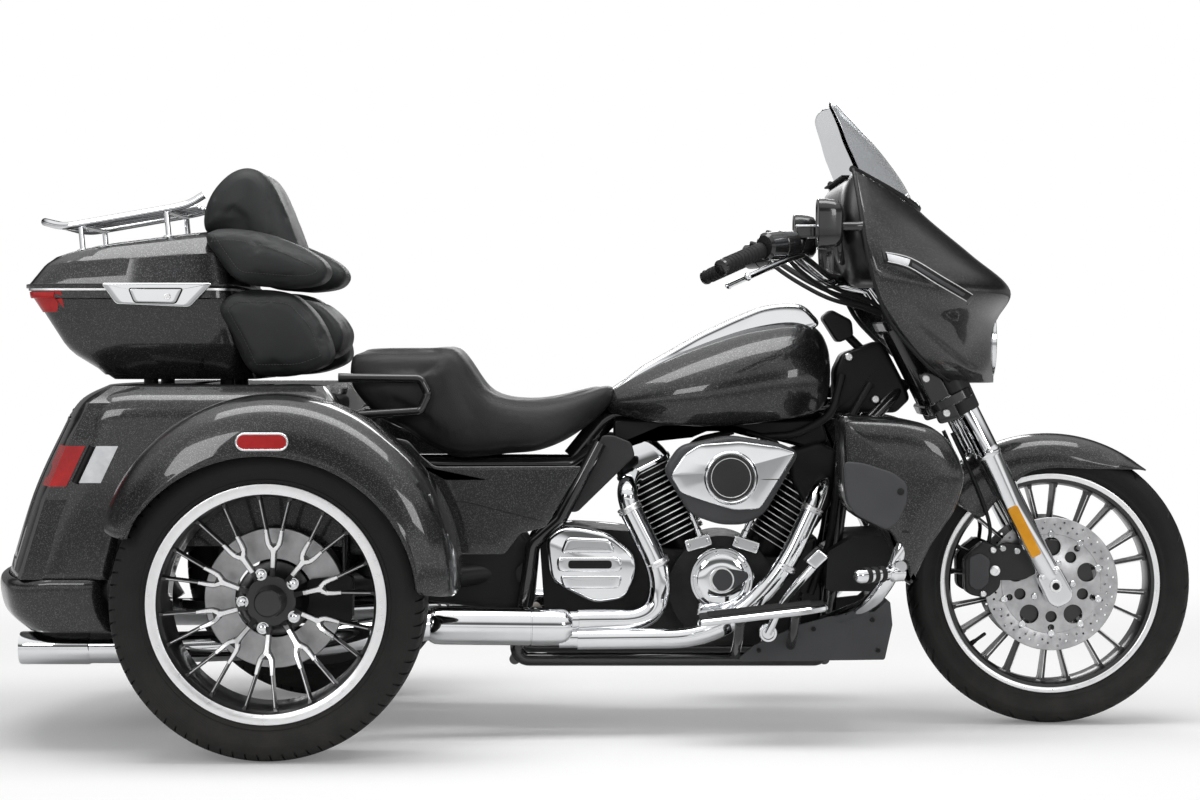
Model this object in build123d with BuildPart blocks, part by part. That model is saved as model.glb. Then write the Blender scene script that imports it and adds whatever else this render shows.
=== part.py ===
from build123d import *

import os
from math import cos, radians, sin

# Motorized trike: a full-size touring three-wheeler, in millimetres.
# +X forward, +Y to the rider's left, +Z up.  The origin is on the floor, under the middle of the vehicle.

os.makedirs("parts", exist_ok=True)

# ------------------------------------------------------------------ wheels and stance
wheelbase = 1700.0
front_axle_x = 1016.0
rear_axle_x = front_axle_x - wheelbase
front_tyre_r = 319.3
front_tyre_width = 130.0
front_rim_r = 251.0
front_rim_width = 98.0
rear_tyre_r = 325.4
rear_tyre_width = 215.0
rear_rim_r = 248.0
rear_rim_width = 186.0
rear_track = 1090.0
rear_tyre_y = rear_track / 2
front_axle_z = front_tyre_r
rear_axle_z = rear_tyre_r
flange_depth = 10.0
rim_wall = 12.0
fit_gap = 0.3
moving_gap = 6.0
axle_r = 12.0
axle_play = 0.5

# ------------------------------------------------------------------ steering
rake = 26.8
fork_offset = 50.0
fork_leg_y = 105.0
slider_r = 27.0
fork_tube_r = 24.0
slider_top = 449.0
clamp_low = 476.0
clamp_high = 688.0
clamp_thick = 24.0
head_r = 33.0
stem_r = 20.0

rake_sin = sin(radians(rake))
rake_cos = cos(radians(rake))
steer_plane = Plane(
    origin=(front_axle_x - fork_offset * rake_cos, 0, front_axle_z - fork_offset * rake_sin),
    x_dir=(rake_cos, 0, rake_sin),
    z_dir=(-rake_sin, 0, rake_cos),
)

# ------------------------------------------------------------------ body widths and levels
fender_outer_y = 695.0
fender_inner_y = 418.0
fender_arc_r = 364.0
fender_arc_dx = 7.0
fender_arc_dz = 67.0
fender_opening_r = 306.0
fender_shoulder = 80.0
fender_wall = 5.0
lens_stand = 3.0
body_wall = 10.0
tail_x = -(front_axle_x + front_tyre_r)
bumper_corner_x = -1234.0
bumper_half = 492.0
seam_z = 980.0
lid_gap = 5.0
pack_half = 300.0
pack_wall = 9.0
seat_half = 190.0
tank_half = 165.0
engine_half = 140.0
frame_tube_r = 15.0
rail_y = 130.0
rail_z = 157.0
pipe_r = 25.0
muffler_r = 42.0
muffler_tip_r = 33.0
muffler_y = 400.0
guard_r = 16.0


# ------------------------------------------------------------------ drawing helpers
def side_plane(y):
    """The side view at one y: x to the right and z up, facing the right-hand side."""
    return Plane.XZ.offset(-y)


def plate(points, radius, y_start, y_end, mode=Mode.ADD):
    """A slab with a side outline of (x, z) points, corners rounded, from y_start down to y_end."""
    with BuildSketch(side_plane(y_start)) as face:
        with BuildLine():
            Polyline(*points, close=True)
        make_face()
        if radius:
            fillet(face.vertices(), radius)
    extrude(face.sketch, amount=y_start - y_end, mode=mode)


def plan_slab(points, radius, z_start, z_end, mode=Mode.ADD):
    """A slab with a plan outline of (x, y) points, corners rounded, between two heights."""
    with BuildSketch(Plane.XY.offset(z_start)) as face:
        with BuildLine():
            Polyline(*points, close=True)
        make_face()
        if radius:
            fillet(face.vertices(), radius)
    extrude(face.sketch, amount=z_end - z_start, mode=mode)


def tube(points, radius, bend=40.0, mode=Mode.ADD):
    """A round bar through the points, with bends of one radius."""
    with BuildLine() as path:
        if len(points) == 2:
            Line(*points)
        else:
            FilletPolyline(*points, radius=bend)
    start = Plane(origin=path.wires()[0] @ 0, z_dir=path.wires()[0] % 0)
    with BuildSketch(start) as ring:
        Circle(radius)
    sweep(ring.sketch, path=path.wires()[0], mode=mode)


def rod(start, end, radius, mode=Mode.ADD):
    """A straight round bar between two points."""
    with BuildSketch(Plane(origin=start, z_dir=Vector(*end) - Vector(*start))) as ring:
        Circle(radius)
    extrude(ring.sketch, amount=(Vector(*end) - Vector(*start)).length, mode=mode)


def cross_disc(x, y_start, y_end, z, radius, mode=Mode.ADD):
    """A cylinder lying across the vehicle."""
    with BuildSketch(side_plane(y_start)) as ring:
        with Locations((x, z)):
            Circle(radius)
    extrude(ring.sketch, amount=y_start - y_end, mode=mode)


def across_section(x, half_width, z_low, z_high, radius):
    """A rounded rectangle across the vehicle at one x."""
    with BuildSketch(Plane.YZ.offset(x)) as face:
        with Locations((0, (z_low + z_high) / 2)):
            RectangleRounded(2 * half_width, z_high - z_low, radius)
    return face.sketch


def level_section(z, x_rear, x_front, half_width, radius):
    """A rounded rectangle in plan at one height."""
    with BuildSketch(Plane.XY.offset(z)) as face:
        with Locations(((x_rear + x_front) / 2, 0)):
            RectangleRounded(x_front - x_rear, 2 * half_width, radius)
    return face.sketch


def bow_section(z, x_rear, x_front, half_width):
    """A nose in plan at one height: an arc from side to side, closed straight across behind."""
    with BuildSketch(Plane.XY.offset(z)) as face:
        with BuildLine():
            ThreePointArc((x_rear, -half_width), (x_front, 0), (x_rear, half_width))
            Line((x_rear, half_width), (x_rear, -half_width))
        make_face()
    return face.sketch


def tail_section(z, x_corner, bulge, x_front, half_width):
    """The rear body in plan at one height: straight sides and a bowed tail."""
    with BuildSketch(Plane.XY.offset(z)) as face:
        with BuildLine():
            Line((x_front, half_width), (x_corner, half_width))
            ThreePointArc((x_corner, half_width), (x_corner - bulge, 0), (x_corner, -half_width))
            Line((x_corner, -half_width), (x_front, -half_width))
            Line((x_front, -half_width), (x_front, half_width))
        make_face()
    return face.sketch


def wheel_plane(x, y, z):
    """A section plane through an axle: across to the left, and up."""
    return Plane(origin=(x, y, z), x_dir=(0, 1, 0), z_dir=(1, 0, 0))


def wheel_face(x, y, z):
    """The plane of a wheel's side, facing right."""
    return Plane(origin=(x, y, z), x_dir=(1, 0, 0), z_dir=(0, -1, 0))


def spin(sketch, x, y, z):
    """Turns a section about an axle."""
    revolve(sketch, axis=Axis((x, y, z), (0, 1, 0)))


def save(piece, name):
    """Labels a finished piece and writes it."""
    piece.part.label = name
    export_step(piece.part, f"parts/{name}.step")


# ------------------------------------------------------------------ tyres and wheels
def tyre(x, y, z, outer_r, width, rim_r, rim_width, shoulder):
    """A tyre ring: two beads, two sidewalls and a crowned tread."""
    bead_half = rim_width / 2 - rim_wall
    bead_r = rim_r - flange_depth + fit_gap
    half = width / 2
    tread_half = half - shoulder
    wall_r = (rim_r + outer_r) / 2 - 4
    with BuildSketch(wheel_plane(x, y, z)) as section:
        with BuildLine():
            Line((-bead_half, bead_r), (bead_half, bead_r))
            Line((bead_half, bead_r), (bead_half, rim_r + 1))
            ThreePointArc((bead_half, rim_r + 1), (half, wall_r), (tread_half, outer_r - shoulder))
            ThreePointArc((tread_half, outer_r - shoulder), (0, outer_r), (-tread_half, outer_r - shoulder))
            ThreePointArc((-tread_half, outer_r - shoulder), (-half, wall_r), (-bead_half, rim_r + 1))
            Line((-bead_half, rim_r + 1), (-bead_half, bead_r))
        make_face()
    spin(section.sketch, x, y, z)


def rim(x, y, z, rim_r, rim_width):
    """A wheel rim: a barrel with a flange at each side."""
    half = rim_width / 2
    seat_r = rim_r - flange_depth
    lip = rim_wall - fit_gap
    with BuildSketch(wheel_plane(x, y, z)) as section:
        with BuildLine():
            Polyline(
                (-half, seat_r - rim_wall), (half, seat_r - rim_wall), (half, rim_r), (half - lip, rim_r),
                (half - lip, seat_r), (lip - half, seat_r), (lip - half, rim_r), (-half, rim_r), close=True,
            )
        make_face()
    spin(section.sketch, x, y, z)


with BuildPart() as front_tyre:
    tyre(front_axle_x, 0, front_axle_z, front_tyre_r, front_tyre_width, front_rim_r, front_rim_width, 15)
save(front_tyre, "front_tyre")

front_hub_r = 34.0
disc_r = 150.0
disc_inner_r = 112.0
disc_y = 62.0
disc_thick = 5.0
front_hub_half = disc_y - disc_thick / 2
front_spoke_row = 10
front_spoke_y = 16.0
front_spoke_thick = 14.0
with BuildPart() as front_wheel:
    rim(front_axle_x, 0, front_axle_z, front_rim_r, front_rim_width)
    cross_disc(front_axle_x, front_hub_half, -front_hub_half, front_axle_z, front_hub_r)
    for side, turn in ((-1, 0), (1, 180 / front_spoke_row)):
        spoke_face = side * front_spoke_y + front_spoke_thick / 2
        with BuildSketch(wheel_face(front_axle_x, spoke_face, front_axle_z)) as spokes:
            with PolarLocations(0, front_spoke_row, start_angle=turn):
                Polygon((26, -7), (26, 7), (232, 4), (232, -4), align=None)
        extrude(spokes.sketch, amount=front_spoke_thick)
    cross_disc(front_axle_x, front_hub_half, -front_hub_half, front_axle_z, axle_r + axle_play, Mode.SUBTRACT)
save(front_wheel, "front_wheel")

with BuildPart() as front_discs:
    for side in (-1, 1):
        with BuildSketch(wheel_face(front_axle_x, side * disc_y + disc_thick / 2, front_axle_z)) as ring:
            Circle(disc_r)
            Circle(disc_inner_r, mode=Mode.SUBTRACT)
            with PolarLocations(75, 5):
                Rectangle(84, 16)
            Circle(front_hub_r + 12)
            Circle(axle_r + 4, mode=Mode.SUBTRACT)
        extrude(ring.sketch, amount=disc_thick)
save(front_discs, "front_discs")

rear_spoke_count = 10
rear_disc_r = 148.0
rear_hub_r = 62.0
rear_axle_r = 16.0
rear_hub_inset = 84.0
rear_disc_inset = 70.0
rear_spoke_offset = 62.0
rear_axle_tip = rear_tyre_y + rear_spoke_offset - 12
for side_name, side in (("right", -1), ("left", 1)):
    wheel_y = side * rear_tyre_y
    with BuildPart() as rear_tyre:
        tyre(rear_axle_x, wheel_y, rear_axle_z, rear_tyre_r, rear_tyre_width, rear_rim_r, rear_rim_width, 16)
    save(rear_tyre, f"rear_tyre_{side_name}")
    with BuildPart() as rear_wheel:
        rim(rear_axle_x, wheel_y, rear_axle_z, rear_rim_r, rear_rim_width)
        spoke_y = wheel_y + side * rear_spoke_offset
        with BuildSketch(wheel_face(rear_axle_x, spoke_y + 11, rear_axle_z)) as spokes:
            Circle(rear_hub_r)
            with PolarLocations(0, rear_spoke_count):
                Polygon((40, -9), (40, 9), (138, 6), (138, -6), align=None)
                Polygon((126, -6), (132, 6), (230, 40), (230, 32), align=None)
                Polygon((126, 6), (230, -32), (230, -40), (132, -6), align=None)
        extrude(spokes.sketch, amount=22)
        hub_inner = side * (rear_tyre_y - rear_hub_inset)
        cross_disc(rear_axle_x, max(hub_inner, spoke_y), min(hub_inner, spoke_y), rear_axle_z, rear_hub_r - 10)
        cap_y = spoke_y + side * 18
        cross_disc(rear_axle_x, max(spoke_y, cap_y), min(spoke_y, cap_y), rear_axle_z, 28)
        bore_end = spoke_y - side * 6
        disc_at = side * (rear_tyre_y - rear_disc_inset)
        with BuildSketch(wheel_face(rear_axle_x, disc_at + 4, rear_axle_z)) as rotor:
            Circle(rear_disc_r)
        extrude(rotor.sketch, amount=8)
        cross_disc(rear_axle_x, max(hub_inner, bore_end), min(hub_inner, bore_end), rear_axle_z,
                   rear_axle_r + axle_play, Mode.SUBTRACT)
    save(rear_wheel, f"rear_wheel_{side_name}")

# ------------------------------------------------------------------ frame
shock_y = 196.0
with BuildPart() as frame:
    with BuildSketch(steer_plane.offset(clamp_low + clamp_thick / 2 + moving_gap)) as head:
        Circle(head_r)
        Circle(stem_r + fit_gap, mode=Mode.SUBTRACT)
    extrude(head.sketch, amount=clamp_high - clamp_low - clamp_thick - 2 * moving_gap)
    tube([(655, 0, 812), (560, 0, 712), (20, 0, 700), (-60, 0, 600)], 26, 60)
    for side in (-1, 1):
        tube([(690, side * 24, 770), (607, side * 60, 688), (551, side * 70, 576), (526, side * 90, 400),
              (500, side * rail_y, rail_z), (-190, side * rail_y, rail_z), (-150, side * 150, 414),
              (-89, side * 150, 469), (0, side * 140, 640)], frame_tube_r, 28)
        tube([(-12, side * 128, 625), (-60, side * 110, 590), (-520, side * 110, 590)], frame_tube_r, 40)
    rod((500, -rail_y, rail_z), (500, rail_y, rail_z), 12)
    rod((-190, -rail_y, rail_z), (-190, rail_y, rail_z), 12)
    rod((-12, -128, 625), (-12, 128, 625), 14)
    rod((-480, -150, 590), (-480, 150, 590), 12)
save(frame, "frame")

# ------------------------------------------------------------------ rear axle and suspension
housing_r = 38.0
gear_case_r = 92.0
arm_y = 235.0
arm_r = 26.0
arm_pivot_y = 70.0
arm_pivot_x = -165.0
arm_pivot_z = 350.0
housing_end = rear_tyre_y - rear_hub_inset - moving_gap - 6
caliper_half = 20.0
with BuildPart() as rear_axle:
    cross_disc(rear_axle_x, housing_end, -housing_end, rear_axle_z, housing_r)
    cross_disc(rear_axle_x, 70, -70, rear_axle_z, gear_case_r)
    cross_disc(rear_axle_x, rear_axle_tip, -rear_axle_tip, rear_axle_z, rear_axle_r)
    for side in (-1, 1):
        caliper_y = side * (rear_tyre_y - rear_disc_inset)
        caliper_out = caliper_y + side * caliper_half
        bracket_y = side * (housing_end - 6)
        plate([(rear_axle_x + 70, rear_axle_z - 40), (rear_axle_x + 165, rear_axle_z - 50),
               (rear_axle_x + 165, rear_axle_z + 50), (rear_axle_x + 70, rear_axle_z + 40)], 12,
              max(caliper_out, side * housing_end), min(caliper_out, side * housing_end))
        plate([(rear_axle_x - 45, rear_axle_z - 45), (rear_axle_x + 120, rear_axle_z - 40),
               (rear_axle_x + 120, rear_axle_z + 40), (rear_axle_x - 45, rear_axle_z + 45)], 20,
              bracket_y + 6, bracket_y - 6)
        cross_disc(rear_axle_x, caliper_y + 4 + moving_gap / 2, caliper_y - 4 - moving_gap / 2, rear_axle_z,
                   rear_disc_r + moving_gap, Mode.SUBTRACT)
    cross_disc(rear_axle_x, rear_axle_tip, -rear_axle_tip, rear_axle_z, rear_axle_r)
save(rear_axle, "rear_axle")

with BuildPart() as swing_arm:
    for side in (-1, 1):
        rod((arm_pivot_x, side * arm_pivot_y, arm_pivot_z), (rear_axle_x + 60, side * arm_y, rear_axle_z), arm_r)
        plate([(rear_axle_x - 30, rear_axle_z - 60), (rear_axle_x + 80, rear_axle_z - 45),
               (rear_axle_x + 80, rear_axle_z + 45), (rear_axle_x - 30, rear_axle_z + 60)], 15,
              side * arm_y + 12, side * arm_y - 12)
    cross_disc(arm_pivot_x, 150, -150, arm_pivot_z, 22)
    add(rear_axle.part, mode=Mode.SUBTRACT)
    add(frame.part, mode=Mode.SUBTRACT)
save(swing_arm, "swing_arm")

with BuildPart() as rear_shocks:
    for side in (-1, 1):
        rod((-512, side * shock_y, 350), (-478, side * shock_y, 575), 24)
        rod((-480, side * (shock_y + 14), 590), (-480, side * 100, 590), 9)
        rod((-478, side * shock_y, 575), (-478, side * shock_y, 600), 14)
    add(swing_arm.part, mode=Mode.SUBTRACT)
    add(frame.part, mode=Mode.SUBTRACT)
save(rear_shocks, "rear_shocks")

# ------------------------------------------------------------------ engine
crank_x = 271.0
crank_z = 240.0
cylinder_low = 200.0
cylinder_high = 378.0
barrel_r = 48.0
fin_half = 62.0
fin_count = 13
fin_thick = 4.0
cylinder_leans = (26.8, -32.6)
with BuildPart() as crankcase:
    plate([(-120, 200), (-135, 420), (-60, 452), (70, 440), (140, 400), (330, 385), (405, 380), (430, 320),
           (420, 220), (380, 186), (-60, 182)], 20, 110, -110)
    cross_disc(crank_x, engine_half, -engine_half, crank_z + 75, 118)
    add(frame.part, mode=Mode.SUBTRACT)
    add(swing_arm.part, mode=Mode.SUBTRACT)
save(crankcase, "crankcase")

with BuildPart() as cylinders:
    for lean in cylinder_leans:
        lean_sin = sin(radians(lean))
        lean_cos = cos(radians(lean))
        up_plane = Plane(origin=(crank_x, 0, crank_z), x_dir=(0, 1, 0), z_dir=(-lean_sin, 0, lean_cos))
        with BuildSketch(up_plane.offset(cylinder_low)) as bore:
            Circle(barrel_r)
        extrude(bore.sketch, amount=cylinder_high - cylinder_low)
        pitch = (cylinder_high - cylinder_low) / fin_count
        for fin in range(fin_count):
            with BuildSketch(up_plane.offset(cylinder_low + pitch * (fin + 0.5))) as ring:
                RectangleRounded(2 * fin_half + 14, 2 * fin_half, 34)
            extrude(ring.sketch, amount=fin_thick)
    add(crankcase.part, mode=Mode.SUBTRACT)
save(cylinders, "cylinders")

with BuildPart() as rocker_covers:
    for lean in cylinder_leans:
        lean_sin = sin(radians(lean))
        lean_cos = cos(radians(lean))
        up_plane = Plane(origin=(crank_x, 0, crank_z), x_dir=(0, 1, 0), z_dir=(-lean_sin, 0, lean_cos))
        with BuildSketch(up_plane.offset(cylinder_high + fit_gap)) as base:
            RectangleRounded(2 * fin_half + 30, 2 * fin_half + 8, 26)
        with BuildSketch(up_plane.offset(cylinder_high + 62)) as top:
            RectangleRounded(2 * fin_half - 6, 2 * fin_half - 34, 22)
        loft(sections=[base.sketch, top.sketch])
save(rocker_covers, "rocker_covers")

plate_y = -250.0
with BuildPart() as air_cleaner:
    plate([(138, 583), (175, 636), (285, 660), (394, 643), (438, 623), (361, 487), (317, 463), (263, 463),
           (197, 485)], 12, -165, plate_y + 12)
    plate([(153, 573), (183, 617), (218, 641), (305, 647), (393, 636), (430, 624), (349, 497), (294, 495),
           (218, 519), (175, 534)], 8, plate_y + 12, plate_y)
    cross_disc(286, plate_y, plate_y - 9, 567, 56)
    cross_disc(280, -20, -165, 560, 46)
    add(rocker_covers.part, mode=Mode.SUBTRACT)
    add(cylinders.part, mode=Mode.SUBTRACT)
save(air_cleaner, "air_cleaner")

pushrod_y = -132.0
lifter_half = 20.0
with BuildPart() as pushrod_covers:
    for foot_x, foot_z, head_x, head_z, block_x, turn in (
        (222, 432, 178, 555, 218, 16.2), (318, 428, 372, 548, 324, -18.6),
    ):
        rod((foot_x, pushrod_y, foot_z), (head_x, pushrod_y, head_z), 7)
        with BuildSketch(side_plane(pushrod_y + lifter_half)) as lifter:
            with Locations((block_x, foot_z - 14)):
                RectangleRounded(58, 26, 5, rotation=turn)
        extrude(lifter.sketch, amount=2 * lifter_half + 4)
    add(crankcase.part, mode=Mode.SUBTRACT)
    add(cylinders.part, mode=Mode.SUBTRACT)
    add(rocker_covers.part, mode=Mode.SUBTRACT)
    add(air_cleaner.part, mode=Mode.SUBTRACT)
save(pushrod_covers, "pushrod_covers")

cover_y = -(engine_half + fit_gap)
with BuildPart() as engine_covers:
    cross_disc(268, cover_y, -205, 340, 70)
    plate([(240, 390), (300, 395), (345, 345), (310, 290), (215, 238), (210, 262)], 8, cover_y, -190)
    plate([(-121, 429), (-88, 455), (-44, 455), (22, 440), (77, 396), (81, 352), (55, 297), (-11, 286),
           (-77, 319), (-110, 341)], 14, -110 - fit_gap, -205)
    plate([(-130, 300), (-140, 420), (-90, 450), (60, 440), (180, 400), (330, 385), (370, 320), (330, 250),
            (200, 235), (-60, 262)], 26, 205, engine_half + fit_gap)
    add(frame.part, mode=Mode.SUBTRACT)
    add(swing_arm.part, mode=Mode.SUBTRACT)
save(engine_covers, "engine_covers")

with BuildPart() as radiator:
    plate([(499, 312), (505, 400), (560, 432), (643, 436), (646, 312)], 10, 170, -170)
    with BuildPart(mode=Mode.PRIVATE) as keep_clear:
        for side in (-1, 1):
            tube([(551, side * 70, 576), (526, side * 90, 400), (500, side * rail_y, rail_z)],
                 frame_tube_r + fit_gap, 28)
    add(keep_clear.part, mode=Mode.SUBTRACT)
save(radiator, "radiator")

# ------------------------------------------------------------------ exhaust
with BuildPart() as mufflers:
    for side in (-1, 1):
        tube([(-71, side * 234, 240), (-376, side * 262, 246), (-620, side * 372, 222),
              (-900, side * muffler_y, 212), (bumper_corner_x, side * muffler_y, 212)], muffler_tip_r, 160)
        rod((-75, side * 234, 240), (-370, side * 262, 246), muffler_r)
    add(swing_arm.part, mode=Mode.SUBTRACT)
    add(rear_axle.part, mode=Mode.SUBTRACT)
save(mufflers, "mufflers")

header_y = -190.0
with BuildPart() as exhaust_pipes:
    tube([(74, -60, 560), (58, header_y, 540), (66, header_y, 495), (140, header_y, 350),
          (118, header_y, 250), (-74, -234, 250)], pipe_r, 32)
    tube([(500, -60, 560), (482, header_y, 530), (395, -200, 340), (250, -218, 214), (-74, -240, 212)],
         pipe_r - 3, 50)
    tube([(-150, -205, 235), (-250, -100, 215), (-250, 100, 215), (-150, 205, 235)], 20, 50)
    for cut in (mufflers, crankcase, cylinders, rocker_covers, engine_covers, air_cleaner, frame, swing_arm):
        add(cut.part, mode=Mode.SUBTRACT)
save(exhaust_pipes, "exhaust_pipes")

# ------------------------------------------------------------------ tank, console and seat
tank_tunnel_half = 42.0
tank_tunnel_z = 742.0
with BuildPart() as fuel_tank:
    loft(sections=[
        across_section(x, half, low, high, round_r)
        for x, half, low, high, round_r in (
            (12, 62, 706, 752, 20), (110, 118, 684, 812, 50), (260, tank_half, 674, 882, 76),
            (400, tank_half, 688, 922, 84), (482, 130, 708, 912, 80), (518, 84, 768, 850, 38),
        )
    ])
    plate([(-40, 600), (-40, tank_tunnel_z), (600, tank_tunnel_z), (600, 600)], 0, tank_tunnel_half,
          -tank_tunnel_half, Mode.SUBTRACT)
save(fuel_tank, "fuel_tank")

with BuildPart() as tank_console:
    plate([(30, 750), (91, 805), (227, 886), (300, 920), (363, 946), (409, 952), (459, 950), (496, 905),
           (440, 862)], 8, 52, -52)
    add(fuel_tank.part, mode=Mode.SUBTRACT)
save(tank_console, "tank_console")

with BuildPart() as seat:
    plate([(-551, 846), (-330, 853), (-308, 839), (-264, 769), (-220, 738), (-132, 736), (-66, 747), (20, 773),
           (14, 714), (-88, 640), (-220, 618), (-352, 612), (-430, 665), (-560, 758)], 12, seat_half, -seat_half)
    plan_slab([(-556, -165), (-520, -seat_half), (-130, -seat_half), (40, -70), (40, 70), (-130, seat_half),
               (-520, seat_half), (-556, 165)], 30, 500, 900, Mode.INTERSECT)
    add(fuel_tank.part, mode=Mode.SUBTRACT)
    add(tank_console.part, mode=Mode.SUBTRACT)
    add(frame.part, mode=Mode.SUBTRACT)
save(seat, "seat")

# ------------------------------------------------------------------ rear body
deck_z = 770.0
pack_floor_z = 782.0
body_levels = (
    # height, tail corner x, tail bulge, front x, half width
    (364, -1217, 95, -545, 485),
    (532, -1165, 95, -545, 485),
    (658, -1112, 90, -545, 480),
    (735, -1075, 80, -560, 470),
    (deck_z, -1030, 60, -590, 425),
)
well_r = 352.0


def body_shape(inset):
    """The rear body's outline as a solid, each wall moved in by the inset."""
    levels = []
    for z, corner, bulge, front, half in body_levels:
        levels.append((z, corner + inset, bulge, front - inset, half - inset))
    with BuildPart() as shape:
        for low, high in zip(levels, levels[1:]):
            loft(sections=[tail_section(*low), tail_section(*high)])
    return shape.part


hatch_half = 360.0
hatch_low = 402.0
hatch_high = 700.0
hatch_gap = 5.0
hatch_pin_x = -1181.0
hatch_pin_z = hatch_high + 9
hatch_pin_half = 60.0
hinge_pin_r = 4.0
hinge_knuckle_r = 7.0
lug_width = 14.0
trunk_front = -565.0
trunk_floor = 446.0
trunk_half = 402.0
with BuildPart() as body_skin:
    add(body_shape(0))
with BuildPart() as body_inner:
    add(body_shape(body_wall))
    plate([(-1400, 374), (-1400, deck_z - body_wall), (trunk_front, deck_z - body_wall),
           (trunk_front, trunk_floor), (-1010, trunk_floor), (-1010, 374)], 0, trunk_half, -trunk_half,
          Mode.INTERSECT)
with BuildPart() as rear_body:
    add(body_skin.part)
    plate([(-980, 300), (-980, 430), (-500, 430), (-500, 300)], 0, 600, -600, Mode.SUBTRACT)
    for side in (-1, 1):
        well = sorted((side * fender_inner_y, side * 620))
        cross_disc(rear_axle_x, well[1], well[0], rear_axle_z, well_r, Mode.SUBTRACT)
    add(body_inner.part, mode=Mode.SUBTRACT)
    plate([(-1400, hatch_low - hatch_gap), (-1400, hatch_high + hatch_gap), (-1040, hatch_high + hatch_gap),
           (-1040, hatch_low - hatch_gap)], 0, hatch_half + hatch_gap, -hatch_half - hatch_gap, Mode.SUBTRACT)
    cross_disc(hatch_pin_x, hatch_pin_half, -hatch_pin_half, hatch_pin_z, hinge_pin_r)
    for y in (hatch_pin_half, lug_width - hatch_pin_half):
        cross_disc(hatch_pin_x, y, y - lug_width, hatch_pin_z, hinge_knuckle_r - 0.5)
        plate([(hatch_pin_x, hatch_pin_z - 3), (hatch_pin_x + 18, hatch_pin_z - 3),
               (hatch_pin_x + 18, hatch_pin_z + 6), (hatch_pin_x, hatch_pin_z + 6)], 0, y, y - lug_width)
save(rear_body, "rear_body")

with BuildPart() as grab_rails:
    for side in (-1, 1):
        y = side * (seat_half + 14)
        tube([(-575, y, 785), (-395, y, 783), (-378, y, 750), (-395, y, 712), (-575, y, 700)], 10, 16)
        rod((-520, y, 784), (-520, side * 176, 784), 8)
    add(rear_body.part, mode=Mode.SUBTRACT)
    add(seat.part, mode=Mode.SUBTRACT)
save(grab_rails, "grab_rails")

with BuildPart() as trunk_hatch:
    add(body_skin.part)
    add(body_inner.part, mode=Mode.SUBTRACT)
    plate([(-1400, hatch_low), (-1400, hatch_high), (-1040, hatch_high), (-1040, hatch_low)], 0, hatch_half,
          -hatch_half, Mode.INTERSECT)
    knuckle_half = hatch_pin_half - lug_width - 2
    cross_disc(hatch_pin_x, knuckle_half, -knuckle_half, hatch_pin_z, hinge_knuckle_r)
    plate([(hatch_pin_x - 6, hatch_high - 14), (hatch_pin_x + 8, hatch_high - 14),
           (hatch_pin_x + 5, hatch_high - 1), (hatch_pin_x + 4, hatch_pin_z - 3),
           (hatch_pin_x - 6, hatch_pin_z - 3)], 0, knuckle_half, -knuckle_half)
    cross_disc(hatch_pin_x, knuckle_half + 1, -knuckle_half - 1, hatch_pin_z, hinge_pin_r + fit_gap,
               Mode.SUBTRACT)
save(trunk_hatch, "trunk_hatch")

bumper_levels = (
    # height, tail corner x, front x, half width
    (252, -1186, -1010, 480),
    (285, -1222, -1030, 488),
    (322, bumper_corner_x, -1040, bumper_half),
    (364, bumper_corner_x + 15, -1040, bumper_half - 5),
)
with BuildPart() as rear_bumper:
    for inset, mode in ((0, Mode.ADD), (8, Mode.SUBTRACT)):
        levels = [
            (z, corner + inset, bumper_corner_x - tail_x, front + inset * 6, half - inset)
            for z, corner, front, half in bumper_levels
        ]
        for low, high in zip(levels, levels[1:]):
            loft(sections=[tail_section(*low), tail_section(*high)], mode=mode)
save(rear_bumper, "rear_bumper")

# ------------------------------------------------------------------ rear fenders and side panels
fender_x = rear_axle_x + fender_arc_dx
fender_z = rear_axle_z + fender_arc_dz
with BuildPart() as rear_fenders:
    for side in (-1, 1):
        for inset in (0, fender_wall):
            top = fender_arc_r - inset
            outer = fender_outer_y - inset
            with BuildSketch(wheel_plane(fender_x, 0, fender_z)) as section:
                with BuildLine():
                    Polyline((side * outer, 150), (side * outer, top - fender_shoulder))
                    ThreePointArc((side * outer, top - fender_shoulder),
                                  (side * (outer - 0.293 * fender_shoulder), top - 0.293 * fender_shoulder),
                                  (side * (outer - fender_shoulder), top))
                    Polyline((side * (outer - fender_shoulder), top), (side * fender_inner_y, top),
                             (side * fender_inner_y, 150), (side * outer, 150))
                make_face()
            revolve(section.sketch, axis=Axis((fender_x, 0, fender_z), (0, 1, 0)),
                    mode=Mode.ADD if inset == 0 else Mode.SUBTRACT)
        cross_disc(rear_axle_x, side * 540 + 160, side * 540 - 160, rear_axle_z, fender_opening_r, Mode.SUBTRACT)
    plate([(-1060, 471), (-1060, 830), (-250, 830), (-250, 340), (-500, 340), (-500, 500), (-900, 500),
           (-900, 471)], 0, 720, -720, Mode.INTERSECT)
    add(body_skin.part, mode=Mode.SUBTRACT)
save(rear_fenders, "rear_fenders")

with BuildPart() as side_panels:
    for side in (-1, 1):
        plate([(-545, 700), (-476, 662), (-415, 651), (-389, 619), (-357, 593), (-36, 595), (-119, 461),
               (-173, 448), (-206, 403), (-545, 403)], 4, side * 300 + 6, side * 300 - 6)
    add(seat.part, mode=Mode.SUBTRACT)
save(side_panels, "side_panels")

# ------------------------------------------------------------------ tour pack
pack_levels = (
    # height, rear x, front x, half width, corner radius
    (pack_floor_z, -1070, -757, 225, 60),
    (848, -1160, -775, 272, 70),
    (seam_z - lid_gap, -1240, -800, pack_half, 70),
)


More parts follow.
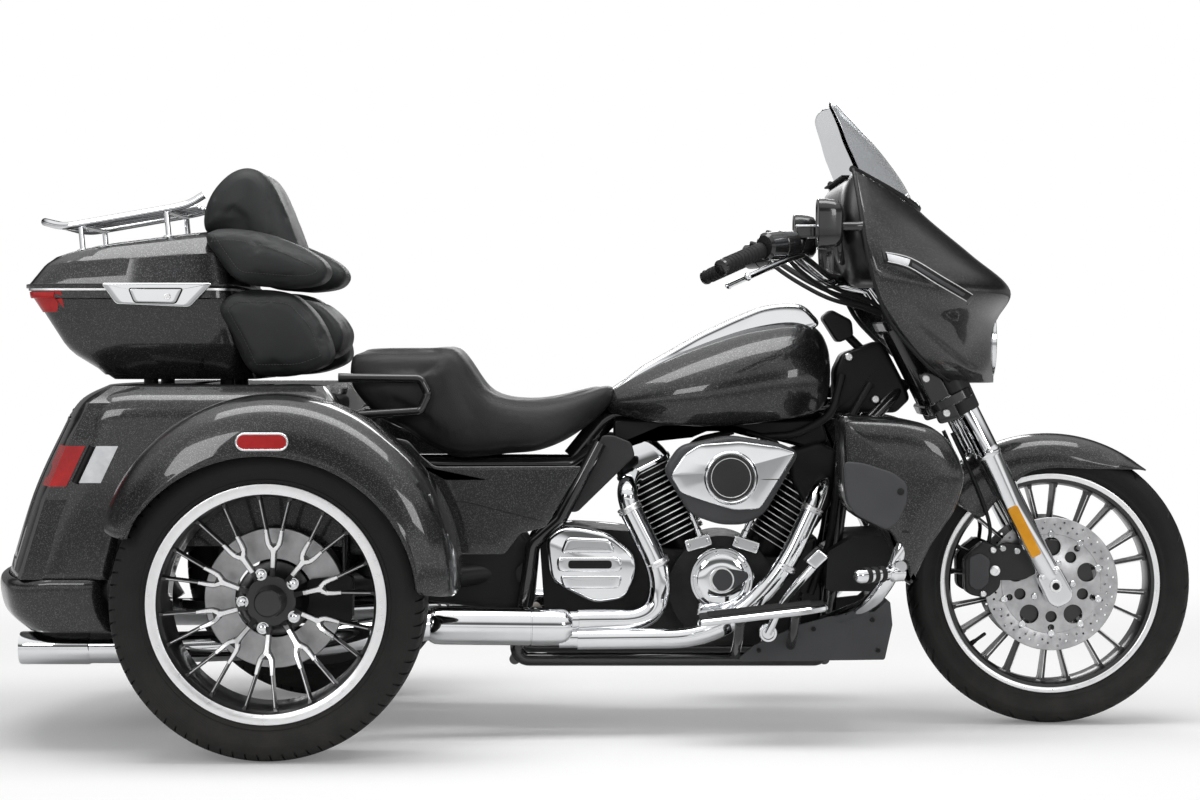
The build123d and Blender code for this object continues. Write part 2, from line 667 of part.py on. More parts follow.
def pack_shape(inset, floor, roof):
    """The tour pack base's outline as a solid, each wall moved in by the inset."""
    levels = [(z, rear + inset, front - inset, half - inset, corner - inset)
              for z, rear, front, half, corner in pack_levels]
    levels[0] = (floor, *levels[0][1:])
    levels[-1] = (roof, *levels[-1][1:])
    with BuildPart() as shape:
        for low, high in zip(levels, levels[1:]):
            loft(sections=[level_section(*low), level_section(*high)])
    return shape.part


hinge_y = pack_half + 11
hinge_z = seam_z - 2
hinge_rear_x = -1112.0
hinge_front_x = -928.0
pack_skin = pack_shape(0, pack_floor_z, seam_z - lid_gap)
with BuildPart() as tour_pack_base:
    add(pack_skin)
    add(pack_shape(pack_wall, pack_floor_z + pack_wall, seam_z), mode=Mode.SUBTRACT)
    rod((hinge_rear_x, hinge_y, hinge_z), (hinge_front_x, hinge_y, hinge_z), hinge_pin_r)
    for x in (hinge_rear_x, hinge_front_x - lug_width):
        rod((x, hinge_y, hinge_z), (x + lug_width, hinge_y, hinge_z), hinge_pin_r + 1.5)
        plan_slab([(x, pack_half - 6), (x + lug_width, pack_half - 6), (x + lug_width, hinge_y),
                   (x, hinge_y)], 0, hinge_z - 12, hinge_z - 4)
save(tour_pack_base, "tour_pack_base")

lid_levels = (
    # height, rear x, front x, half width, corner radius
    (seam_z, -1252, -797, pack_half + 4, 74),
    (1050, -1205, -815, 290, 76),
    (1130, -1130, -850, 250, 70),
)
lid_slope = ((-1400, 1038), (-1190, 1058), (-1080, 1080), (-700, 1124))


def lid_solid(inset):
    """The lid's outline as a solid, each wall moved in by the inset."""
    low = seam_z if inset == 0 else seam_z - 1
    levels = [(z, rear + inset, front - inset, half - inset, corner - inset)
              for z, rear, front, half, corner in lid_levels]
    levels[0] = (low, *levels[0][1:])
    slope = [(x, z - inset) for x, z in lid_slope]
    with BuildPart() as lid:
        for lower, upper in zip(levels, levels[1:]):
            loft(sections=[level_section(*lower), level_section(*upper)])
        plate(slope + [(-700, 1400), (-1400, 1400)], 0, 400, -400, Mode.SUBTRACT)
    return lid.part


with BuildPart() as tour_pack_lid:
    add(lid_solid(0))
    add(lid_solid(pack_wall), mode=Mode.SUBTRACT)
    knuckle_rear = hinge_rear_x + lug_width + 2
    knuckle_front = hinge_front_x - lug_width - 2
    plan_slab([(knuckle_rear, pack_half - 4), (knuckle_front, pack_half - 4), (knuckle_front, hinge_y + 1),
               (knuckle_rear, hinge_y + 1)], 0, seam_z + 1, seam_z + 5)
    rod((knuckle_rear, hinge_y, hinge_z), (knuckle_front, hinge_y, hinge_z), hinge_knuckle_r)
    rod((knuckle_rear - 1, hinge_y, hinge_z), (knuckle_front + 1, hinge_y, hinge_z), hinge_pin_r + fit_gap,
        Mode.SUBTRACT)
save(tour_pack_lid, "tour_pack_lid")

with BuildPart() as pack_latch:
    plate([(-1077, 991), (-835, 991), (-885, 937), (-1044, 945)], 6, -pack_half - 4 - moving_gap,
          -pack_half - 12 - moving_gap)
    plate([(-1050, 965), (-880, 965), (-900, 945), (-1040, 945)], 3, -270, -pack_half - 4 - moving_gap)
    add(pack_skin, mode=Mode.SUBTRACT)
save(pack_latch, "pack_latch")

with BuildPart() as pack_pads:
    for side in (-1, 1):
        plate([(-800, 974), (-691, 974), (-655, 966), (-605, 911), (-577, 840), (-588, 812), (-648, 790),
               (-765, 790)], 14, side * 232 + 70, side * 232 - 70)
    plate([(-800, 950), (-660, 955), (-610, 945), (-580, 912), (-562, 880), (-575, 835), (-640, 826),
           (-780, 826)], 14, 158, -158)
    add(pack_skin, mode=Mode.SUBTRACT)
save(pack_pads, "pack_pads")

with BuildPart() as pack_stand:
    for side in (-1, 1):
        for x in (-1000, -830):
            rod((x, side * 120, deck_z), (x, side * 120, pack_floor_z), 16)
save(pack_stand, "pack_stand")

with BuildPart() as pack_lamps:
    add(pack_shape(-lens_stand, pack_floor_z, seam_z - lid_gap))
    plate([(-1300, 970), (-1165, 974), (-1160, 935), (-1300, 928)], 0, 400, -400, Mode.INTERSECT)
    plate([(-1300, 800), (-1300, 1000), (-1100, 1000), (-1100, 800)], 0, 215, -215, Mode.SUBTRACT)
    add(pack_skin, mode=Mode.SUBTRACT)
with BuildPart() as tail_lamps:
    add(body_shape(-lens_stand))
    plate([(-1300, 560), (-1120, 560), (-1080, 645), (-1300, 645)], 0, 600, -600, Mode.INTERSECT)
    plate([(-1400, 500), (-1400, 700), (-900, 700), (-900, 500)], 0, 400, -400, Mode.SUBTRACT)
    add(body_skin.part, mode=Mode.SUBTRACT)
with BuildPart() as rear_lamps:
    add(pack_lamps.part)
    add(tail_lamps.part)
    for side in (-1, 1):
        outer = side * (fender_outer_y + lens_stand + 1)
        inner = side * (fender_outer_y + fit_gap)
        with BuildSketch(side_plane(max(outer, inner))) as marker:
            with Locations((rear_axle_x, 661)):
                SlotOverall(101, 30)
        extrude(marker.sketch, amount=abs(outer - inner))
save(rear_lamps, "rear_lamps")

with BuildPart() as backrest:
    plate([(-883, 1100), (-887, 1148), (-867, 1199), (-827, 1241), (-789, 1257), (-756, 1248), (-727, 1215),
           (-697, 1148), (-668, 1070), (-640, 1000), (-660, 984), (-786, 984), (-830, 1090)], 16, 165, -165)
    for side in (-1, 1):
        plate([(-846, 1095), (-790, 984), (-612, 984), (-584, 1013), (-603, 1045), (-649, 1067),
               (-714, 1093)], 12, side * 236 + 62, side * 236 - 62)
        plate([(-800, 1050), (-800, 1000), (-690, 1000), (-690, 1050)], 8, side * 165 + 12, side * 165 - 12)
    add(lid_solid(0), mode=Mode.SUBTRACT)
save(backrest, "backrest")

with BuildPart() as luggage_rack:
    for side in (-1, 1):
        tube([(-876, side * 150, 1190), (-915, side * 150, 1166), (-1190, side * 150, 1118),
              (-1240, side * 120, 1132), (-1240, 0, 1132)], 7, 20)
        for x, z in ((-1150, 1124), (-960, 1157)):
            rod((x, side * 150, z - 6), (x + 6, side * 150, z - 70), 6)
    for y in (-60, 0, 60):
        rod((-1238, y, 1131), (-905, y, 1162), 5)
    rod((-1150, -150, 1122), (-1150, 150, 1122), 5)
    rod((-960, -150, 1154), (-960, 150, 1154), 5)
    add(lid_solid(0), mode=Mode.SUBTRACT)
    add(backrest.part, mode=Mode.SUBTRACT)
save(luggage_rack, "luggage_rack")

# ------------------------------------------------------------------ steering: forks
reflector_low = 84.0
reflector_long = 112.0
with BuildPart() as fork_legs:
    for side in (-1, 1):
        for bottom, top, radius in ((-46, 325, slider_r), (325, 338, slider_r + 3),
                                    (338, slider_top, slider_r + 1), (slider_top, clamp_high + 30, fork_tube_r)):
            with BuildSketch(steer_plane.offset(bottom)) as ring:
                with Locations((fork_offset, side * fork_leg_y)):
                    Circle(radius)
            extrude(ring.sketch, amount=top - bottom)
        with BuildSketch(steer_plane.offset(reflector_low)) as reflector:
            with Locations((fork_offset - 8, side * (fork_leg_y + slider_r - 2))):
                Rectangle(20, 10)
        extrude(reflector.sketch, amount=reflector_long)
    cross_disc(front_axle_x, fork_leg_y + 34, -fork_leg_y - 34, front_axle_z, axle_r)
save(fork_legs, "fork_legs")

with BuildPart() as fork_clamps:
    for level in (clamp_low, clamp_high):
        with BuildSketch(steer_plane.offset(level - clamp_thick / 2)) as clamp:
            with Locations((24, 0)):
                RectangleRounded(112, 2 * fork_leg_y + 76, 30)
        extrude(clamp.sketch, amount=clamp_thick)
    with BuildSketch(steer_plane.offset(clamp_low)) as stem:
        Circle(stem_r)
    extrude(stem.sketch, amount=clamp_high - clamp_low)
    for side in (-1, 1):
        with BuildSketch(steer_plane.offset(clamp_low + clamp_thick / 2)) as cover:
            with Locations((fork_offset, side * fork_leg_y)):
                Circle(slider_r + 7)
        extrude(cover.sketch, amount=90)
    add(fork_legs.part, mode=Mode.SUBTRACT)
save(fork_clamps, "fork_clamps")

with BuildPart() as front_calipers:
    for side in (-1, 1):
        y = side * 76
        plate([(816, 376), (862, 418), (905, 400), (896, 312), (868, 290), (818, 306)], 12, y + 22, y - 22)
        plate([(880, 398), (960, 408), (985, 350), (880, 330)], 6, side * 90 + 8, side * 90 - 8)
        cross_disc(front_axle_x, side * disc_y + disc_thick / 2 + 3, side * disc_y - disc_thick / 2 - 3,
                   front_axle_z, disc_r + 6, Mode.SUBTRACT)
    add(fork_legs.part, mode=Mode.SUBTRACT)
save(front_calipers, "front_calipers")

front_fender_half = fork_leg_y - slider_r - fit_gap
front_fender_r = 338.0
front_fender_wall = 3.0
with BuildPart() as front_fender:
    for inset in (0, front_fender_wall):
        top = front_fender_r - inset
        half = front_fender_half - inset
        with BuildSketch(wheel_plane(front_axle_x, 0, front_axle_z)) as section:
            with BuildLine():
                Polyline((half, 240 - inset), (half, top - 34))
                ThreePointArc((half, top - 34), (0, top), (-half, top - 34))
                Polyline((-half, top - 34), (-half, 240 - inset), (half, 240 - inset))
            make_face()
        revolve(section.sketch, axis=Axis((front_axle_x, 0, front_axle_z), (0, 1, 0)),
                mode=Mode.ADD if inset == 0 else Mode.SUBTRACT)
    plate([(1238, 568), (1211, 568), (1121, 581), (987, 577), (919, 540), (863, 469), (796, 500), (740, 560),
           (740, 700), (1300, 700), (1300, 600)], 6, 100, -100, Mode.INTERSECT)
save(front_fender, "front_fender")

# ------------------------------------------------------------------ steering: fairing, screen and controls
nose_low = ((772, 788, 892, 124), (815, 715, 893, 230), (905, 625, 895, 345), (980, 588, 927, 398))
nose_high = ((980, 588, 927, 398), (1060, 568, 838, 402), (1150, 557, 730, 370), (1245, 548, 640, 300))
fairing_wall = 6.0


def nose_solid(inset):
    """The fairing's outline as a solid, each wall moved in by the inset."""
    with BuildPart() as nose:
        for levels in (nose_low, nose_high):
            loft(sections=[bow_section(z + inset * 0.2, rear - inset * 2, front - inset, half - inset)
                           for z, rear, front, half in levels])
    return nose.part


screen_line = [(800, 1100), (722, 1157), (548, 1236), (480, 1236), (480, 1400), (800, 1400)]
lamp_x = 800.0
lamp_r = 86.0
lamp_z = 864.0
nose_outer = nose_solid(0)
nose_inner = nose_solid(fairing_wall)
with BuildPart() as fairing:
    add(nose_outer)
    add(nose_inner, mode=Mode.SUBTRACT)
    plate(screen_line, 0, 450, -450, Mode.SUBTRACT)
    with BuildSketch(Plane.YZ.offset(lamp_x - 80)) as opening:
        with Locations((0, lamp_z)):
            Circle(lamp_r + 1)
    extrude(opening.sketch, amount=300, mode=Mode.SUBTRACT)
    for side in (-1, 1):
        with BuildSketch(steer_plane.offset(slider_top - 20)) as passage:
            with Locations((fork_offset - 30, side * fork_leg_y)):
                RectangleRounded(2 * slider_r + 80, 2 * slider_r + 24, 20)
        extrude(passage.sketch, amount=330, mode=Mode.SUBTRACT)
    with BuildSketch(steer_plane.offset(clamp_high - clamp_thick)) as clamp_space:
        with Locations((24, 0)):
            Rectangle(160, 2 * fork_leg_y + 110)
    extrude(clamp_space.sketch, amount=60, mode=Mode.SUBTRACT)
save(fairing, "fairing")

slot_lamp_outline = [(606, 1056), (666, 1043), (811, 968), (794, 951), (662, 1021), (611, 1034)]
with BuildPart() as slot_lamps:
    add(nose_solid(-lens_stand))
    plate(slot_lamp_outline, 0, 450, -450, Mode.INTERSECT)
    add(nose_outer, mode=Mode.SUBTRACT)

with BuildPart() as headlamp:
    with BuildSketch(Plane.YZ.offset(lamp_x)) as shell:
        with Locations((0, lamp_z)):
            Circle(lamp_r)
    extrude(shell.sketch, amount=90)
    for side in (-1, 1):
        rod((820, side * 80, lamp_z), (820, side * 262, lamp_z + 30), 10)
    add(nose_outer, mode=Mode.INTERSECT)
    add(fairing.part, mode=Mode.SUBTRACT)
    add(slot_lamps.part)
save(headlamp, "headlamp")

with BuildPart() as inner_fairing:
    add(nose_inner)
    plate(screen_line, 0, 450, -450, Mode.SUBTRACT)
    plate([(500, 990), (500, 1300), (632, 1300), (632, 990)], 0, 450, -450, Mode.INTERSECT)
    add(fairing.part, mode=Mode.SUBTRACT)
save(inner_fairing, "inner_fairing")

with BuildPart() as windshield:
    for inset, mode in ((0, Mode.ADD), (4, Mode.SUBTRACT)):
        loft(sections=[bow_section(1140, 560 - inset * 3, 738 - inset, 262),
                       bow_section(1412, 496 - inset * 3, 529 - inset, 205)], mode=mode)
    plate([(735, 1151), (548, 1237), (470, 1250), (470, 1372), (538, 1403), (640, 1403), (790, 1200)], 0,
          300, -300, Mode.INTERSECT)
    add(nose_outer, mode=Mode.SUBTRACT)
save(windshield, "windshield")

bar_r = 12.5
with BuildPart() as handlebar:
    for side in (-1, 1):
        tube([(610, side * 30, 985), (540, side * 110, 1000), (500, side * 185, 1002), (445, side * 225, 1045),
              (400, side * 300, 1070), (345, side * 340, 1060), (255, side * 440, 1020)], bar_r, 30)
        rod((345, side * 340, 1060), (255, side * 440, 1020), 18)
    rod((610, -42, 985), (610, 42, 985), bar_r)
    for side in (-1, 1):
        rod((640, side * 40, 945), (608, side * 40, 990), 15)
    add(fork_clamps.part, mode=Mode.SUBTRACT)
    add(inner_fairing.part, mode=Mode.SUBTRACT)
save(handlebar, "handlebar")

with BuildPart() as hand_controls:
    for side in (-1, 1):
        rod((420, side * 285, 1075), (352, side * 345, 1068), 32)
        plate([(424, 1086), (424, 1117), (480, 1117), (480, 1086)], 6, side * 262 + 26, side * 262 - 26)
        tube([(440, side * 285, 1052), (400, side * 330, 1040), (310, side * 440, 1000)], 7, 30)
        rod((430, side * 290, 1060), (440, side * 270, 1090), 10)
    add(handlebar.part, mode=Mode.SUBTRACT)
save(hand_controls, "hand_controls")

with BuildPart() as mirrors:
    for side in (-1, 1):
        plate([(465, 1060), (470, 1168), (519, 1171), (519, 1060)], 20, side * 362 + 45, side * 362 - 45)
        rod((516, side * 376, 1110), (566, side * 388, 1110), 10)
    add(fairing.part, mode=Mode.SUBTRACT)
    add(inner_fairing.part, mode=Mode.SUBTRACT)
save(mirrors, "mirrors")

# ------------------------------------------------------------------ lowers, guard, chin and foot controls
guard_path = [(604, 60, 640), (650, 200, 590), (668, 340, 540), (642, 392, 400), (590, 330, 300),
              (500, rail_y, 240)]
with BuildPart() as engine_guard:
    for side in (-1, 1):
        tube([(x, side * y, z) for x, y, z in guard_path], guard_r, 40)
        rod((500, side * rail_y, 240), (500, side * rail_y, rail_z), 10)
        rod((640, side * 392, 372), (540, side * 452, 368), 15)
    add(frame.part, mode=Mode.SUBTRACT)
save(engine_guard, "engine_guard")

lower_outline = [(512, 706), (646, 700), (708, 686), (750, 653), (776, 605), (783, 566), (763, 502), (710, 426),
                 (664, 332), (612, 454), (538, 493), (521, 523)]
with BuildPart() as lower_fairings:
    for side in (-1, 1):
        near = side * 236
        far = side * 400
        plate(lower_outline, 14, max(near, far), min(near, far))
        plate([(530, 698), (646, 692), (700, 680), (742, 650), (766, 605), (773, 566), (755, 506), (700, 430),
               (668, 352), (624, 458), (550, 500), (532, 528)], 8, max(near, side * 391), min(near, side * 391),
              Mode.SUBTRACT)
        rod((607, side * 74, 688), (620, side * 236, 690), 8)
    with BuildPart(mode=Mode.PRIVATE) as passage:
        for side in (-1, 1):
            tube([(x, side * y, z) for x, y, z in guard_path], guard_r + 1, 40)
    add(passage.part, mode=Mode.SUBTRACT)
    add(frame.part, mode=Mode.SUBTRACT)
    add(engine_guard.part, mode=Mode.SUBTRACT)
save(lower_fairings, "lower_fairings")

with BuildPart() as chin_spoiler:
    plate([(297, 160), (341, 197), (440, 241), (506, 259), (605, 270), (638, 300), (644, 241), (627, 164)], 6,
          205, -205)
    plate([(200, 100), (200, 350), (618, 350), (618, 100)], 0, 195, -195, Mode.SUBTRACT)
    rod((490, -196, 180), (490, -rail_y, 165), 7)
    rod((490, 196, 180), (490, rail_y, 165), 7)
    for cut in (frame, radiator, engine_guard):
        add(cut.part, mode=Mode.SUBTRACT)
save(chin_spoiler, "chin_spoiler")

with BuildPart() as floorboards:
    for side in (-1, 1):
        plate([(207, 258), (207, 276), (480, 308), (491, 300), (486, 286)], 4, side * 360 + 70,
              side * 360 - 70)
        rod((300, side * 360, 262), (300, side * (rail_y + 8), 168), 11)
        rod((420, side * 360, 280), (420, side * (rail_y + 8), 168), 11)
    add(frame.part, mode=Mode.SUBTRACT)
    add(exhaust_pipes.part, mode=Mode.SUBTRACT)
    add(chin_spoiler.part, mode=Mode.SUBTRACT)
save(floorboards, "floorboards")

with BuildPart() as foot_controls:
    for side in (-1, 1):
        cross_disc(365, side * 250 + 50, side * 250 - 50, 232, 20)
        tube([(365, side * 292, 232), (400, side * 320, 310), (478, side * 330, 400)], 9, 40)
        plate([(440, 392), (470, 420), (492, 402), (462, 374)], 6, side * 330 + 25, side * 330 - 25)
        rod((365, side * 205, 232), (365, side * rail_y, 180), 9)
    for cut in (frame, chin_spoiler, floorboards, exhaust_pipes):
        add(cut.part, mode=Mode.SUBTRACT)
save(foot_controls, "foot_controls")
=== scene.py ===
from math import asin, atan, atan2, cos, hypot, pi, radians, sin

import bmesh
import bpy
from mathutils import Matrix, Vector


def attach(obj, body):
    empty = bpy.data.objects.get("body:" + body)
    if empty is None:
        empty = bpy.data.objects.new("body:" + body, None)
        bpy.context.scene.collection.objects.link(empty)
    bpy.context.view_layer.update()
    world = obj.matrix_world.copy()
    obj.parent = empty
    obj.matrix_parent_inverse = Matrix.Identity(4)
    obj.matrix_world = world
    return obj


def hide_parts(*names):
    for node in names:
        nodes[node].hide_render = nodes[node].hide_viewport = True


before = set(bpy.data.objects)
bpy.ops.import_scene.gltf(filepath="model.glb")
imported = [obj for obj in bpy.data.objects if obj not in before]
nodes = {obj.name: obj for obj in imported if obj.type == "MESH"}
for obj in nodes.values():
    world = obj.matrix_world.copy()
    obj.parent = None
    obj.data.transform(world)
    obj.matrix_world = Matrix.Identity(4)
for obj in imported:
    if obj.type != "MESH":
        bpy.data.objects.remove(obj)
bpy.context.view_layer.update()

# ---------------------------------------------------------------- studio and camera
# A pale floor in white surroundings, one broad lamp overhead and two weaker ones in front.
# The camera is level with the fuel tank and looks square at the right side of the vehicle.
image_width = 1200
focal_px = 2778.0
horizon_px = 345.0
image_middle_px = 400.0
camera_distance = 6.31
camera_height = 0.857
sensor_width = 36.0

optics = bpy.data.cameras.new("side_view")
optics.sensor_width = sensor_width
optics.lens = focal_px * sensor_width / image_width
optics.clip_end = 100.0
camera = bpy.data.objects.new("side_view", optics)
camera.location = (0.0, -camera_distance, camera_height)
camera.rotation_euler = (pi / 2 - atan((image_middle_px - horizon_px) / focal_px), 0.0, 0.0)
bpy.context.scene.collection.objects.link(camera)
bpy.context.scene.camera = camera
bpy.context.scene.view_settings.view_transform = "Standard"


def node(tree, kind, sockets=None, **settings):
    """Adds a node; a socket given as another node's socket is linked, anything else is set."""
    made = tree.nodes.new(kind)
    for name, value in settings.items():
        setattr(made, name, value)
    for name, value in (sockets or {}).items():
        if isinstance(value, bpy.types.NodeSocket):
            tree.links.new(value, made.inputs[name])
        else:
            made.inputs[name].default_value = value
    return made


def soft_lamp(name, place, target, width, depth, power):
    """A square softbox that faces the target."""
    light = bpy.data.lights.new(name, "AREA")
    light.shape = "RECTANGLE"
    light.size = width
    light.size_y = depth
    light.energy = power
    lamp = bpy.data.objects.new(name, light)
    lamp.location = place
    lamp.rotation_euler = (Vector(target) - Vector(place)).to_track_quat("-Z", "Y").to_euler()
    bpy.context.scene.collection.objects.link(lamp)


soft_lamp("overhead", (0.0, -0.5, 3.6), (0.0, 0.0, 0.6), 4.4, 1.5, 95.0)
soft_lamp("front_left", (-2.6, -4.6, 2.5), (-0.4, 0.0, 0.6), 1.6, 1.2, 36.0)
soft_lamp("front_right", (2.9, -4.4, 2.2), (0.5, 0.0, 0.6), 1.4, 1.2, 30.0)
soft_lamp("rear_fill", (0.0, 5.0, 2.6), (0.0, 0.0, 0.7), 3.0, 1.4, 55.0)

world = bpy.data.worlds.new("white_surroundings")
bpy.context.scene.world = world
world.use_nodes = True
tree = world.node_tree
tree.nodes.clear()
seen_by = node(tree, "ShaderNodeLightPath")
upward = node(tree, "ShaderNodeSeparateXYZ", {0: node(tree, "ShaderNodeTexCoord").outputs["Generated"]})
studio = node(tree, "ShaderNodeValToRGB", {0: node(tree, "ShaderNodeMapRange",
    {0: upward.outputs["Z"], 1: -1.0, 2: 1.0}).outputs[0]})
for place, level in ((0.4, 0.3), (0.495, 0.55), (0.505, 0.95), (0.565, 0.9), (0.6, 0.14), (0.68, 0.1),
        (0.76, 0.85), (0.95, 1.0)):
    stop = studio.color_ramp.elements.new(place)
    stop.color = (level, level, level, 1.0)
for end in (0, -1):
    studio.color_ramp.elements.remove(studio.color_ramp.elements[end])
ambient = node(tree, "ShaderNodeBackground", {"Color": (1, 1, 1, 1), "Strength": 0.42})
behind = node(tree, "ShaderNodeMapRange", {0: upward.outputs["Y"], 1: 0.0, 2: 0.55, 3: 1.0, 4: 0.16})
above = node(tree, "ShaderNodeMapRange", {0: upward.outputs["Z"], 1: 0.35, 2: 0.8})
shade = node(tree, "ShaderNodeMath", {0: behind.outputs[0], 1: above.outputs[0]}, operation="MAXIMUM")
reflected = node(tree, "ShaderNodeBackground", {"Color": studio.outputs[0], "Strength": shade.outputs[0]})
backdrop = node(tree, "ShaderNodeBackground", {"Color": (1, 1, 1, 1), "Strength": 1.0})
glossy = node(tree, "ShaderNodeMixShader", {0: seen_by.outputs["Is Glossy Ray"], 1: ambient.outputs[0],
    2: reflected.outputs[0]})
straight = node(tree, "ShaderNodeMath", {0: seen_by.outputs["Is Camera Ray"],
    1: seen_by.outputs["Is Transmission Ray"]}, operation="MAXIMUM")
seen = node(tree, "ShaderNodeMixShader", {0: straight.outputs[0], 1: glossy.outputs[0],
    2: backdrop.outputs[0]})
node(tree, "ShaderNodeOutputWorld", {"Surface": seen.outputs[0]})

floor_half = 14.0
floor_albedo = 0.8
floor_glow = 0.17
floor_mesh = bpy.data.meshes.new("studio_floor")
floor_mesh.from_pydata([(x * floor_half, y * floor_half, 0.0) for x,
    y in ((-1, -1), (1, -1), (1, 1), (-1, 1))], [], [(0, 1, 2, 3)])
floor = bpy.data.objects.new("studio_floor", floor_mesh)
bpy.context.scene.collection.objects.link(floor)
paper = bpy.data.materials.new("pale_paper")
paper.use_nodes = True
tree = paper.node_tree
tree.nodes.clear()
fibres = node(tree, "ShaderNodeTexNoise", {"Scale": 3.0, "Detail": 4.0})
pale = node(tree, "ShaderNodeMix", {0: fibres.outputs[0], 6: (floor_albedo, floor_albedo, floor_albedo, 1),
    7: (0.83, 0.83, 0.83, 1)}, data_type="RGBA")
matt = node(tree, "ShaderNodeBsdfDiffuse", {"Color": pale.outputs[2]})
glow = node(tree, "ShaderNodeEmission", {"Color": (1, 1, 1, 1), "Strength": floor_glow})
lit = node(tree, "ShaderNodeAddShader", {0: matt.outputs[0], 1: glow.outputs[0]})
away = node(tree, "ShaderNodeVectorMath", {0: node(tree, "ShaderNodeTexCoord").outputs["Object"]},
    operation="LENGTH")
faded = node(tree, "ShaderNodeMapRange", {0: away.outputs["Value"], 1: 1.7, 2: 4.2},
    interpolation_type="SMOOTHSTEP")
bright = node(tree, "ShaderNodeEmission", {"Color": (1, 1, 1, 1), "Strength": 1.0})
endless = node(tree, "ShaderNodeMixShader", {0: faded.outputs[0], 1: lit.outputs[0], 2: bright.outputs[0]})
seen_by = node(tree, "ShaderNodeLightPath")
mixed = node(tree, "ShaderNodeMixShader", {0: seen_by.outputs["Is Camera Ray"], 1: matt.outputs[0],
    2: endless.outputs[0]})
node(tree, "ShaderNodeOutputMaterial", {"Surface": mixed.outputs[0]})
floor_mesh.materials.append(paper)

# ---------------------------------------------------------------- frame, swing arm and axle
# A welded cage of round steel tube in gloss black enamel carries everything else.
# The swing arm, axle housing and shock absorbers behind it are satin black.
def shader_group(name, inputs, outputs):
    """A shader node group with named inputs and outputs; returns the tree, its input and its output."""
    tree = bpy.data.node_groups.new(name, "ShaderNodeTree")
    for label, value in inputs.items():
        tree.interface.new_socket(label, in_out="INPUT",
            socket_type="NodeSocketFloat").default_value = value
    for label in outputs:
        tree.interface.new_socket(label, in_out="OUTPUT", socket_type="NodeSocketFloat")
    return tree, tree.nodes.new("NodeGroupInput"), tree.nodes.new("NodeGroupOutput")


def fill_group(tree, end, values):
    """Joins sockets to the group's outputs."""
    for label, value in values.items():
        tree.links.new(value, end.inputs[label])


# cloudy tone over a hand's breadth, and a fine grain on top of it
uneven, start, end = shader_group("uneven_surface", {"Cloud": 9.0, "Grain": 600.0}, ("Tone", "Height"))
place = node(uneven, "ShaderNodeTexCoord").outputs["Object"]
cloud = node(uneven, "ShaderNodeTexNoise", {"Vector": place, "Scale": start.outputs["Cloud"],
    "Detail": 5.0})
grain = node(uneven, "ShaderNodeTexNoise", {"Vector": place, "Scale": start.outputs["Grain"],
    "Detail": 3.0})
spread = node(uneven, "ShaderNodeMapRange", {0: cloud.outputs[0], 1: 0.3, 2: 0.7})
fill_group(uneven, end, {"Tone": spread.outputs[0], "Height": grain.outputs[0]})

# dust that settles low down and thins out upwards
dust, start, end = shader_group("road_dust", {"Top": 0.45, "Most": 0.4}, ("Mask",))
place = node(dust, "ShaderNodeTexCoord").outputs["Object"]
height = node(dust, "ShaderNodeSeparateXYZ", {0: place})
patches = node(dust, "ShaderNodeTexNoise", {"Vector": place, "Scale": 24.0, "Detail": 7.0})
fall = node(dust, "ShaderNodeMapRange", {0: height.outputs["Z"], 1: start.outputs["Top"], 2: 0.0, 3: 0.0,
    4: start.outputs["Most"]})
patchy = node(dust, "ShaderNodeMath", {0: fall.outputs[0], 1: patches.outputs[0]}, operation="MULTIPLY")
fill_group(dust, end, {"Mask": patchy.outputs[0]})


def finish(name, dark, light, roughness, cloud=9.0, grain=600.0, relief=0.02, metallic=0.0, coat=0.0,
        dust_top=0.0, dust_most=0.0, shine=0.5):
    """A painted, plated or moulded finish: two close colours, two roughnesses and a fine relief."""
    material = bpy.data.materials.new(name)
    material.use_nodes = True
    tree = material.node_tree
    shader = tree.nodes["Principled BSDF"]
    surface = node(tree, "ShaderNodeGroup", node_tree=uneven)
    surface.inputs["Cloud"].default_value = cloud
    surface.inputs["Grain"].default_value = grain
    colour = node(tree, "ShaderNodeMix", {0: surface.outputs["Tone"], 6: (*dark, 1), 7: (*light, 1)},
        data_type="RGBA").outputs[2]
    rough = node(tree, "ShaderNodeMapRange", {0: surface.outputs["Tone"], 3: roughness[0],
        4: roughness[1]}).outputs[0]
    if dust_most:
        film = node(tree, "ShaderNodeGroup", node_tree=dust)
        film.inputs["Top"].default_value = dust_top
        film.inputs["Most"].default_value = dust_most
        colour = node(tree, "ShaderNodeMix", {0: film.outputs["Mask"], 6: colour, 7: (0.24, 0.22, 0.2, 1)},
            data_type="RGBA").outputs[2]
    tree.links.new(colour, shader.inputs["Base Color"])
    tree.links.new(rough, shader.inputs["Roughness"])
    if relief:
        bump = node(tree, "ShaderNodeBump", {"Strength": relief, "Distance": 0.001,
            "Height": surface.outputs["Height"]})
        tree.links.new(bump.outputs[0], shader.inputs["Normal"])
    shader.inputs["Metallic"].default_value = metallic
    shader.inputs["Coat Weight"].default_value = coat
    shader.inputs["Coat Roughness"].default_value = 0.04
    shader.inputs["Specular IOR Level"].default_value = shine
    return material


def coat_node(material, *names):
    """Gives carried-over pieces this finish."""
    for name in names:
        mesh = nodes[name].data
        mesh.materials.clear()
        mesh.materials.append(material)


gloss_black = finish("black_enamel", (0.01, 0.01, 0.011), (0.016, 0.016, 0.017), (0.12, 0.2), relief=0.01,
    coat=0.6)
satin_black = finish("satin_black", (0.01, 0.01, 0.011), (0.017, 0.017, 0.018), (0.38, 0.52), relief=0.05,
    shine=0.25)
coat_node(gloss_black, "frame", "grab_rails")
coat_node(satin_black, "swing_arm", "rear_axle", "rear_shocks", "pack_stand")

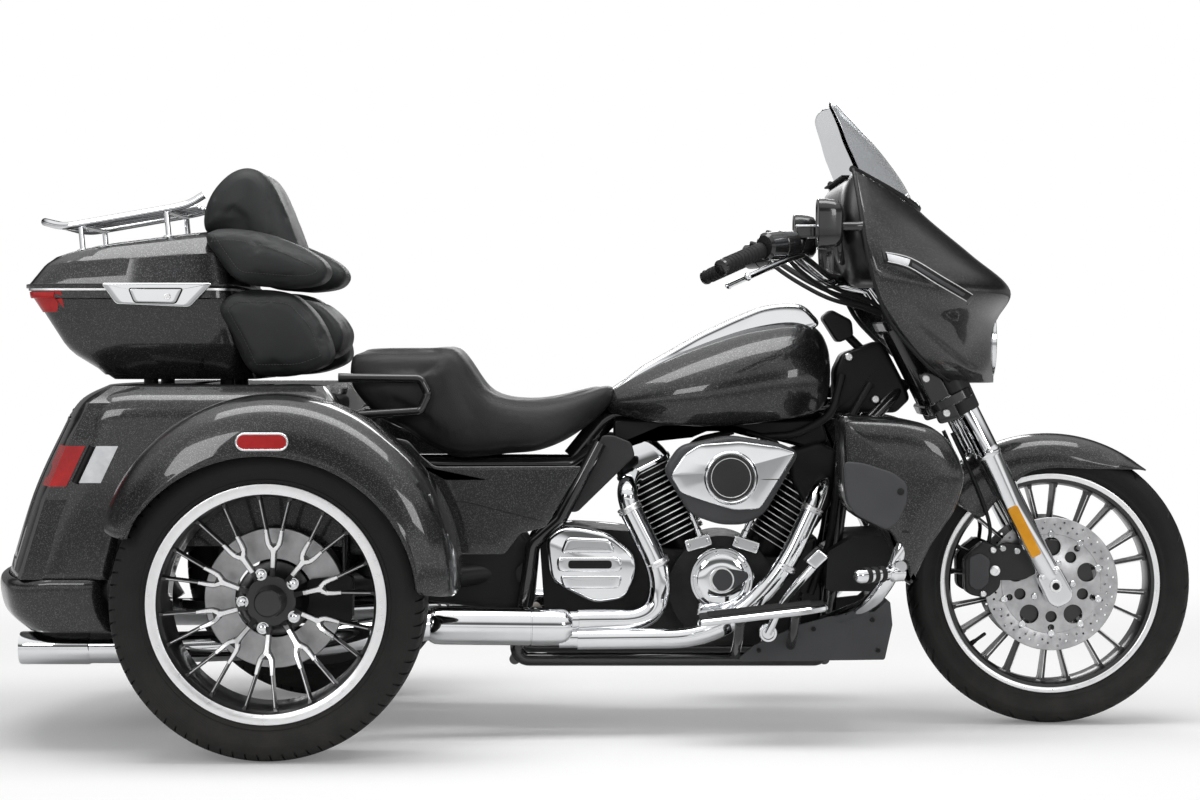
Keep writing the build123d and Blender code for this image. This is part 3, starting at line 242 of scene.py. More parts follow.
# ---------------------------------------------------------------- rear wheels
# Two cast aluminium wheels, 18 inch, black inside with machined bright edges: ten forked spokes run
# inwards from the rim to a deep hub, held by five chrome nuts.  A ground steel disc sits behind.
def piece(name, shape, *finishes, sharp=35.0):
    """An object at the origin around a finished bmesh, smooth but for its sharp edges."""
    mesh = bpy.data.meshes.new(name)
    shape.to_mesh(mesh)
    shape.free()
    for material in finishes:
        mesh.materials.append(material)
    mesh.shade_smooth()
    mesh.set_sharp_from_angle(angle=radians(sharp))
    made = bpy.data.objects.new(name, mesh)
    bpy.context.scene.collection.objects.link(made)
    return made


def closed_up(shape):
    """Welds a bmesh and turns its faces outwards."""
    bmesh.ops.remove_doubles(shape, verts=shape.verts, dist=1e-6)
    bmesh.ops.dissolve_degenerate(shape, dist=1e-7, edges=shape.edges)
    bmesh.ops.recalc_face_normals(shape, faces=shape.faces)
    return shape


def solid(name, rings, *finishes, sharp=35.0):
    """A closed solid over rings of points."""
    shape = bmesh.new()
    rows = [[shape.verts.new(point) for point in ring] for ring in rings]
    for this, following in zip(rows, rows[1:]):
        for i in range(len(this)):
            k = (i + 1) % len(this)
            shape.faces.new((this[i], this[k], following[k], following[i]))
    shape.faces.new(rows[0])
    shape.faces.new(rows[-1])
    return piece(name, closed_up(shape), *finishes, sharp=sharp)


def bake(made):
    """Turns an object's modifiers into plain mesh."""
    shown = made.evaluated_get(bpy.context.evaluated_depsgraph_get())
    mesh = bpy.data.meshes.new_from_object(shown)
    made.modifiers.clear()
    made.data = mesh
    return made


def joined(name, parts):
    """One object out of several, each part keeping its finish."""
    parts = list(parts)
    with bpy.context.temp_override(active_object=parts[0], selected_editable_objects=parts,
            selected_objects=parts):
        bpy.ops.object.join()
    parts[0].name = name
    parts[0].data.name = name
    return parts[0]


def fit(made, body, slot, *stands_for):
    """Fastens a finished piece to its body, in place of the plain pieces it stands for."""
    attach(made, body)
    if stands_for:
        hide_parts(*stands_for)
    return made


def turned(name, profile, centre, material, steps=96, sharp=35.0):
    """A closed profile of (y, radius) turned about the crosswise axis through the centre (x, z)."""
    shape = bmesh.new()
    rings = []
    for step in range(steps):
        angle = 2 * pi * step / steps
        rings.append([shape.verts.new((centre[0] + radius * sin(angle), y, centre[1] + radius * cos(angle)))
            for y, radius in profile])
    count = len(profile)
    for this, following in zip(rings, rings[1:] + rings[:1]):
        for i in range(count):
            k = (i + 1) % count
            if profile[i][1] == 0 and profile[k][1] == 0:
                continue
            shape.faces.new((this[i], this[k], following[k], following[i]))
    return piece(name, closed_up(shape), material, sharp=sharp)


def from_middle(side, base, profile):
    """A profile of (distance past base, radius) on one side of the vehicle, as (y, radius)."""
    return [(side * (base + out), radius) for out, radius in profile]


def geometry_tree(name, inputs):
    """An empty geometry node tree with named inputs; returns the tree, its input and its output."""
    tree = bpy.data.node_groups.new(name, "GeometryNodeTree")
    tree.interface.new_socket("Geometry", in_out="INPUT", socket_type="NodeSocketGeometry")
    for label, kind in inputs.items():
        tree.interface.new_socket(label, in_out="INPUT", socket_type="NodeSocket" + kind)
    tree.interface.new_socket("Geometry", in_out="OUTPUT", socket_type="NodeSocketGeometry")
    return tree, tree.nodes.new("NodeGroupInput"), tree.nodes.new("NodeGroupOutput")


def dress_copies(tree, start, end, copies):
    """Ends a tree whose copies become real and wear the finish that it is called with."""
    real = node(tree, "GeometryNodeRealizeInstances", {0: copies.outputs[0]})
    dressed = node(tree, "GeometryNodeSetMaterial", {"Geometry": real.outputs[0],
        "Material": start.outputs["Finish"]})
    tree.links.new(dressed.outputs[0], end.inputs[0])


def run_tree(made, tree, **values):
    """Runs a geometry tree on an object and keeps the result as plain mesh."""
    modifier = made.modifiers.new(tree.name, "NODES")
    modifier.node_group = tree
    sockets = {item.name: item.identifier for item in tree.interface.items_tree
        if item.item_type == "SOCKET" and item.in_out == "INPUT"}
    for label, value in values.items():
        modifier[sockets[label]] = value
    return bake(made)


# copies of one shape spread evenly round a crosswise axle
round_axle, start, end = geometry_tree("round_axle", {"Count": "Int", "Centre": "Vector", "First": "Float",
    "Finish": "Material"})
back = node(round_axle, "ShaderNodeVectorMath", {0: start.outputs["Centre"], 3: -1.0}, operation="SCALE")
shape_at_axle = node(round_axle, "GeometryNodeTransform", {"Geometry": start.outputs["Geometry"],
    "Translation": back.outputs[0]})
places = node(round_axle, "GeometryNodePoints", {"Count": start.outputs["Count"],
    "Position": start.outputs["Centre"]})
share = node(round_axle, "ShaderNodeMath", {0: node(round_axle, "GeometryNodeInputIndex").outputs[0],
    1: start.outputs["Count"]}, operation="DIVIDE")
turn = node(round_axle, "ShaderNodeMath", {0: share.outputs[0], 1: 2 * pi, 2: start.outputs["First"]},
    operation="MULTIPLY_ADD")
about_y = node(round_axle, "ShaderNodeCombineXYZ", {"Y": turn.outputs[0]})
turned_by = node(round_axle, "FunctionNodeEulerToRotation", {0: about_y.outputs[0]})
copies = node(round_axle, "GeometryNodeInstanceOnPoints", {"Points": places.outputs[0],
    "Instance": shape_at_axle.outputs[0], "Rotation": turned_by.outputs[0]})
dress_copies(round_axle, start, end, copies)


def blade(name, rows, depth, centre, outward, flare=0.0015):
    """A spoke along rows of (across, radius, outwards, width), pointing up from the wheel's centre."""
    rings = []
    for i, (across, radius, out, width) in enumerate(rows):
        before, after = rows[max(i - 1, 0)], rows[min(i + 1, len(rows) - 1)]
        along = Vector((after[0] - before[0], after[1] - before[1])).normalized()
        ring = []
        for half, back in ((-width / 2, 0.0), (width / 2, 0.0), (width / 2 + flare, depth),
                (-width / 2 - flare, depth)):
            ring.append((centre[0] + across + half * along.y, centre[1] + outward * (out - back),
                centre[2] + radius - half * along.x))
        rings.append(ring)
    return solid(name, rings, sharp=30.0)


wheel_black = finish("wheel_black", (0.006, 0.006, 0.007), (0.01, 0.01, 0.011), (0.3, 0.4), relief=0.01,
    coat=0.5, dust_top=0.65, dust_most=0.05)
machined = finish("machined_aluminium", (0.9, 0.9, 0.91), (0.95, 0.95, 0.96), (0.26, 0.36), cloud=60.0,
    grain=2400.0, relief=0.1, metallic=1.0)
chrome = finish("chrome_plate", (0.8, 0.81, 0.83), (0.86, 0.87, 0.88), (0.03, 0.07), cloud=14.0, relief=0.0,
    metallic=1.0)
steel = finish("ground_steel", (0.42, 0.42, 0.43), (0.6, 0.6, 0.61), (0.28, 0.42), cloud=40.0, grain=1500.0,
    relief=0.12, metallic=1.0)

rear_axle_x = -0.684
rear_axle_z = 0.3254
rear_wheel_y = 0.545
rear_spoke_count = 10
nut_circle_r = 0.0585


def rear_wheel(side, name):
    """One rear wheel; distances outwards are from the middle of its rim."""
    centre = (rear_axle_x, side * rear_wheel_y, rear_axle_z)
    axle = (rear_axle_x, rear_axle_z)

    def lathe(label, profile, material, steps=120):
        return turned(label, from_middle(side, rear_wheel_y, profile), axle, material, steps)

    barrel = [(0.0915, 0.2465), (0.088, 0.2265), (0.074, 0.2225), (0.05, 0.218), (-0.06, 0.214),
        (-0.092, 0.226), (-0.092, 0.2475), (-0.08, 0.2475), (-0.078, 0.238), (0.078, 0.238), (0.08, 0.2475)]
    lip = [(0.0925, 0.247), (0.093, 0.245), (0.0915, 0.233), (0.0885, 0.2262), (0.0865, 0.2262),
        (0.085, 0.247)]
    hub = [(0.004, 0.0), (0.004, 0.052), (-0.004, 0.058), (-0.03, 0.066), (-0.058, 0.078), (-0.066, 0.078),
        (-0.066, 0.0)]
    cap = [(0.064, 0.0), (0.064, 0.0255), (0.0615, 0.0285), (0.03, 0.03), (0.002, 0.034), (0.002, 0.0)]
    disc = [(-0.066, 0.083), (-0.066, 0.1465), (-0.0675, 0.148), (-0.0735, 0.148), (-0.074, 0.1465),
        (-0.074, 0.083)]
    parts = [lathe("barrel", barrel, wheel_black), lathe("lip", lip, machined, 160),
        lathe("hub", hub, wheel_black, 64), lathe("cap", cap, wheel_black, 64), lathe("disc", disc, steel)]
    stem = [(0.0, 0.05, 0.006, 0.013), (0.0, 0.07, 0.012, 0.0075), (0.0, 0.1, 0.021, 0.0085),
        (0.0, 0.112, 0.025, 0.014), (0.0, 0.12, 0.028, 0.026)]
    bright_stem = [(x, r, out + 0.0006, width) for x, r, out, width in stem[1:4]]
    for label, rows, depth, material in (("stem", stem, 0.03, wheel_black),
            ("stem_face", bright_stem, 0.002, machined)):
        parts.append(run_tree(blade(label, rows, depth, centre, side), round_axle, Count=rear_spoke_count,
            Centre=centre, First=radians(4.0), Finish=material))
    for way in (-1, 1):
        arm = [(way * 0.004, 0.11, 0.0245, 0.009), (way * 0.0115, 0.121, 0.028, 0.0075),
            (way * 0.014, 0.132, 0.033, 0.0065), (way * 0.0165, 0.15, 0.042, 0.005),
            (way * 0.03, 0.212, 0.07, 0.0048), (way * 0.0345, 0.224, 0.075, 0.01)]
        face = [(x, r, out + 0.0006, width) for x, r, out, width in arm[:5]]
        line = [(x, r, out + 0.0006, width * 0.36) for x, r, out, width in arm[3:5]]
        for label, rows, depth, material in (("arm", arm, 0.026, wheel_black),
                ("arm_face", face[:4], 0.002, machined), ("arm_line", line, 0.002, steel)):
            parts.append(run_tree(blade(label, rows, depth, centre, side), round_axle,
                Count=rear_spoke_count, Centre=centre, First=radians(4.0), Finish=material))
    nut_at = (rear_axle_x, rear_axle_z + nut_circle_r)
    for label, profile, material in (("nut", [(0.022, 0.0), (0.022, 0.0035), (0.0195, 0.0075),
            (0.004, 0.0085), (0.004, 0.0)], chrome), ("nut_seat",
            [(0.007, 0.0086), (0.007, 0.0125), (0.0035, 0.0138), (0.003, 0.0)], chrome)):
        nut = turned(label, from_middle(side, rear_wheel_y, profile), nut_at, material, 24)
        parts.append(run_tree(nut, round_axle, Count=5, Centre=centre, First=radians(-20.0),
            Finish=material))
    fit(joined(f"rear_wheel_{name}_cast", parts), f"rear_wheel_{name}", "wheel_black", f"rear_wheel_{name}")


for side, name in ((-1, "right"), (1, "left")):
    rear_wheel(side, name)

# ---------------------------------------------------------------- rear tyres
# Low tubeless car-like tyres, moulded in black rubber: plain sidewalls with raised rings, and a flat tread
# cut by straight grooves round it and by shorter slots across its shoulders.
def rubber(name, axle, bands):
    """Black rubber whose sidewall carries fine moulded rings about the axle (x, z)."""
    material = finish(name, (0.007, 0.007, 0.007), (0.011, 0.011, 0.011), (0.55, 0.72), cloud=16.0,
        grain=900.0, relief=0.25, dust_top=0.5, dust_most=0.12, shine=0.25)
    tree = material.node_tree
    shader = tree.nodes["Principled BSDF"]
    place = node(tree, "ShaderNodeMapping", {"Vector": node(tree, "ShaderNodeTexCoord").outputs["Object"],
        "Location": (-axle[0], 0, -axle[1]), "Scale": (1, 0, 1)})
    away = node(tree, "ShaderNodeVectorMath", {0: place.outputs[0]}, operation="LENGTH")
    wave = node(tree, "ShaderNodeMath", {0: node(tree, "ShaderNodeMath",
        {0: away.outputs["Value"], 1: bands}, operation="MULTIPLY").outputs[0]}, operation="SINE")
    rings = node(tree, "ShaderNodeMapRange", {0: wave.outputs[0], 1: 0.6, 2: 1.0})
    bump = node(tree, "ShaderNodeBump", {"Strength": 0.35, "Distance": 0.0006, "Height": rings.outputs[0],
        "Normal": shader.inputs["Normal"].links[0].from_socket})
    tree.links.new(bump.outputs[0], shader.inputs["Normal"])
    return material


def through(points, steps):
    """A smooth line through the points, each stretch cut into equal steps."""
    line = []
    for i in range(len(points) - 1):
        a, b = points[max(i - 1, 0)], points[i]
        c, d = points[i + 1], points[min(i + 2, len(points) - 1)]
        for step in range(steps):
            t = step / steps
            line.append(tuple(0.5 * (2 * q + (r - p) * t + (2 * p - 5 * q + 4 * r - s) * t * t
                + (3 * q - p - 3 * r + s) * t ** 3) for p, q, r, s in zip(a, b, c, d)))
    return line + [tuple(points[-1])]


def tyre(name, centre, rim_r, outer_r, half, contour, slots, pitches, skew, slot_depth, rounds, material,
        body, node_name):
    """A tyre: a contour of (share of half width, share of height), cut by slots and by grooves round it.

    Slots are (start in the pitch, width in the pitch, from share, to share); rounds are (share, half width).
    """
    bead_y = half * (contour[0][0] - 0.04)
    bead = [(bead_y, rim_r - 0.008), (bead_y, rim_r)]
    side_line = [(half * wide, rim_r + (outer_r - rim_r) * high) for wide, high in through(contour, 6)]
    crown = []
    for i in range(len(side_line) - 1):
        crown.append(side_line[i])
        low_y, high_y = sorted((side_line[i][0], side_line[i + 1][0]))
        cuts = sorted((half * share + edge * (groove + lip) for share,
            groove in rounds for edge in (-1, 1) for lip in (0.0, 0.0012)), reverse=True)
        for cut in cuts:
            if low_y < cut < high_y and side_line[i][1] > rim_r + (outer_r - rim_r) * 0.85:
                t = (cut - side_line[i][0]) / (side_line[i + 1][0] - side_line[i][0])
                crown.append((cut, side_line[i][1] + t * (side_line[i + 1][1] - side_line[i][1])))
    crown.append(side_line[-1])
    rows = bead + crown + [(-y, r) for y, r in reversed(crown[:-1])] + [(-y, r) for y, r in reversed(bead)]
    lip = 0.012
    stops = sorted({0.0, *(value for start, width, low, high in slots for value in (start, start + lip,
        start + width - lip, start + width))})
    stops = [s for s in stops if s < 1.0]
    shape = bmesh.new()
    rings = []
    for pitch in range(pitches):
        for stop in stops:
            ring = []
            for y, radius in rows:
                share = abs(y) / half
                side_shift = 0.5 if y > 0 else 0.0
                angle = 2 * pi * (pitch + stop + side_shift * min(share * 4,
                    1.0)) / pitches + skew * share ** 2
                cut = 0.0
                if radius > rim_r + (outer_r - rim_r) * 0.62:
                    for begin, width, low, high in slots:
                        if begin + lip * 0.5 < stop < begin + width - lip * 0.5 and low < share < high:
                            cut = slot_depth
                    for at, groove in rounds:
                        if abs(abs(y) - half * at) < groove + 0.0004:
                            cut = max(cut, slot_depth * 1.2)
                radius -= cut
                ring.append(shape.verts.new((centre[0] + radius * sin(angle), centre[1] + y,
                    centre[2] + radius * cos(angle))))
            rings.append(ring)
    count = len(rows)
    for this, following in zip(rings, rings[1:] + rings[:1]):
        for i in range(count):
            k = (i + 1) % count
            shape.faces.new((this[i], this[k], following[k], following[i]))
    bmesh.ops.recalc_face_normals(shape, faces=shape.faces)
    fit(piece(name, shape, material, sharp=40.0), body, "tyre", node_name)


rear_tyre_r = 0.3254
rear_rim_r = 0.248
rear_tyre_half = 0.1075
rear_contour = [(0.84, 0.0), (0.915, 0.1), (0.905, 0.15), (0.965, 0.32), (1.0, 0.52), (0.985, 0.7),
    (0.94, 0.84), (0.865, 0.93), (0.7, 0.975), (0.35, 0.994), (0.0, 1.0)]
rear_slots = ((0.0, 0.16, 0.6, 0.97), (0.5, 0.1, 0.3, 0.5))
rear_rubber = rubber("rear_rubber", (rear_axle_x, rear_axle_z), 1400.0)
for side, name in ((-1, "right"), (1, "left")):
    tyre(f"rear_tyre_{name}_moulded", (rear_axle_x, side * rear_wheel_y, rear_axle_z), rear_rim_r,
        rear_tyre_r, rear_tyre_half, rear_contour, rear_slots, 76, 0.05, 0.0055,
        ((0.2, 0.0035), (0.555, 0.0035)), rear_rubber, f"rear_wheel_{name}", f"rear_tyre_{name}")

# ---------------------------------------------------------------- rear body
# A moulded shell over the axle, narrower at the top and bowed at the tail, in charcoal metallic paint
# with fine flakes under a clear coat.  Its hatch hangs from the top edge of the tail opening.
flakes = bpy.data.node_groups.new("metal_flakes", "ShaderNodeTree")
flakes.interface.new_socket("Size", in_out="INPUT", socket_type="NodeSocketFloat").default_value = 900.0
flakes.interface.new_socket("Sparkle", in_out="OUTPUT", socket_type="NodeSocketFloat")
start, end = flakes.nodes.new("NodeGroupInput"), flakes.nodes.new("NodeGroupOutput")
cells = node(flakes, "ShaderNodeTexVoronoi", {"Vector": node(flakes,
    "ShaderNodeTexCoord").outputs["Object"], "Scale": start.outputs["Size"]})
chance = node(flakes, "ShaderNodeSeparateColor", {0: cells.outputs["Color"]})
fill_group(flakes, end, {"Sparkle": node(flakes, "ShaderNodeMapRange",
    {0: chance.outputs[0], 1: 0.8, 2: 1.0}).outputs[0]})


def metallic_paint(name, dark, light, spark, roughness):
    """Clear-coated paint with metal flakes."""
    material = finish(name, dark, light, roughness, cloud=5.0, grain=320.0, relief=0.012, metallic=0.55,
        coat=0.9)
    tree = material.node_tree
    shader = tree.nodes["Principled BSDF"]
    glitter = node(tree, "ShaderNodeGroup", node_tree=flakes)
    colour = node(tree, "ShaderNodeMix", {0: glitter.outputs[0],
        6: shader.inputs["Base Color"].links[0].from_socket, 7: (*spark, 1)}, data_type="RGBA")
    tree.links.new(colour.outputs[2], shader.inputs["Base Color"])
    return material


charcoal = metallic_paint("charcoal_metallic", (0.009, 0.009, 0.01), (0.013, 0.013, 0.014),
    (0.13, 0.13, 0.135), (0.3, 0.36))
satin_grey = finish("satin_grey", (0.056, 0.057, 0.06), (0.07, 0.071, 0.075), (0.42, 0.5), relief=0.03,
    shine=0.3)


def shell(name, rings, material, thickness=0.0, wrap=True, floor_cap=False, roof_cap=False, open_at=None,
        sharp=40.0):
    """A skin over rings of points, left open where open_at says so, and thickened inwards."""
    shape = bmesh.new()
    rows = [[shape.verts.new(point) for point in ring] for ring in rings]
    count = len(rows[0])
    for this, following in zip(rows, rows[1:]):
        for i in range(count if wrap else count - 1):
            k = (i + 1) % count
            corners = (this[i], this[k], following[k], following[i])
            middle = sum((corner.co for corner in corners), Vector()) / 4
            if open_at and open_at(middle):
                continue
            shape.faces.new(corners)
    if floor_cap:
        shape.faces.new(rows[0])
    if roof_cap:
        shape.faces.new(rows[-1])
    closed_up(shape)
    made = piece(name, shape, material, sharp=sharp)
    if thickness:
        wall = made.modifiers.new("wall", "SOLIDIFY")
        wall.thickness = thickness
        wall.offset = -1.0
        bake(made)
    return made


def corner_curve(first, corner, last, steps):
    """A rounded corner, from first to last, as a list of points."""
    return [tuple(a * (1 - t) ** 2 + 2 * b * t * (1 - t) + c * t * t for a, b,
        c in zip(first, corner, last)) for t in (step / steps for step in range(steps + 1))]


def tail_ring(z, corner, bulge, front, half, proud=0.0):
    """A level outline of the rear body: bowed tail, rounded corners, straight sides."""
    corner, front, half = corner - proud, front + proud, half + proud
    split = 0.365
    bow = [(corner - bulge * (1 - (y / half) ** 2), y) for y in [split * i / 7 for i in range(8)]
        + [split + (half - 0.055 - split) * i / 3 for i in (1, 2)]]
    start_y = half - 0.055
    rear = corner_curve((corner - bulge * (1 - (start_y / half) ** 2), start_y), (corner, half - 0.002),
        (corner + 0.07, half), 6)
    side = [(corner + 0.07 + (front - 0.04 - corner - 0.07) * i / 24, half) for i in range(1, 24)]
    fore = corner_curve((front - 0.04, half), (front, half), (front, half - 0.04), 4)
    around = bow + rear + side + fore + [(front, (half - 0.04) * i / 5) for i in (4, 3, 2, 1, 0)]
    return [(x, y, z) for x, y in around] + [(x, -y, z) for x, y in reversed(around[1:-1])]


# height, tail corner x, tail bulge, front x, half width
body_levels = ((0.364, -1.217, 0.095, -0.545, 0.485), (0.532, -1.165, 0.095, -0.545, 0.485),
    (0.658, -1.112, 0.09, -0.545, 0.48), (0.735, -1.075, 0.08, -0.56, 0.47),
    (0.77, -1.03, 0.06, -0.59, 0.425))
hatch_low, hatch_high, hatch_half = 0.402, 0.7, 0.36
skin_proud = 0.002
body_rows = through(body_levels, 8)
body_rows += [(0.772, -0.99, 0.05, -0.62, 0.37), (0.7725, -0.9, 0.03, -0.66, 0.2)]
for edge in (hatch_low - 0.004, hatch_high + 0.004):
    nearest = min(range(len(body_rows)), key=lambda i: abs(body_rows[i][0] - edge))
    body_rows[nearest] = (edge, *body_rows[nearest][1:])


def hatch_or_wheel(middle):
    """True inside the tail opening and round the rear wheels."""
    in_tail = middle.x < -1.0 and hatch_low - 0.004 < middle.z < hatch_high + 0.004 and abs(
        middle.y) < 0.365
    near_wheel = abs(middle.y) > 0.44 and hypot(middle.x - rear_axle_x, middle.z - rear_axle_z) < 0.352
    return in_tail or near_wheel


fit(shell("rear_body_skin", [tail_ring(*row, proud=skin_proud) for row in body_rows], charcoal, 0.0018,
    roof_cap=True, open_at=hatch_or_wheel), "chassis", "charcoal_paint")
coat_node(charcoal, "rear_body", "trunk_hatch")

hatch_rows = []
for row in body_rows:
    if hatch_low - 0.001 < row[0] < hatch_high + 0.001:
        corner, bulge, half = row[1] - skin_proud, row[2], row[4] + skin_proud
        hatch_rows.append([(corner - bulge * (1 - (y / half) ** 2), y,
            row[0]) for y in (hatch_half * i / 12 for i in range(-12, 13))])
for end_z, ring in ((hatch_low, hatch_rows[0]), (hatch_high, hatch_rows[-1])):
    slope = (hatch_rows[1][0][0] - hatch_rows[0][0][0]) / (hatch_rows[1][0][2] - hatch_rows[0][0][2])
    hatch_rows.append([(x + slope * (end_z - z), y, end_z) for x, y, z in ring])
hatch_rows.sort(key=lambda ring: ring[0][2])
fit(shell("trunk_hatch_skin", hatch_rows, charcoal, 0.0018, wrap=False), "trunk_hatch", "charcoal_paint")

# height, tail corner x, front x, half width
bumper_levels = ((0.252, -1.186, -1.01, 0.48), (0.285, -1.222, -1.03, 0.488), (0.322, -1.234, -1.04, 0.492),
    (0.353, -1.234, -1.04, 0.492), (0.3635, -1.219, -1.04, 0.487))
fit(shell("rear_bumper_shell", [tail_ring(z, corner, 0.1, front, half) for z, corner, front,
    half in through(bumper_levels, 5)], charcoal, 0.006), "chassis", "charcoal_paint", "rear_bumper")

# ---------------------------------------------------------------- rear fenders
# Each is one pressed shell that rises from the body over the wheel, rolled down outside it to a hemmed
# arch edge, and painted with the body.
fender_x, fender_z = -0.677, 0.3924
fender_r = 0.364
arch_r = 0.3065
fender_steps = 56


def softened(made, levels=1):
    """Rounds a piece's faces by subdividing them."""
    soft = made.modifiers.new("soft", "SUBSURF")
    soft.levels = soft.render_levels = levels
    return bake(made)


def fender_ring(side, angle):
    """The fender's section at an angle forward of the top, outside and then back inside."""
    spread = min(max((angle - 35) / 63, 0.0), 1.0)
    top = fender_r + 0.024 * spread * spread * (3 - 2 * spread)
    a = radians(angle)
    arch_x = rear_axle_x + arch_r * sin(a)
    arch_z = rear_axle_z + arch_r * cos(a)
    arch = (arch_x - fender_x) * sin(a) + (arch_z - fender_z) * cos(a)
    section = [(0.43, top), (0.52, top), (0.59, top - 0.001), (0.63, top - 0.007), (0.66, top - 0.022),
        (0.68, top - 0.046), (0.6895, top - 0.078), (0.6925, (top - 0.078 + arch) / 2),
        (0.6945, arch + 0.01), (0.695, arch), (0.69, arch - 0.002), (0.687, arch + 0.008),
        (0.6855, top - 0.08), (0.674, top - 0.048), (0.654, top - 0.027), (0.626, top - 0.013),
        (0.588, top - 0.006), (0.52, top - 0.005), (0.43, top - 0.005)]
    return [(fender_x + r * sin(a), side * y, fender_z + r * cos(a)) for y, r in section]


for side, name in ((-1, "right"), (1, "left")):
    turns = [-77.5 + 176.0 * step / fender_steps for step in range(fender_steps + 1)]
    fender = shell(f"rear_fender_{name}", [fender_ring(side, turn) for turn in turns], charcoal,
        floor_cap=True, roof_cap=True, sharp=60.0)
    fit(softened(fender), "chassis", "charcoal_paint", *(("rear_fenders",) if side < 0 else ()))

# ---------------------------------------------------------------- tour pack
# A painted top box on short posts: a tub whose lower part tucks in, and a lid with a sloping roof that is
# hinged at the rider's left.  A bright seal runs round the seam.
def box_ring(z, rear, front, half, corner):
    """A level outline with rounded corners; z may depend on x."""
    height = z if callable(z) else (lambda x: z)
    around = [(rear, (half - corner) * i / 4) for i in range(4)]
    around += corner_curve((rear, half - corner), (rear, half), (rear + corner, half), 6)
    span = front - corner - (rear + corner)
    around += [(rear + corner + span * i / 12, half) for i in range(1, 12)]
    around += corner_curve((front - corner, half), (front, half), (front, half - corner), 6)
    around += [(front, (half - corner) * i / 4) for i in (3, 2, 1, 0)]
    return [(x, y, height(x)) for x, y in around] + [(x, -y, height(x)) for x, y in reversed(around[1:-1])]


pack_levels = ((0.782, -1.07, -0.757, 0.225, 0.05), (0.802, -1.098, -0.763, 0.243, 0.055),
    (0.835, -1.147, -0.773, 0.268, 0.055), (0.848, -1.16, -0.775, 0.275, 0.05),
    (0.862, -1.17, -0.777, 0.28, 0.045), (0.956, -1.228, -0.796, 0.2965, 0.05),
    (0.959, -1.236, -0.798, 0.3005, 0.055), (0.9745, -1.24, -0.8, 0.3005, 0.06))
tub_rings = [box_ring(*level) for level in pack_levels]
inside = [box_ring(z, rear + 0.009, front - 0.009, half - 0.009, corner - 0.006) for z, rear, front, half,
    corner in (pack_levels[-1], pack_levels[4], (0.792, *pack_levels[1][1:]))]
tub = shell("tour_pack_tub", tub_rings + inside, charcoal, floor_cap=True, roof_cap=True, sharp=24.0)
fit(tub, "chassis", "charcoal_paint", "tour_pack_base")

roof_line = ((-1.27, 1.02), (-1.188, 1.056), (-1.123, 1.071), (-1.08, 1.08), (-0.7, 1.128))


def roof(x):
    """Height of the lid's roof at x."""
    for (x0, z0), (x1, z1) in zip(roof_line, roof_line[1:]):
        if x <= x1:
            return z0 + (z1 - z0) * (x - x0) / (x1 - x0)
    return roof_line[-1][1]


def lid_edge(x):
    """Height of the edge between the lid's side and its roof."""
    return 1.038 + 0.075 * (x + 1.164)


lid_rings = [box_ring(0.9805, -1.25, -0.797, 0.304, 0.062), box_ring(0.9885, -1.25, -0.797, 0.304, 0.062),
    box_ring(0.99, -1.243, -0.8, 0.3, 0.06), box_ring(lambda x: lid_edge(x) - 0.006, -1.214, -0.808, 0.2925,
    0.066), box_ring(lid_edge, -1.208, -0.812, 0.289, 0.068), box_ring(lambda x: 0.35 * lid_edge(x) + 0.65
    * roof(x), -1.196, -0.826, 0.262, 0.07), box_ring(lambda x: 0.08 * lid_edge(x) + 0.92 * roof(x), -1.18,
    -0.838, 0.228, 0.075), box_ring(roof, -1.15, -0.852, 0.19, 0.08),
    box_ring(roof, -1.08, -0.9, 0.1, 0.06)]
lid = shell("tour_pack_lid_shell", lid_rings, charcoal, 0.004, roof_cap=True, sharp=22.0)
fit(lid, "tour_pack_lid", "charcoal_paint", "tour_pack_lid")
seal = shell("tour_pack_seal", [box_ring(0.975, -1.2405, -0.801, 0.301, 0.06),
    box_ring(0.9752, -1.245, -0.799, 0.3028, 0.061), box_ring(0.9798, -1.245, -0.799, 0.3028, 0.061),
    box_ring(0.98, -1.232, -0.806, 0.294, 0.056), box_ring(0.975, -1.232, -0.806, 0.294, 0.056)], machined,
    sharp=30.0)
fit(seal, "chassis", "chrome")

# ---------------------------------------------------------------- seat
# A two-up saddle of moulded foam on a pan, covered in black grained leather.  The passenger's part is raised,
# the rider's part is dished, and a row of stitches follows the upper edge.
hide, start, end = shader_group("leather_grain", {"Size": 700.0, "Fold": 26.0}, ("Height", "Tone"))
place = node(hide, "ShaderNodeTexCoord").outputs["Object"]
pebbles = node(hide, "ShaderNodeTexVoronoi", {"Vector": place, "Scale": start.outputs["Size"]},
    feature="SMOOTH_F1")
folds = node(hide, "ShaderNodeTexNoise", {"Vector": place, "Scale": start.outputs["Fold"], "Detail": 4.0,
    "Distortion": 0.6})
both = node(hide, "ShaderNodeMath", {0: folds.outputs[0], 1: 1.6, 2: pebbles.outputs["Distance"]},
    operation="MULTIPLY_ADD")
fill_group(hide, end, {"Height": both.outputs[0], "Tone": folds.outputs[0]})


def leather(name, dark, light, roughness, size, strength):
    """Grained hide: pebbles and soft folds in its relief, and a sheen that varies with its cloudy tone."""
    material = finish(name, dark, light, roughness, cloud=12.0, relief=0.0, shine=0.3)
    tree = material.node_tree
    skin = node(tree, "ShaderNodeGroup", node_tree=hide)
    skin.inputs["Size"].default_value = size
    bump = node(tree, "ShaderNodeBump", {"Strength": strength, "Distance": 0.0008,
        "Height": skin.outputs["Height"]})
    tree.links.new(bump.outputs[0], tree.nodes["Principled BSDF"].inputs["Normal"])
    return material


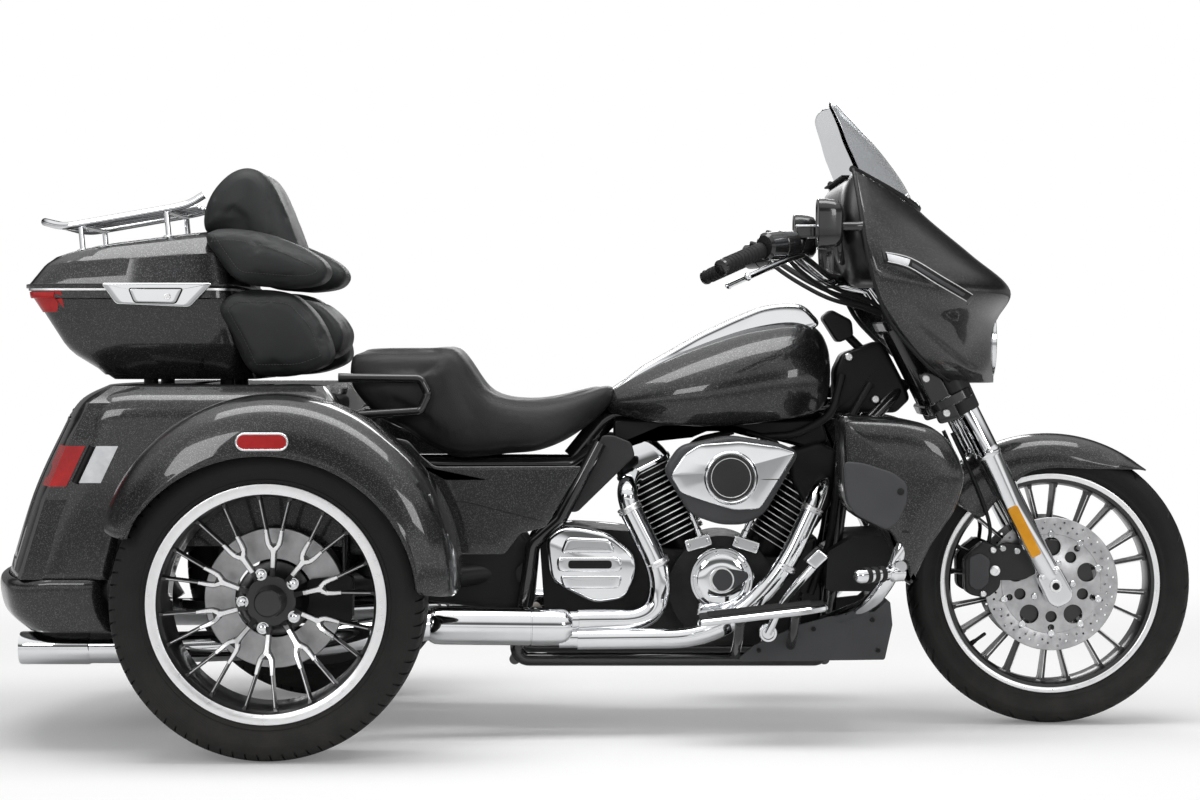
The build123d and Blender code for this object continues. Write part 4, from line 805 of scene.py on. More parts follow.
black_leather = leather("black_leather", (0.014, 0.014, 0.014), (0.024, 0.024, 0.024), (0.4, 0.52), 650.0,
    0.45)
black_vinyl = leather("black_vinyl", (0.02, 0.021, 0.022), (0.03, 0.031, 0.032), (0.46, 0.56), 900.0, 0.28)
thread = finish("black_thread", (0.05, 0.05, 0.05), (0.08, 0.08, 0.08), (0.6, 0.7), grain=3000.0,
    relief=0.2)

# copies of one small shape along a path, each turned to follow it
along_path, start, end = geometry_tree("along_path", {"Path": "Object", "Step": "Float",
    "Finish": "Material"})
route = node(along_path, "GeometryNodeObjectInfo", {"Object": start.outputs["Path"]})
marks = node(along_path, "GeometryNodeCurveToPoints", {"Curve": route.outputs["Geometry"],
    "Length": start.outputs["Step"]}, mode="LENGTH")
laid = node(along_path, "GeometryNodeInstanceOnPoints", {"Points": marks.outputs["Points"],
    "Instance": start.outputs["Geometry"], "Rotation": marks.outputs["Rotation"]})
dress_copies(along_path, start, end, laid)


def curve_through(name, points):
    """A temporary curve of straight runs."""
    line = bpy.data.curves.new(name, "CURVE")
    line.dimensions = "3D"
    run = line.splines.new("POLY")
    run.points.add(len(points) - 1)
    for spot, point in zip(run.points, points):
        spot.co = (*point, 1.0)
    made = bpy.data.objects.new(name, line)
    bpy.context.scene.collection.objects.link(made)
    return made


def bead(name, length, radius):
    """A short six-sided bar along Z."""
    levels = ((-length / 2, radius * 0.5), (-length / 4, radius), (length / 4, radius),
        (length / 2, radius * 0.5))
    rings = [[(r * cos(pi * i / 3), r * sin(pi * i / 3), z) for i in range(6)] for z, r in levels]
    return solid(name, rings, sharp=60.0)


def repeated(made, points, step, material):
    """Copies of one shape, a step apart along the points."""
    path = curve_through(made.name + "_path", points)
    row = run_tree(made, along_path, Path=path, Step=step, Finish=material)
    bpy.data.objects.remove(path)
    return row


def stitches(name, points, body, slot, step=0.0075, length=0.005):
    """A row of stitches along the points."""
    fit(repeated(bead(name, length, thread_r), points, step, thread), body, slot)


thread_r = 0.0007
cover_grid = 0.006
cover_pressure = 4.0
cover_frames = 20


def puffed(made, cap):
    """Blows a pad's cover taut as cloth under pressure; no point ends further than cap from its start."""
    voxels = made.modifiers.new("grid", "REMESH")
    voxels.mode = "VOXEL"
    voxels.voxel_size = cover_grid
    bake(made)
    places = [vertex.co - vertex.normal * cap * 0.6 for vertex in made.data.vertices]
    for vertex, place in zip(made.data.vertices, places):
        vertex.co = place
    cover = made.modifiers.new("cover", "CLOTH")
    cover.settings.use_pressure = True
    cover.settings.uniform_pressure_force = cover_pressure
    cover.settings.effector_weights.gravity = 0.0
    for step in range(1, cover_frames + 1):
        bpy.context.scene.frame_set(step)
    swollen = made.evaluated_get(bpy.context.evaluated_depsgraph_get()).data
    pushes = [vertex.co - place for vertex, place in zip(swollen.vertices, places)]
    made.modifiers.clear()
    for vertex, place, push in zip(made.data.vertices, places, pushes):
        vertex.co = place + push * min(1.0, cap / max(push.length, 1e-9))
    bpy.context.scene.frame_set(1)
    softened(made)
    made.data.shade_smooth()
    return made


# x, top, bottom, half width, dish
seat_stations = ((-0.557, 0.828, 0.775, 0.16, 0.0), (-0.548, 0.842, 0.757, 0.17, 0.0),
    (-0.5, 0.849, 0.703, 0.184, 0.004), (-0.43, 0.85, 0.668, 0.189, 0.006),
    (-0.375, 0.85, 0.63, 0.19, 0.004), (-0.338, 0.852, 0.614, 0.19, 0.0),
    (-0.316, 0.846, 0.609, 0.189, 0.0), (-0.296, 0.822, 0.608, 0.188, 0.0),
    (-0.272, 0.785, 0.609, 0.187, 0.004), (-0.245, 0.754, 0.612, 0.188, 0.01),
    (-0.2, 0.738, 0.617, 0.189, 0.014), (-0.14, 0.736, 0.622, 0.187, 0.012),
    (-0.085, 0.744, 0.641, 0.172, 0.008), (-0.04, 0.756, 0.668, 0.142, 0.004),
    (0.0, 0.768, 0.7, 0.104, 0.0), (0.022, 0.77, 0.722, 0.078, 0.0), (0.033, 0.764, 0.738, 0.055, 0.0))


def seat_ring(x, top, low, half, dish):
    """The saddle's section across the vehicle."""
    deep = top - low
    right = [(0.0, top - dish), (0.3 * half, top - dish * 0.7), (0.58 * half, top),
        (0.78 * half, top - 0.002), (0.9 * half, top - min(0.014, deep * 0.16)),
        (0.975 * half, top - min(0.04, deep * 0.34)), (1.0 * half, top - deep * 0.55),
        (0.985 * half, low + deep * 0.18), (0.94 * half, low + min(0.008, deep * 0.1)), (0.8 * half, low),
        (0.4 * half, low), (0.0, low)]
    return [(x, y, z) for y, z in right] + [(x, -y, z) for y, z in reversed(right[1:-1])]


saddle = shell("saddle", [seat_ring(*row) for row in through(seat_stations, 3)], black_leather,
    floor_cap=True, roof_cap=True, sharp=180.0)
fit(puffed(softened(saddle), 0.004), "chassis", "black_leather", "seat")
for side, name in ((-1, "right"), (1, "left")):
    edge = [(x, side * (0.905 * half + 0.0006), top - min(0.014, (top - low) * 0.16) + 0.0006) for x, top,
        low, half, dish in through(seat_stations[1:-2], 4)]
    stitches(f"saddle_stitches_{name}", edge, "chassis", "black_leather")

# ---------------------------------------------------------------- backrest and pads
# Foam pads in smooth black vinyl, moulded to shape and sewn round their edges: the backrest with its two
# arms on the lid, and below it the pads that cover the front corners and face of the tour pack.
def rounded(points, radius, steps=5):
    """A closed outline with its corners rounded."""
    line = []
    for i, corner in enumerate(points):
        before, after = Vector(points[i - 1]), Vector(points[(i + 1) % len(points)])
        corner = Vector(corner)
        first = corner + (before - corner) * min(radius / (before - corner).length, 0.45)
        last = corner + (after - corner) * min(radius / (after - corner).length, 0.45)
        line += corner_curve(tuple(first), tuple(corner), tuple(last), steps)
    return line


def drawn_in(points, amount):
    """A closed outline moved inwards."""
    count = len(points)
    area = sum(points[i][0] * points[(i + 1) % count][1] - points[(i + 1) % count][0] * points[i][1]
        for i in range(count))
    turn = 1.0 if area > 0 else -1.0
    moved = []
    for i in range(count):
        along = Vector(points[(i + 1) % count]) - Vector(points[i - 1])
        along.normalize()
        moved.append((points[i][0] - along.y * amount * turn, points[i][1] + along.x * amount * turn))
    return moved


def pillow(name, outline, near, far, edge, material, crown=0.0, steps=5, soften=0):
    """A solid of the outline (x, z) between two sides, its rims rounded and its sides crowned."""
    middle = Vector((sum(p[0] for p in outline) / len(outline), sum(p[1] for p in outline) / len(outline)))
    out = 1.0 if far > near else -1.0
    rings = []
    for end_y, way in ((near, out), (far, -out)):
        half_rings = [(0.3, crown * 0.92), (0.62, crown * 0.62), (0.86, crown * 0.25)]
        face = drawn_in(outline, edge)
        stack = [[(middle.x + (x - middle.x) * s, end_y - way * rise, middle.y + (z - middle.y) * s) for x,
            z in face] for s, rise in half_rings]
        for step in range(steps + 1):
            t = pi / 2 * step / steps
            stack.append([(x, end_y + way * edge * (1 - cos(t)), z) for x,
                z in drawn_in(outline, edge * (1 - sin(t)))])
        rings += stack if end_y == near else stack[::-1]
    made = shell(name, rings, material, floor_cap=True, roof_cap=True, sharp=60.0)
    return softened(made, soften) if soften else made


back_outline = rounded([(-0.886, 1.106), (-0.889, 1.148), (-0.868, 1.2), (-0.828, 1.242), (-0.789, 1.258),
    (-0.756, 1.249), (-0.727, 1.215), (-0.697, 1.148), (-0.672, 1.08), (-0.655, 1.03), (-0.7, 1.01),
    (-0.8, 1.04), (-0.835, 1.1)], 0.05)
wing_outline = rounded([(-0.866, 1.103), (-0.848, 1.068), (-0.793, 0.99), (-0.649, 0.979), (-0.603, 0.986),
    (-0.582, 1.013), (-0.596, 1.045), (-0.649, 1.069), (-0.714, 1.097), (-0.8, 1.112)], 0.03)
lower_outline = rounded([(-0.798, 0.976), (-0.691, 0.976), (-0.655, 0.967), (-0.604, 0.912),
    (-0.576, 0.838), (-0.586, 0.812), (-0.648, 0.789), (-0.76, 0.788), (-0.788, 0.85), (-0.838, 0.94)],
    0.025)
lumbar_outline = rounded([(-0.8, 0.965), (-0.662, 0.958), (-0.612, 0.946), (-0.579, 0.912), (-0.56, 0.88),
    (-0.574, 0.832), (-0.64, 0.822), (-0.78, 0.822)], 0.03)
back = pillow("backrest_pad", back_outline, -0.16, 0.16, 0.045, black_vinyl, crown=0.004, steps=6, soften=1)
fit(puffed(back, 0.004), "tour_pack_lid", "black_leather", "backrest")
lumbar = pillow("lumbar_pad", lumbar_outline, -0.158, 0.158, 0.022, black_vinyl, crown=0.003, soften=1)
fit(puffed(lumbar, 0.004), "chassis", "black_vinyl", "pack_pads")
for side, name in ((-1, "right"), (1, "left")):
    wing = pillow(f"backrest_wing_{name}", wing_outline, side * 0.309, side * 0.15, 0.028, black_vinyl,
        crown=0.004, soften=1)
    fit(puffed(wing, 0.004), "tour_pack_lid", "black_leather")
    lower = pillow(f"corner_pad_{name}", lower_outline, side * 0.306, side * 0.158, 0.026, black_vinyl,
        crown=0.004, soften=1)
    fit(puffed(lower, 0.004), "chassis", "black_vinyl")
    for label, outline, y, body in (("wing", wing_outline, 0.3085, "tour_pack_lid"),
            ("corner", lower_outline, 0.3055, "chassis")):
        seam = [(x, side * y, z) for x, z in drawn_in(outline, 0.026)]
        stitches(f"{label}_stitches_{name}", seam + seam[:1], body, "black_vinyl", step=0.0065,
            length=0.0045)

# ---------------------------------------------------------------- fuel tank and console
# A pressed and welded steel tank in the body's paint sits astride the backbone.  A chrome console runs
# down its middle, with the filler cap and a round gauge under one flush lid.
# x, half width, bottom, top
tank_stations = ((0.01, 0.05, 0.716, 0.744), (0.022, 0.066, 0.706, 0.757), (0.06, 0.092, 0.695, 0.783),
    (0.111, 0.118, 0.685, 0.812), (0.18, 0.145, 0.677, 0.846), (0.26, 0.163, 0.674, 0.878),
    (0.33, 0.167, 0.679, 0.901), (0.4, 0.165, 0.688, 0.915), (0.445, 0.155, 0.695, 0.916),
    (0.48, 0.136, 0.706, 0.904), (0.502, 0.112, 0.722, 0.884), (0.515, 0.085, 0.752, 0.854),
    (0.519, 0.05, 0.785, 0.825))


def tank_ring(x, half, low, top):
    """The tank's section: full shoulders, sides that tuck in to the seam, and a tunnel beneath."""
    deep = top - low
    right = [(0.0, top), (0.36, top - 0.03 * deep), (0.66, top - 0.13 * deep), (0.87, top - 0.3 * deep),
        (0.975, top - 0.48 * deep), (1.0, top - 0.63 * deep), (0.98, top - 0.78 * deep),
        (0.92, top - 0.91 * deep), (0.885, low + 0.03 * deep), (0.86, low), (0.8, low + 0.02 * deep),
        (0.45, low + 0.08 * deep), (0.25, low + 0.22 * deep), (0.0, low + 0.24 * deep)]
    return [(x, y * half, z) for y, z in right] + [(x, -y * half, z) for y, z in reversed(right[1:-1])]


tank = shell("fuel_tank_shell", [tank_ring(*row) for row in through(tank_stations, 3)], charcoal,
    floor_cap=True, roof_cap=True, sharp=180.0)
fit(softened(tank), "chassis", "charcoal_paint", "fuel_tank")

console_outline = rounded([(0.024, 0.752), (0.091, 0.806), (0.227, 0.884), (0.3, 0.918), (0.363, 0.944),
    (0.41, 0.951), (0.459, 0.949), (0.5, 0.905), (0.47, 0.885), (0.4, 0.905), (0.25, 0.862), (0.11, 0.8),
    (0.04, 0.742)], 0.02)
console = pillow("tank_console_cover", console_outline, -0.052, 0.052, 0.011, chrome, crown=0.001)
fit(console, "chassis", "chrome", "tank_console")

# ---------------------------------------------------------------- engine
# An air-cooled V-twin of cast aluminium: a wrinkle-black crankcase, two finned black cylinders whose fins
# are machined bright at their edges, and chrome covers held by socket screws.
def smoothed(made, sharp=40.0):
    """Turns a baked mesh's faces outwards and shades it smooth but for its sharp edges."""
    shape = bmesh.new()
    shape.from_mesh(made.data)
    bmesh.ops.recalc_face_normals(shape, faces=shape.faces)
    shape.to_mesh(made.data)
    shape.free()
    made.data.shade_smooth()
    made.data.set_sharp_from_angle(angle=radians(sharp))
    return made


def lathe(name, first, last, profile, material, sides=48):
    """A profile of (distance along, radius) turned about the line from first to last."""
    axis = (Vector(last) - Vector(first)).normalized()
    across = axis.orthogonal().normalized()
    other = axis.cross(across)
    shape = bmesh.new()
    rings = [[shape.verts.new(Vector(first) + axis * along + (across * cos(2 * pi * i / sides) + other
        * sin(2 * pi * i / sides)) * radius) for along, radius in profile] for i in range(sides)]
    for this, following in zip(rings, rings[1:] + rings[:1]):
        for i in range(len(profile) - 1):
            shape.faces.new((this[i], this[i + 1], following[i + 1], following[i]))
    return piece(name, closed_up(shape), material)


# a round bar along a path
round_bar, start, end = geometry_tree("round_bar", {"Path": "Object", "Radius": "Float", "Sides": "Int",
    "Finish": "Material"})
route = node(round_bar, "GeometryNodeObjectInfo", {"Object": start.outputs["Path"]})
rim_line = node(round_bar, "GeometryNodeCurvePrimitiveCircle",
    {"Resolution": start.outputs["Sides"], "Radius": start.outputs["Radius"]})
skin = node(round_bar, "GeometryNodeCurveToMesh", {"Curve": route.outputs["Geometry"],
    "Profile Curve": rim_line.outputs[0], "Fill Caps": True})
dressed = node(round_bar, "GeometryNodeSetMaterial", {"Geometry": skin.outputs[0],
    "Material": start.outputs["Finish"]})
round_bar.links.new(dressed.outputs[0], end.inputs[0])


def bar(name, points, radius, material, bend=0.04, sides=24, steps=7):
    """A round bar through the points, each corner rounded off."""
    line = [points[0]]
    for before, corner, after in zip(points, points[1:], points[2:]):
        before, corner, after = Vector(before), Vector(corner), Vector(after)
        first = corner + (before - corner) * min(bend / (before - corner).length, 0.48)
        last = corner + (after - corner) * min(bend / (after - corner).length, 0.48)
        line += corner_curve(tuple(first), tuple(corner), tuple(last), steps)
    path = curve_through(name + "_path", line + [points[-1]])
    made = run_tree(piece(name, bmesh.new()), round_bar, Path=path, Radius=radius, Sides=sides,
        Finish=material)
    bpy.data.objects.remove(path)
    return smoothed(made)


# copies of one shape at chosen places
at_places, start, end = geometry_tree("at_places", {"Places": "Object", "Finish": "Material"})
spots = node(at_places, "GeometryNodeMeshToPoints", {0: node(at_places, "GeometryNodeObjectInfo",
    {"Object": start.outputs["Places"]}).outputs["Geometry"]})
laid = node(at_places, "GeometryNodeInstanceOnPoints", {"Points": spots.outputs[0],
    "Instance": start.outputs["Geometry"]})
dress_copies(at_places, start, end, laid)


def screws(name, places, radius, facing, material):
    """Socket screws whose heads stand out along facing, one at each place."""
    out = Vector(facing)
    head = lathe(name, (0, 0, 0), out, [(-0.002, 0.0), (-0.002, radius), (radius * 0.75, radius),
        (radius * 0.95, radius * 0.82), (radius * 0.95, radius * 0.5), (radius * 0.4, radius * 0.46),
        (radius * 0.4, 0.0)], material, 12)
    dots = bpy.data.meshes.new(name + "_places")
    dots.from_pydata([tuple(place) for place in places], [], [])
    marks = bpy.data.objects.new(name + "_places", dots)
    bpy.context.scene.collection.objects.link(marks)
    made = run_tree(head, at_places, Places=marks, Finish=material)
    bpy.data.objects.remove(marks)
    return made


def flat_plate(name, outline, low, high, chamfer, material):
    """A plate of the outline (x, y) between two heights, chamfered all round."""
    levels = ((chamfer, low), (0.0, low + chamfer), (0.0, high - chamfer), (chamfer, high))
    return solid(name, [[(x, y, z) for x, y in drawn_in(outline, inset)] for inset, z in levels], material)


def moved(made, matrix):
    """Moves the mesh itself, so that its object stays at the origin."""
    made.data.transform(matrix)
    return made


wrinkle_black = finish("wrinkle_black", (0.012, 0.012, 0.012), (0.022, 0.022, 0.022), (0.42, 0.6),
    cloud=30.0, grain=900.0, relief=0.5, dust_top=0.5, dust_most=0.06, shine=0.25)
barrel_black = finish("barrel_black", (0.006, 0.006, 0.006), (0.01, 0.01, 0.01), (0.3, 0.42), relief=0.15,
    shine=0.25)
coat_node(wrinkle_black, "crankcase")

crank_x, crank_z = 0.271, 0.24
barrel_low, barrel_high, barrel_r = 0.2, 0.378, 0.048
fin_across, fin_along, fin_count = 0.069, 0.062, 13
fin_pitch = (barrel_high - barrel_low) / fin_count
fin_outline = rounded([(-fin_across, -fin_along), (fin_across, -fin_along), (fin_across, fin_along),
    (-fin_across, fin_along)], 0.034, 6)
cylinder_parts, cover_parts = [], []
for lean in (radians(26.8), radians(-32.6)):
    up = Vector((-sin(lean), 0, cos(lean)))
    foot = Vector((crank_x, 0, crank_z))
    tilt = Matrix.Translation(foot) @ Matrix.Rotation(-lean, 4, "Y") @ Matrix.Rotation(pi / 2, 4, "Z")
    axis = [foot + up * (barrel_low + 0.5 * fin_pitch + 0.002),
        foot + up * (barrel_high - 0.5 * fin_pitch + 0.00201)]
    for label, grow, thick, material in (("fin", 0.0, 0.004, barrel_black),
            ("fin_edge", 0.0006, 0.0025, machined)):
        blank = flat_plate(label, drawn_in(fin_outline, -grow), -thick / 2, thick / 2, 0.0005, None)
        cylinder_parts.append(repeated(blank, axis, fin_pitch, material))
    cylinder_parts.append(lathe("barrel", foot, foot + up, [(0.17, 0.0), (0.17, barrel_r),
        (barrel_high, barrel_r), (barrel_high, 0.0)], barrel_black))
    head_outline = rounded([(-0.06, -0.054), (0.06, -0.054), (0.06, 0.054), (-0.06, 0.054)], 0.02, 4)
    cylinder_parts.append(moved(flat_plate("head", head_outline, 0.35, barrel_high, 0.003, barrel_black),
        tilt))
    # height up the cylinder, half across, half along, corner
    box_levels = ((0.3785, 0.076, 0.065, 0.022), (0.385, 0.077, 0.066, 0.022),
        (0.3865, 0.074, 0.063, 0.021), (0.4, 0.072, 0.06, 0.021), (0.428, 0.064, 0.05, 0.02),
        (0.437, 0.058, 0.044, 0.019), (0.44, 0.05, 0.036, 0.017))
    rings = []
    for height, wide, deep, corner in box_levels:
        ring = rounded([(-wide, -deep), (wide, -deep), (wide, deep), (-wide, deep)], corner, 5)
        rings.append([tuple(tilt @ Vector((x, y, height))) for x, y in ring])
    cover_parts.append(shell("rocker_cover", rings, chrome, floor_cap=True, roof_cap=True, sharp=28.0))
    bolts = [tuple(tilt @ Vector((x, y, 0.3865))) for x in (-0.0735, 0.0735) for y in (-0.045, 0.045)]
    cover_parts.append(screws("rocker_screws", bolts, 0.0045, tuple(up), chrome))
fit(joined("finned_cylinders", cylinder_parts), "chassis", "engine_black", "cylinders")
fit(joined("rocker_covers_chrome", cover_parts), "chassis", "chrome", "rocker_covers")

# ---------------------------------------------------------------- air cleaner, pushrods and side covers
# The air cleaner's chrome plate with its round black insert lies on a moulded dark shell.  Below it are
# the chrome pushrod tubes and lifter blocks, the cam cover, the gearbox cover and the left primary cover.
shell_outline = rounded([(0.138, 0.583), (0.175, 0.636), (0.285, 0.659), (0.394, 0.642), (0.438, 0.622),
    (0.361, 0.487), (0.317, 0.463), (0.263, 0.463), (0.197, 0.485)], 0.02)
plate_outline = rounded([(0.153, 0.573), (0.183, 0.617), (0.218, 0.64), (0.305, 0.6465), (0.393, 0.635),
    (0.4295, 0.623), (0.349, 0.498), (0.294, 0.4955), (0.218, 0.519), (0.175, 0.535)], 0.011)
breather = [pillow("cleaner_shell", shell_outline, -0.166, -0.2375, 0.012, satin_grey),
    pillow("cleaner_plate", plate_outline, -0.236, -0.25, 0.004, chrome, crown=0.003)]
insert_at = (0.286, 0.567)
breather += [turned("insert_ring", [(-0.247, 0.0495), (-0.2555, 0.05), (-0.259, 0.053), (-0.2585, 0.056),
    (-0.253, 0.0595), (-0.247, 0.06)], insert_at, chrome, 96, 50.0),
    turned("insert", [(-0.247, 0.0), (-0.2545, 0.0), (-0.2545, 0.049), (-0.2555, 0.05), (-0.247, 0.05)],
    insert_at, gloss_black, 96), turned("insert_groove", [(-0.2546, 0.042), (-0.2552, 0.0424),
    (-0.2552, 0.0436), (-0.2546, 0.044)], insert_at, machined, 96),
    lathe("intake", (0.28, -0.02, 0.56), (0.28, -0.17, 0.56), [(0, 0), (0, 0.046), (0.15, 0.046),
    (0.15, 0)], satin_black), bar("plate_line", [(0.346, -0.2505, 0.5635), (0.3935, -0.2503, 0.5635)],
    0.001, barrel_black, sides=8)]
fit(joined("air_cleaner_dressed", breather), "chassis", "chrome", "air_cleaner")

rods = []
for foot_x, foot_z, head_x, head_z, block_x, turn in ((0.222, 0.432, 0.178, 0.555, 0.218, 16.2),
        (0.318, 0.428, 0.372, 0.548, 0.324, -18.6)):
    low, high = Vector((foot_x, -0.132, foot_z)), Vector((head_x, -0.132, head_z))
    reach = (high - low).length
    rods.append(lathe("pushrod_tube", low, high, [(0, 0), (0, 0.0085), (0.016, 0.0085), (0.018, 0.007),
        (reach * 0.45, 0.007), (reach * 0.46, 0.0082), (reach * 0.52, 0.0082), (reach * 0.53, 0.006),
        (reach, 0.006), (reach, 0)], chrome, 24))
    block = rounded([(-0.029, -0.013), (0.029, -0.013), (0.029, 0.013), (-0.029, 0.013)], 0.005, 4)
    spun = [(block_x + x * cos(radians(turn)) - z * sin(radians(turn)),
        foot_z - 0.014 + x * sin(radians(turn)) + z * cos(radians(turn))) for x, z in block]
    rods.append(pillow("lifter_block", spun, -0.112, -0.1562, 0.002, chrome))
    ends = [(block_x + way * 0.022 * cos(radians(turn)), -0.156,
        foot_z - 0.014 + way * 0.022 * sin(radians(turn))) for way in (-1, 1)]
    rods.append(screws("lifter_screws", ends, 0.0042, (0, -1, 0), chrome))
fit(joined("pushrod_tubes", rods), "chassis", "chrome", "pushrod_covers")

cam_at = (0.268, 0.34)
cam_profile = [(-0.1405, 0.0), (-0.1405, 0.07), (-0.193, 0.07), (-0.1965, 0.068), (-0.1965, 0.064),
    (-0.193, 0.062), (-0.193, 0.056), (-0.201, 0.054), (-0.2045, 0.048), (-0.205, 0.03), (-0.205, 0.0)]
cam_leg = rounded([(0.212, 0.262), (0.216, 0.239), (0.262, 0.246), (0.312, 0.288), (0.347, 0.345),
    (0.303, 0.396), (0.24, 0.392)], 0.012)
cam_badge = rounded([(0.263, 0.312), (0.29, 0.318), (0.328, 0.343), (0.325, 0.358), (0.29, 0.364),
    (0.263, 0.368), (0.243, 0.34)], 0.014)
covers = [turned("cam_cover", cam_profile, cam_at, chrome, 96, 30.0),
    pillow("cam_foot", cam_leg, -0.1405, -0.19, 0.006, chrome),
    pillow("cam_badge", cam_badge, -0.203, -0.2068, 0.0015, satin_grey),
    turned("cam_badge_ring", [(-0.204, 0.0235), (-0.2076, 0.024), (-0.2076, 0.027), (-0.204, 0.028)],
    cam_at, machined, 64), screws("cam_screws", [(cam_at[0] + 0.059 * cos(radians(a)), -0.193,
    cam_at[1] + 0.059 * sin(radians(a))) for a in (30, 102, 174, 246, 318)], 0.0042, (0, -1, 0), chrome)]
gear_outline = rounded([(-0.121, 0.429), (-0.088, 0.455), (-0.044, 0.455), (0.022, 0.44), (0.077, 0.396),
    (0.081, 0.352), (0.055, 0.297), (-0.011, 0.286), (-0.077, 0.319), (-0.11, 0.341)], 0.02)
covers += [pillow("gear_cover", gear_outline, -0.1103, -0.196, 0.01, chrome, crown=0.006),
    pillow("gear_ridge_top", rounded([(-0.088, 0.398), (0.034, 0.398), (0.024, 0.43), (-0.074, 0.434)],
    0.012), -0.192, -0.2035, 0.006, chrome), pillow("gear_ridge",
    rounded([(-0.094, 0.357), (0.05, 0.357), (0.046, 0.391), (-0.096, 0.391)], 0.014), -0.192, -0.2045,
    0.006, chrome), pillow("gear_ridge_low", rounded([(-0.08, 0.32), (0.042, 0.32), (0.05, 0.35),
    (-0.09, 0.35)], 0.012), -0.192, -0.2035, 0.006, chrome), pillow("gear_badge",
    rounded([(-0.07, 0.365), (0.026, 0.365), (0.026, 0.383), (-0.07, 0.383)], 0.008), -0.2035, -0.206,
    0.001, barrel_black), screws("gear_screws", [(-0.105, -0.19, 0.425), (-0.066, -0.19, 0.446),
    (0.01, -0.19, 0.434), (0.063, -0.19, 0.39), (0.066, -0.19, 0.345), (0.044, -0.19, 0.304),
    (-0.012, -0.19, 0.297), (-0.07, -0.19, 0.33), (-0.101, -0.19, 0.352)], 0.0045, (0, -1, 0), chrome)]
primary_outline = rounded([(-0.13, 0.3), (-0.14, 0.42), (-0.09, 0.45), (0.06, 0.44), (0.18, 0.4),
    (0.33, 0.385), (0.37, 0.32), (0.33, 0.25), (0.2, 0.235), (-0.06, 0.262)], 0.045)
derby_at = (-0.035, 0.352)
covers += [pillow("primary_cover", primary_outline, 0.1403, 0.2005, 0.016, chrome, crown=0.002),
    turned("derby_cover", [(0.19, 0.0), (0.19, 0.08), (0.2045, 0.078), (0.2045, 0.072), (0.202, 0.068),
    (0.204, 0.04), (0.2048, 0.0)], derby_at, chrome, 96, 30.0),
    turned("starter_cover", [(0.19, 0.0), (0.19, 0.05), (0.2035, 0.047), (0.2045, 0.03), (0.2045, 0.0)],
    (0.262, 0.318), chrome, 72, 30.0), screws("derby_screws", [(derby_at[0] + 0.0745 * cos(radians(a)),
    0.2035, derby_at[1] + 0.0745 * sin(radians(a))) for a in range(18, 360, 72)], 0.0045, (0, 1, 0),
    chrome), screws("primary_screws", [(x, 0.198, z) for x, z in drawn_in(primary_outline, 0.016)[3::6]],
    0.0042, (0, 1, 0), chrome)]
fit(joined("side_covers", covers), "chassis", "chrome", "engine_covers")

# ---------------------------------------------------------------- exhaust
# Chromed steel: two header pipes in bright heat shields, held by clamps, that run into a silencer on each
# side and on to the tips under the tail.
def mirrored(points, side):
    """Points given for the left, put on the side asked for."""
    return [(x, side * y, z) for x, y, z in points]


def band(name, at, toward, radius, width, material):
    """A strap clamp round a pipe."""
    at, along = Vector(at), (Vector(toward) - Vector(at)).normalized()
    return lathe(name, at - along * width / 2, at + along * width / 2,
        [(0, 0), (0, radius), (width * 0.12, radius + 0.0022), (width * 0.36, radius + 0.0022),
        (width * 0.44, radius), (width * 0.56, radius), (width * 0.64, radius + 0.0022),
        (width * 0.88, radius + 0.0022), (width, radius), (width, 0)], material, 40)


tip_steel = finish("heat_tinted_steel", (0.2, 0.18, 0.16), (0.34, 0.31, 0.28), (0.3, 0.42), metallic=1.0,
    relief=0.05)
header_y, muffler_y, tail_x = -0.19, 0.4, -1.234
rear_header = [(0.074, -0.06, 0.56), (0.058, header_y, 0.54), (0.066, header_y, 0.495),
    (0.14, header_y, 0.35), (0.118, header_y, 0.25), (-0.09, -0.234, 0.252)]
front_header = [(0.5, -0.06, 0.56), (0.482, header_y, 0.53), (0.395, -0.2, 0.34), (0.25, -0.218, 0.214),
    (-0.09, -0.24, 0.214)]
pipes = [bar("rear_header", rear_header, 0.0225, chrome, bend=0.075, sides=32, steps=10),
    bar("rear_shield", [(0.064, header_y - 0.002, 0.5), (0.14, header_y - 0.002, 0.35),
    (0.118, header_y - 0.002, 0.25), (-0.05, -0.227, 0.252)], 0.0252, chrome, bend=0.075, sides=32,
    steps=10), bar("front_header", front_header, 0.02, chrome, bend=0.1, sides=32, steps=10),
    bar("front_shield", [(0.47, header_y - 0.002, 0.5), (0.395, -0.202, 0.34), (0.25, -0.22, 0.214),
    (-0.05, -0.241, 0.213)], 0.0225, chrome, bend=0.1, sides=32, steps=10),
    bar("crossover", [(-0.15, -0.205, 0.235), (-0.25, -0.1, 0.215), (-0.25, 0.1, 0.215),
    (-0.15, 0.205, 0.235)], 0.02, tip_steel, bend=0.05)]
for at, toward, radius in (((0.0655, header_y - 0.002, 0.497), (0.14, header_y, 0.35), 0.0255),
        ((0.1265, header_y - 0.002, 0.377), (0.14, header_y, 0.35), 0.0255),
        ((0.4675, header_y - 0.002, 0.495), (0.395, -0.2, 0.34), 0.0228),
        ((0.408, -0.2005, 0.368), (0.395, -0.2, 0.34), 0.0228)):
    pipes.append(band("shield_clamp", at, toward, radius, 0.014, machined))
fit(joined("header_pipes", pipes), "chassis", "chrome", "exhaust_pipes")

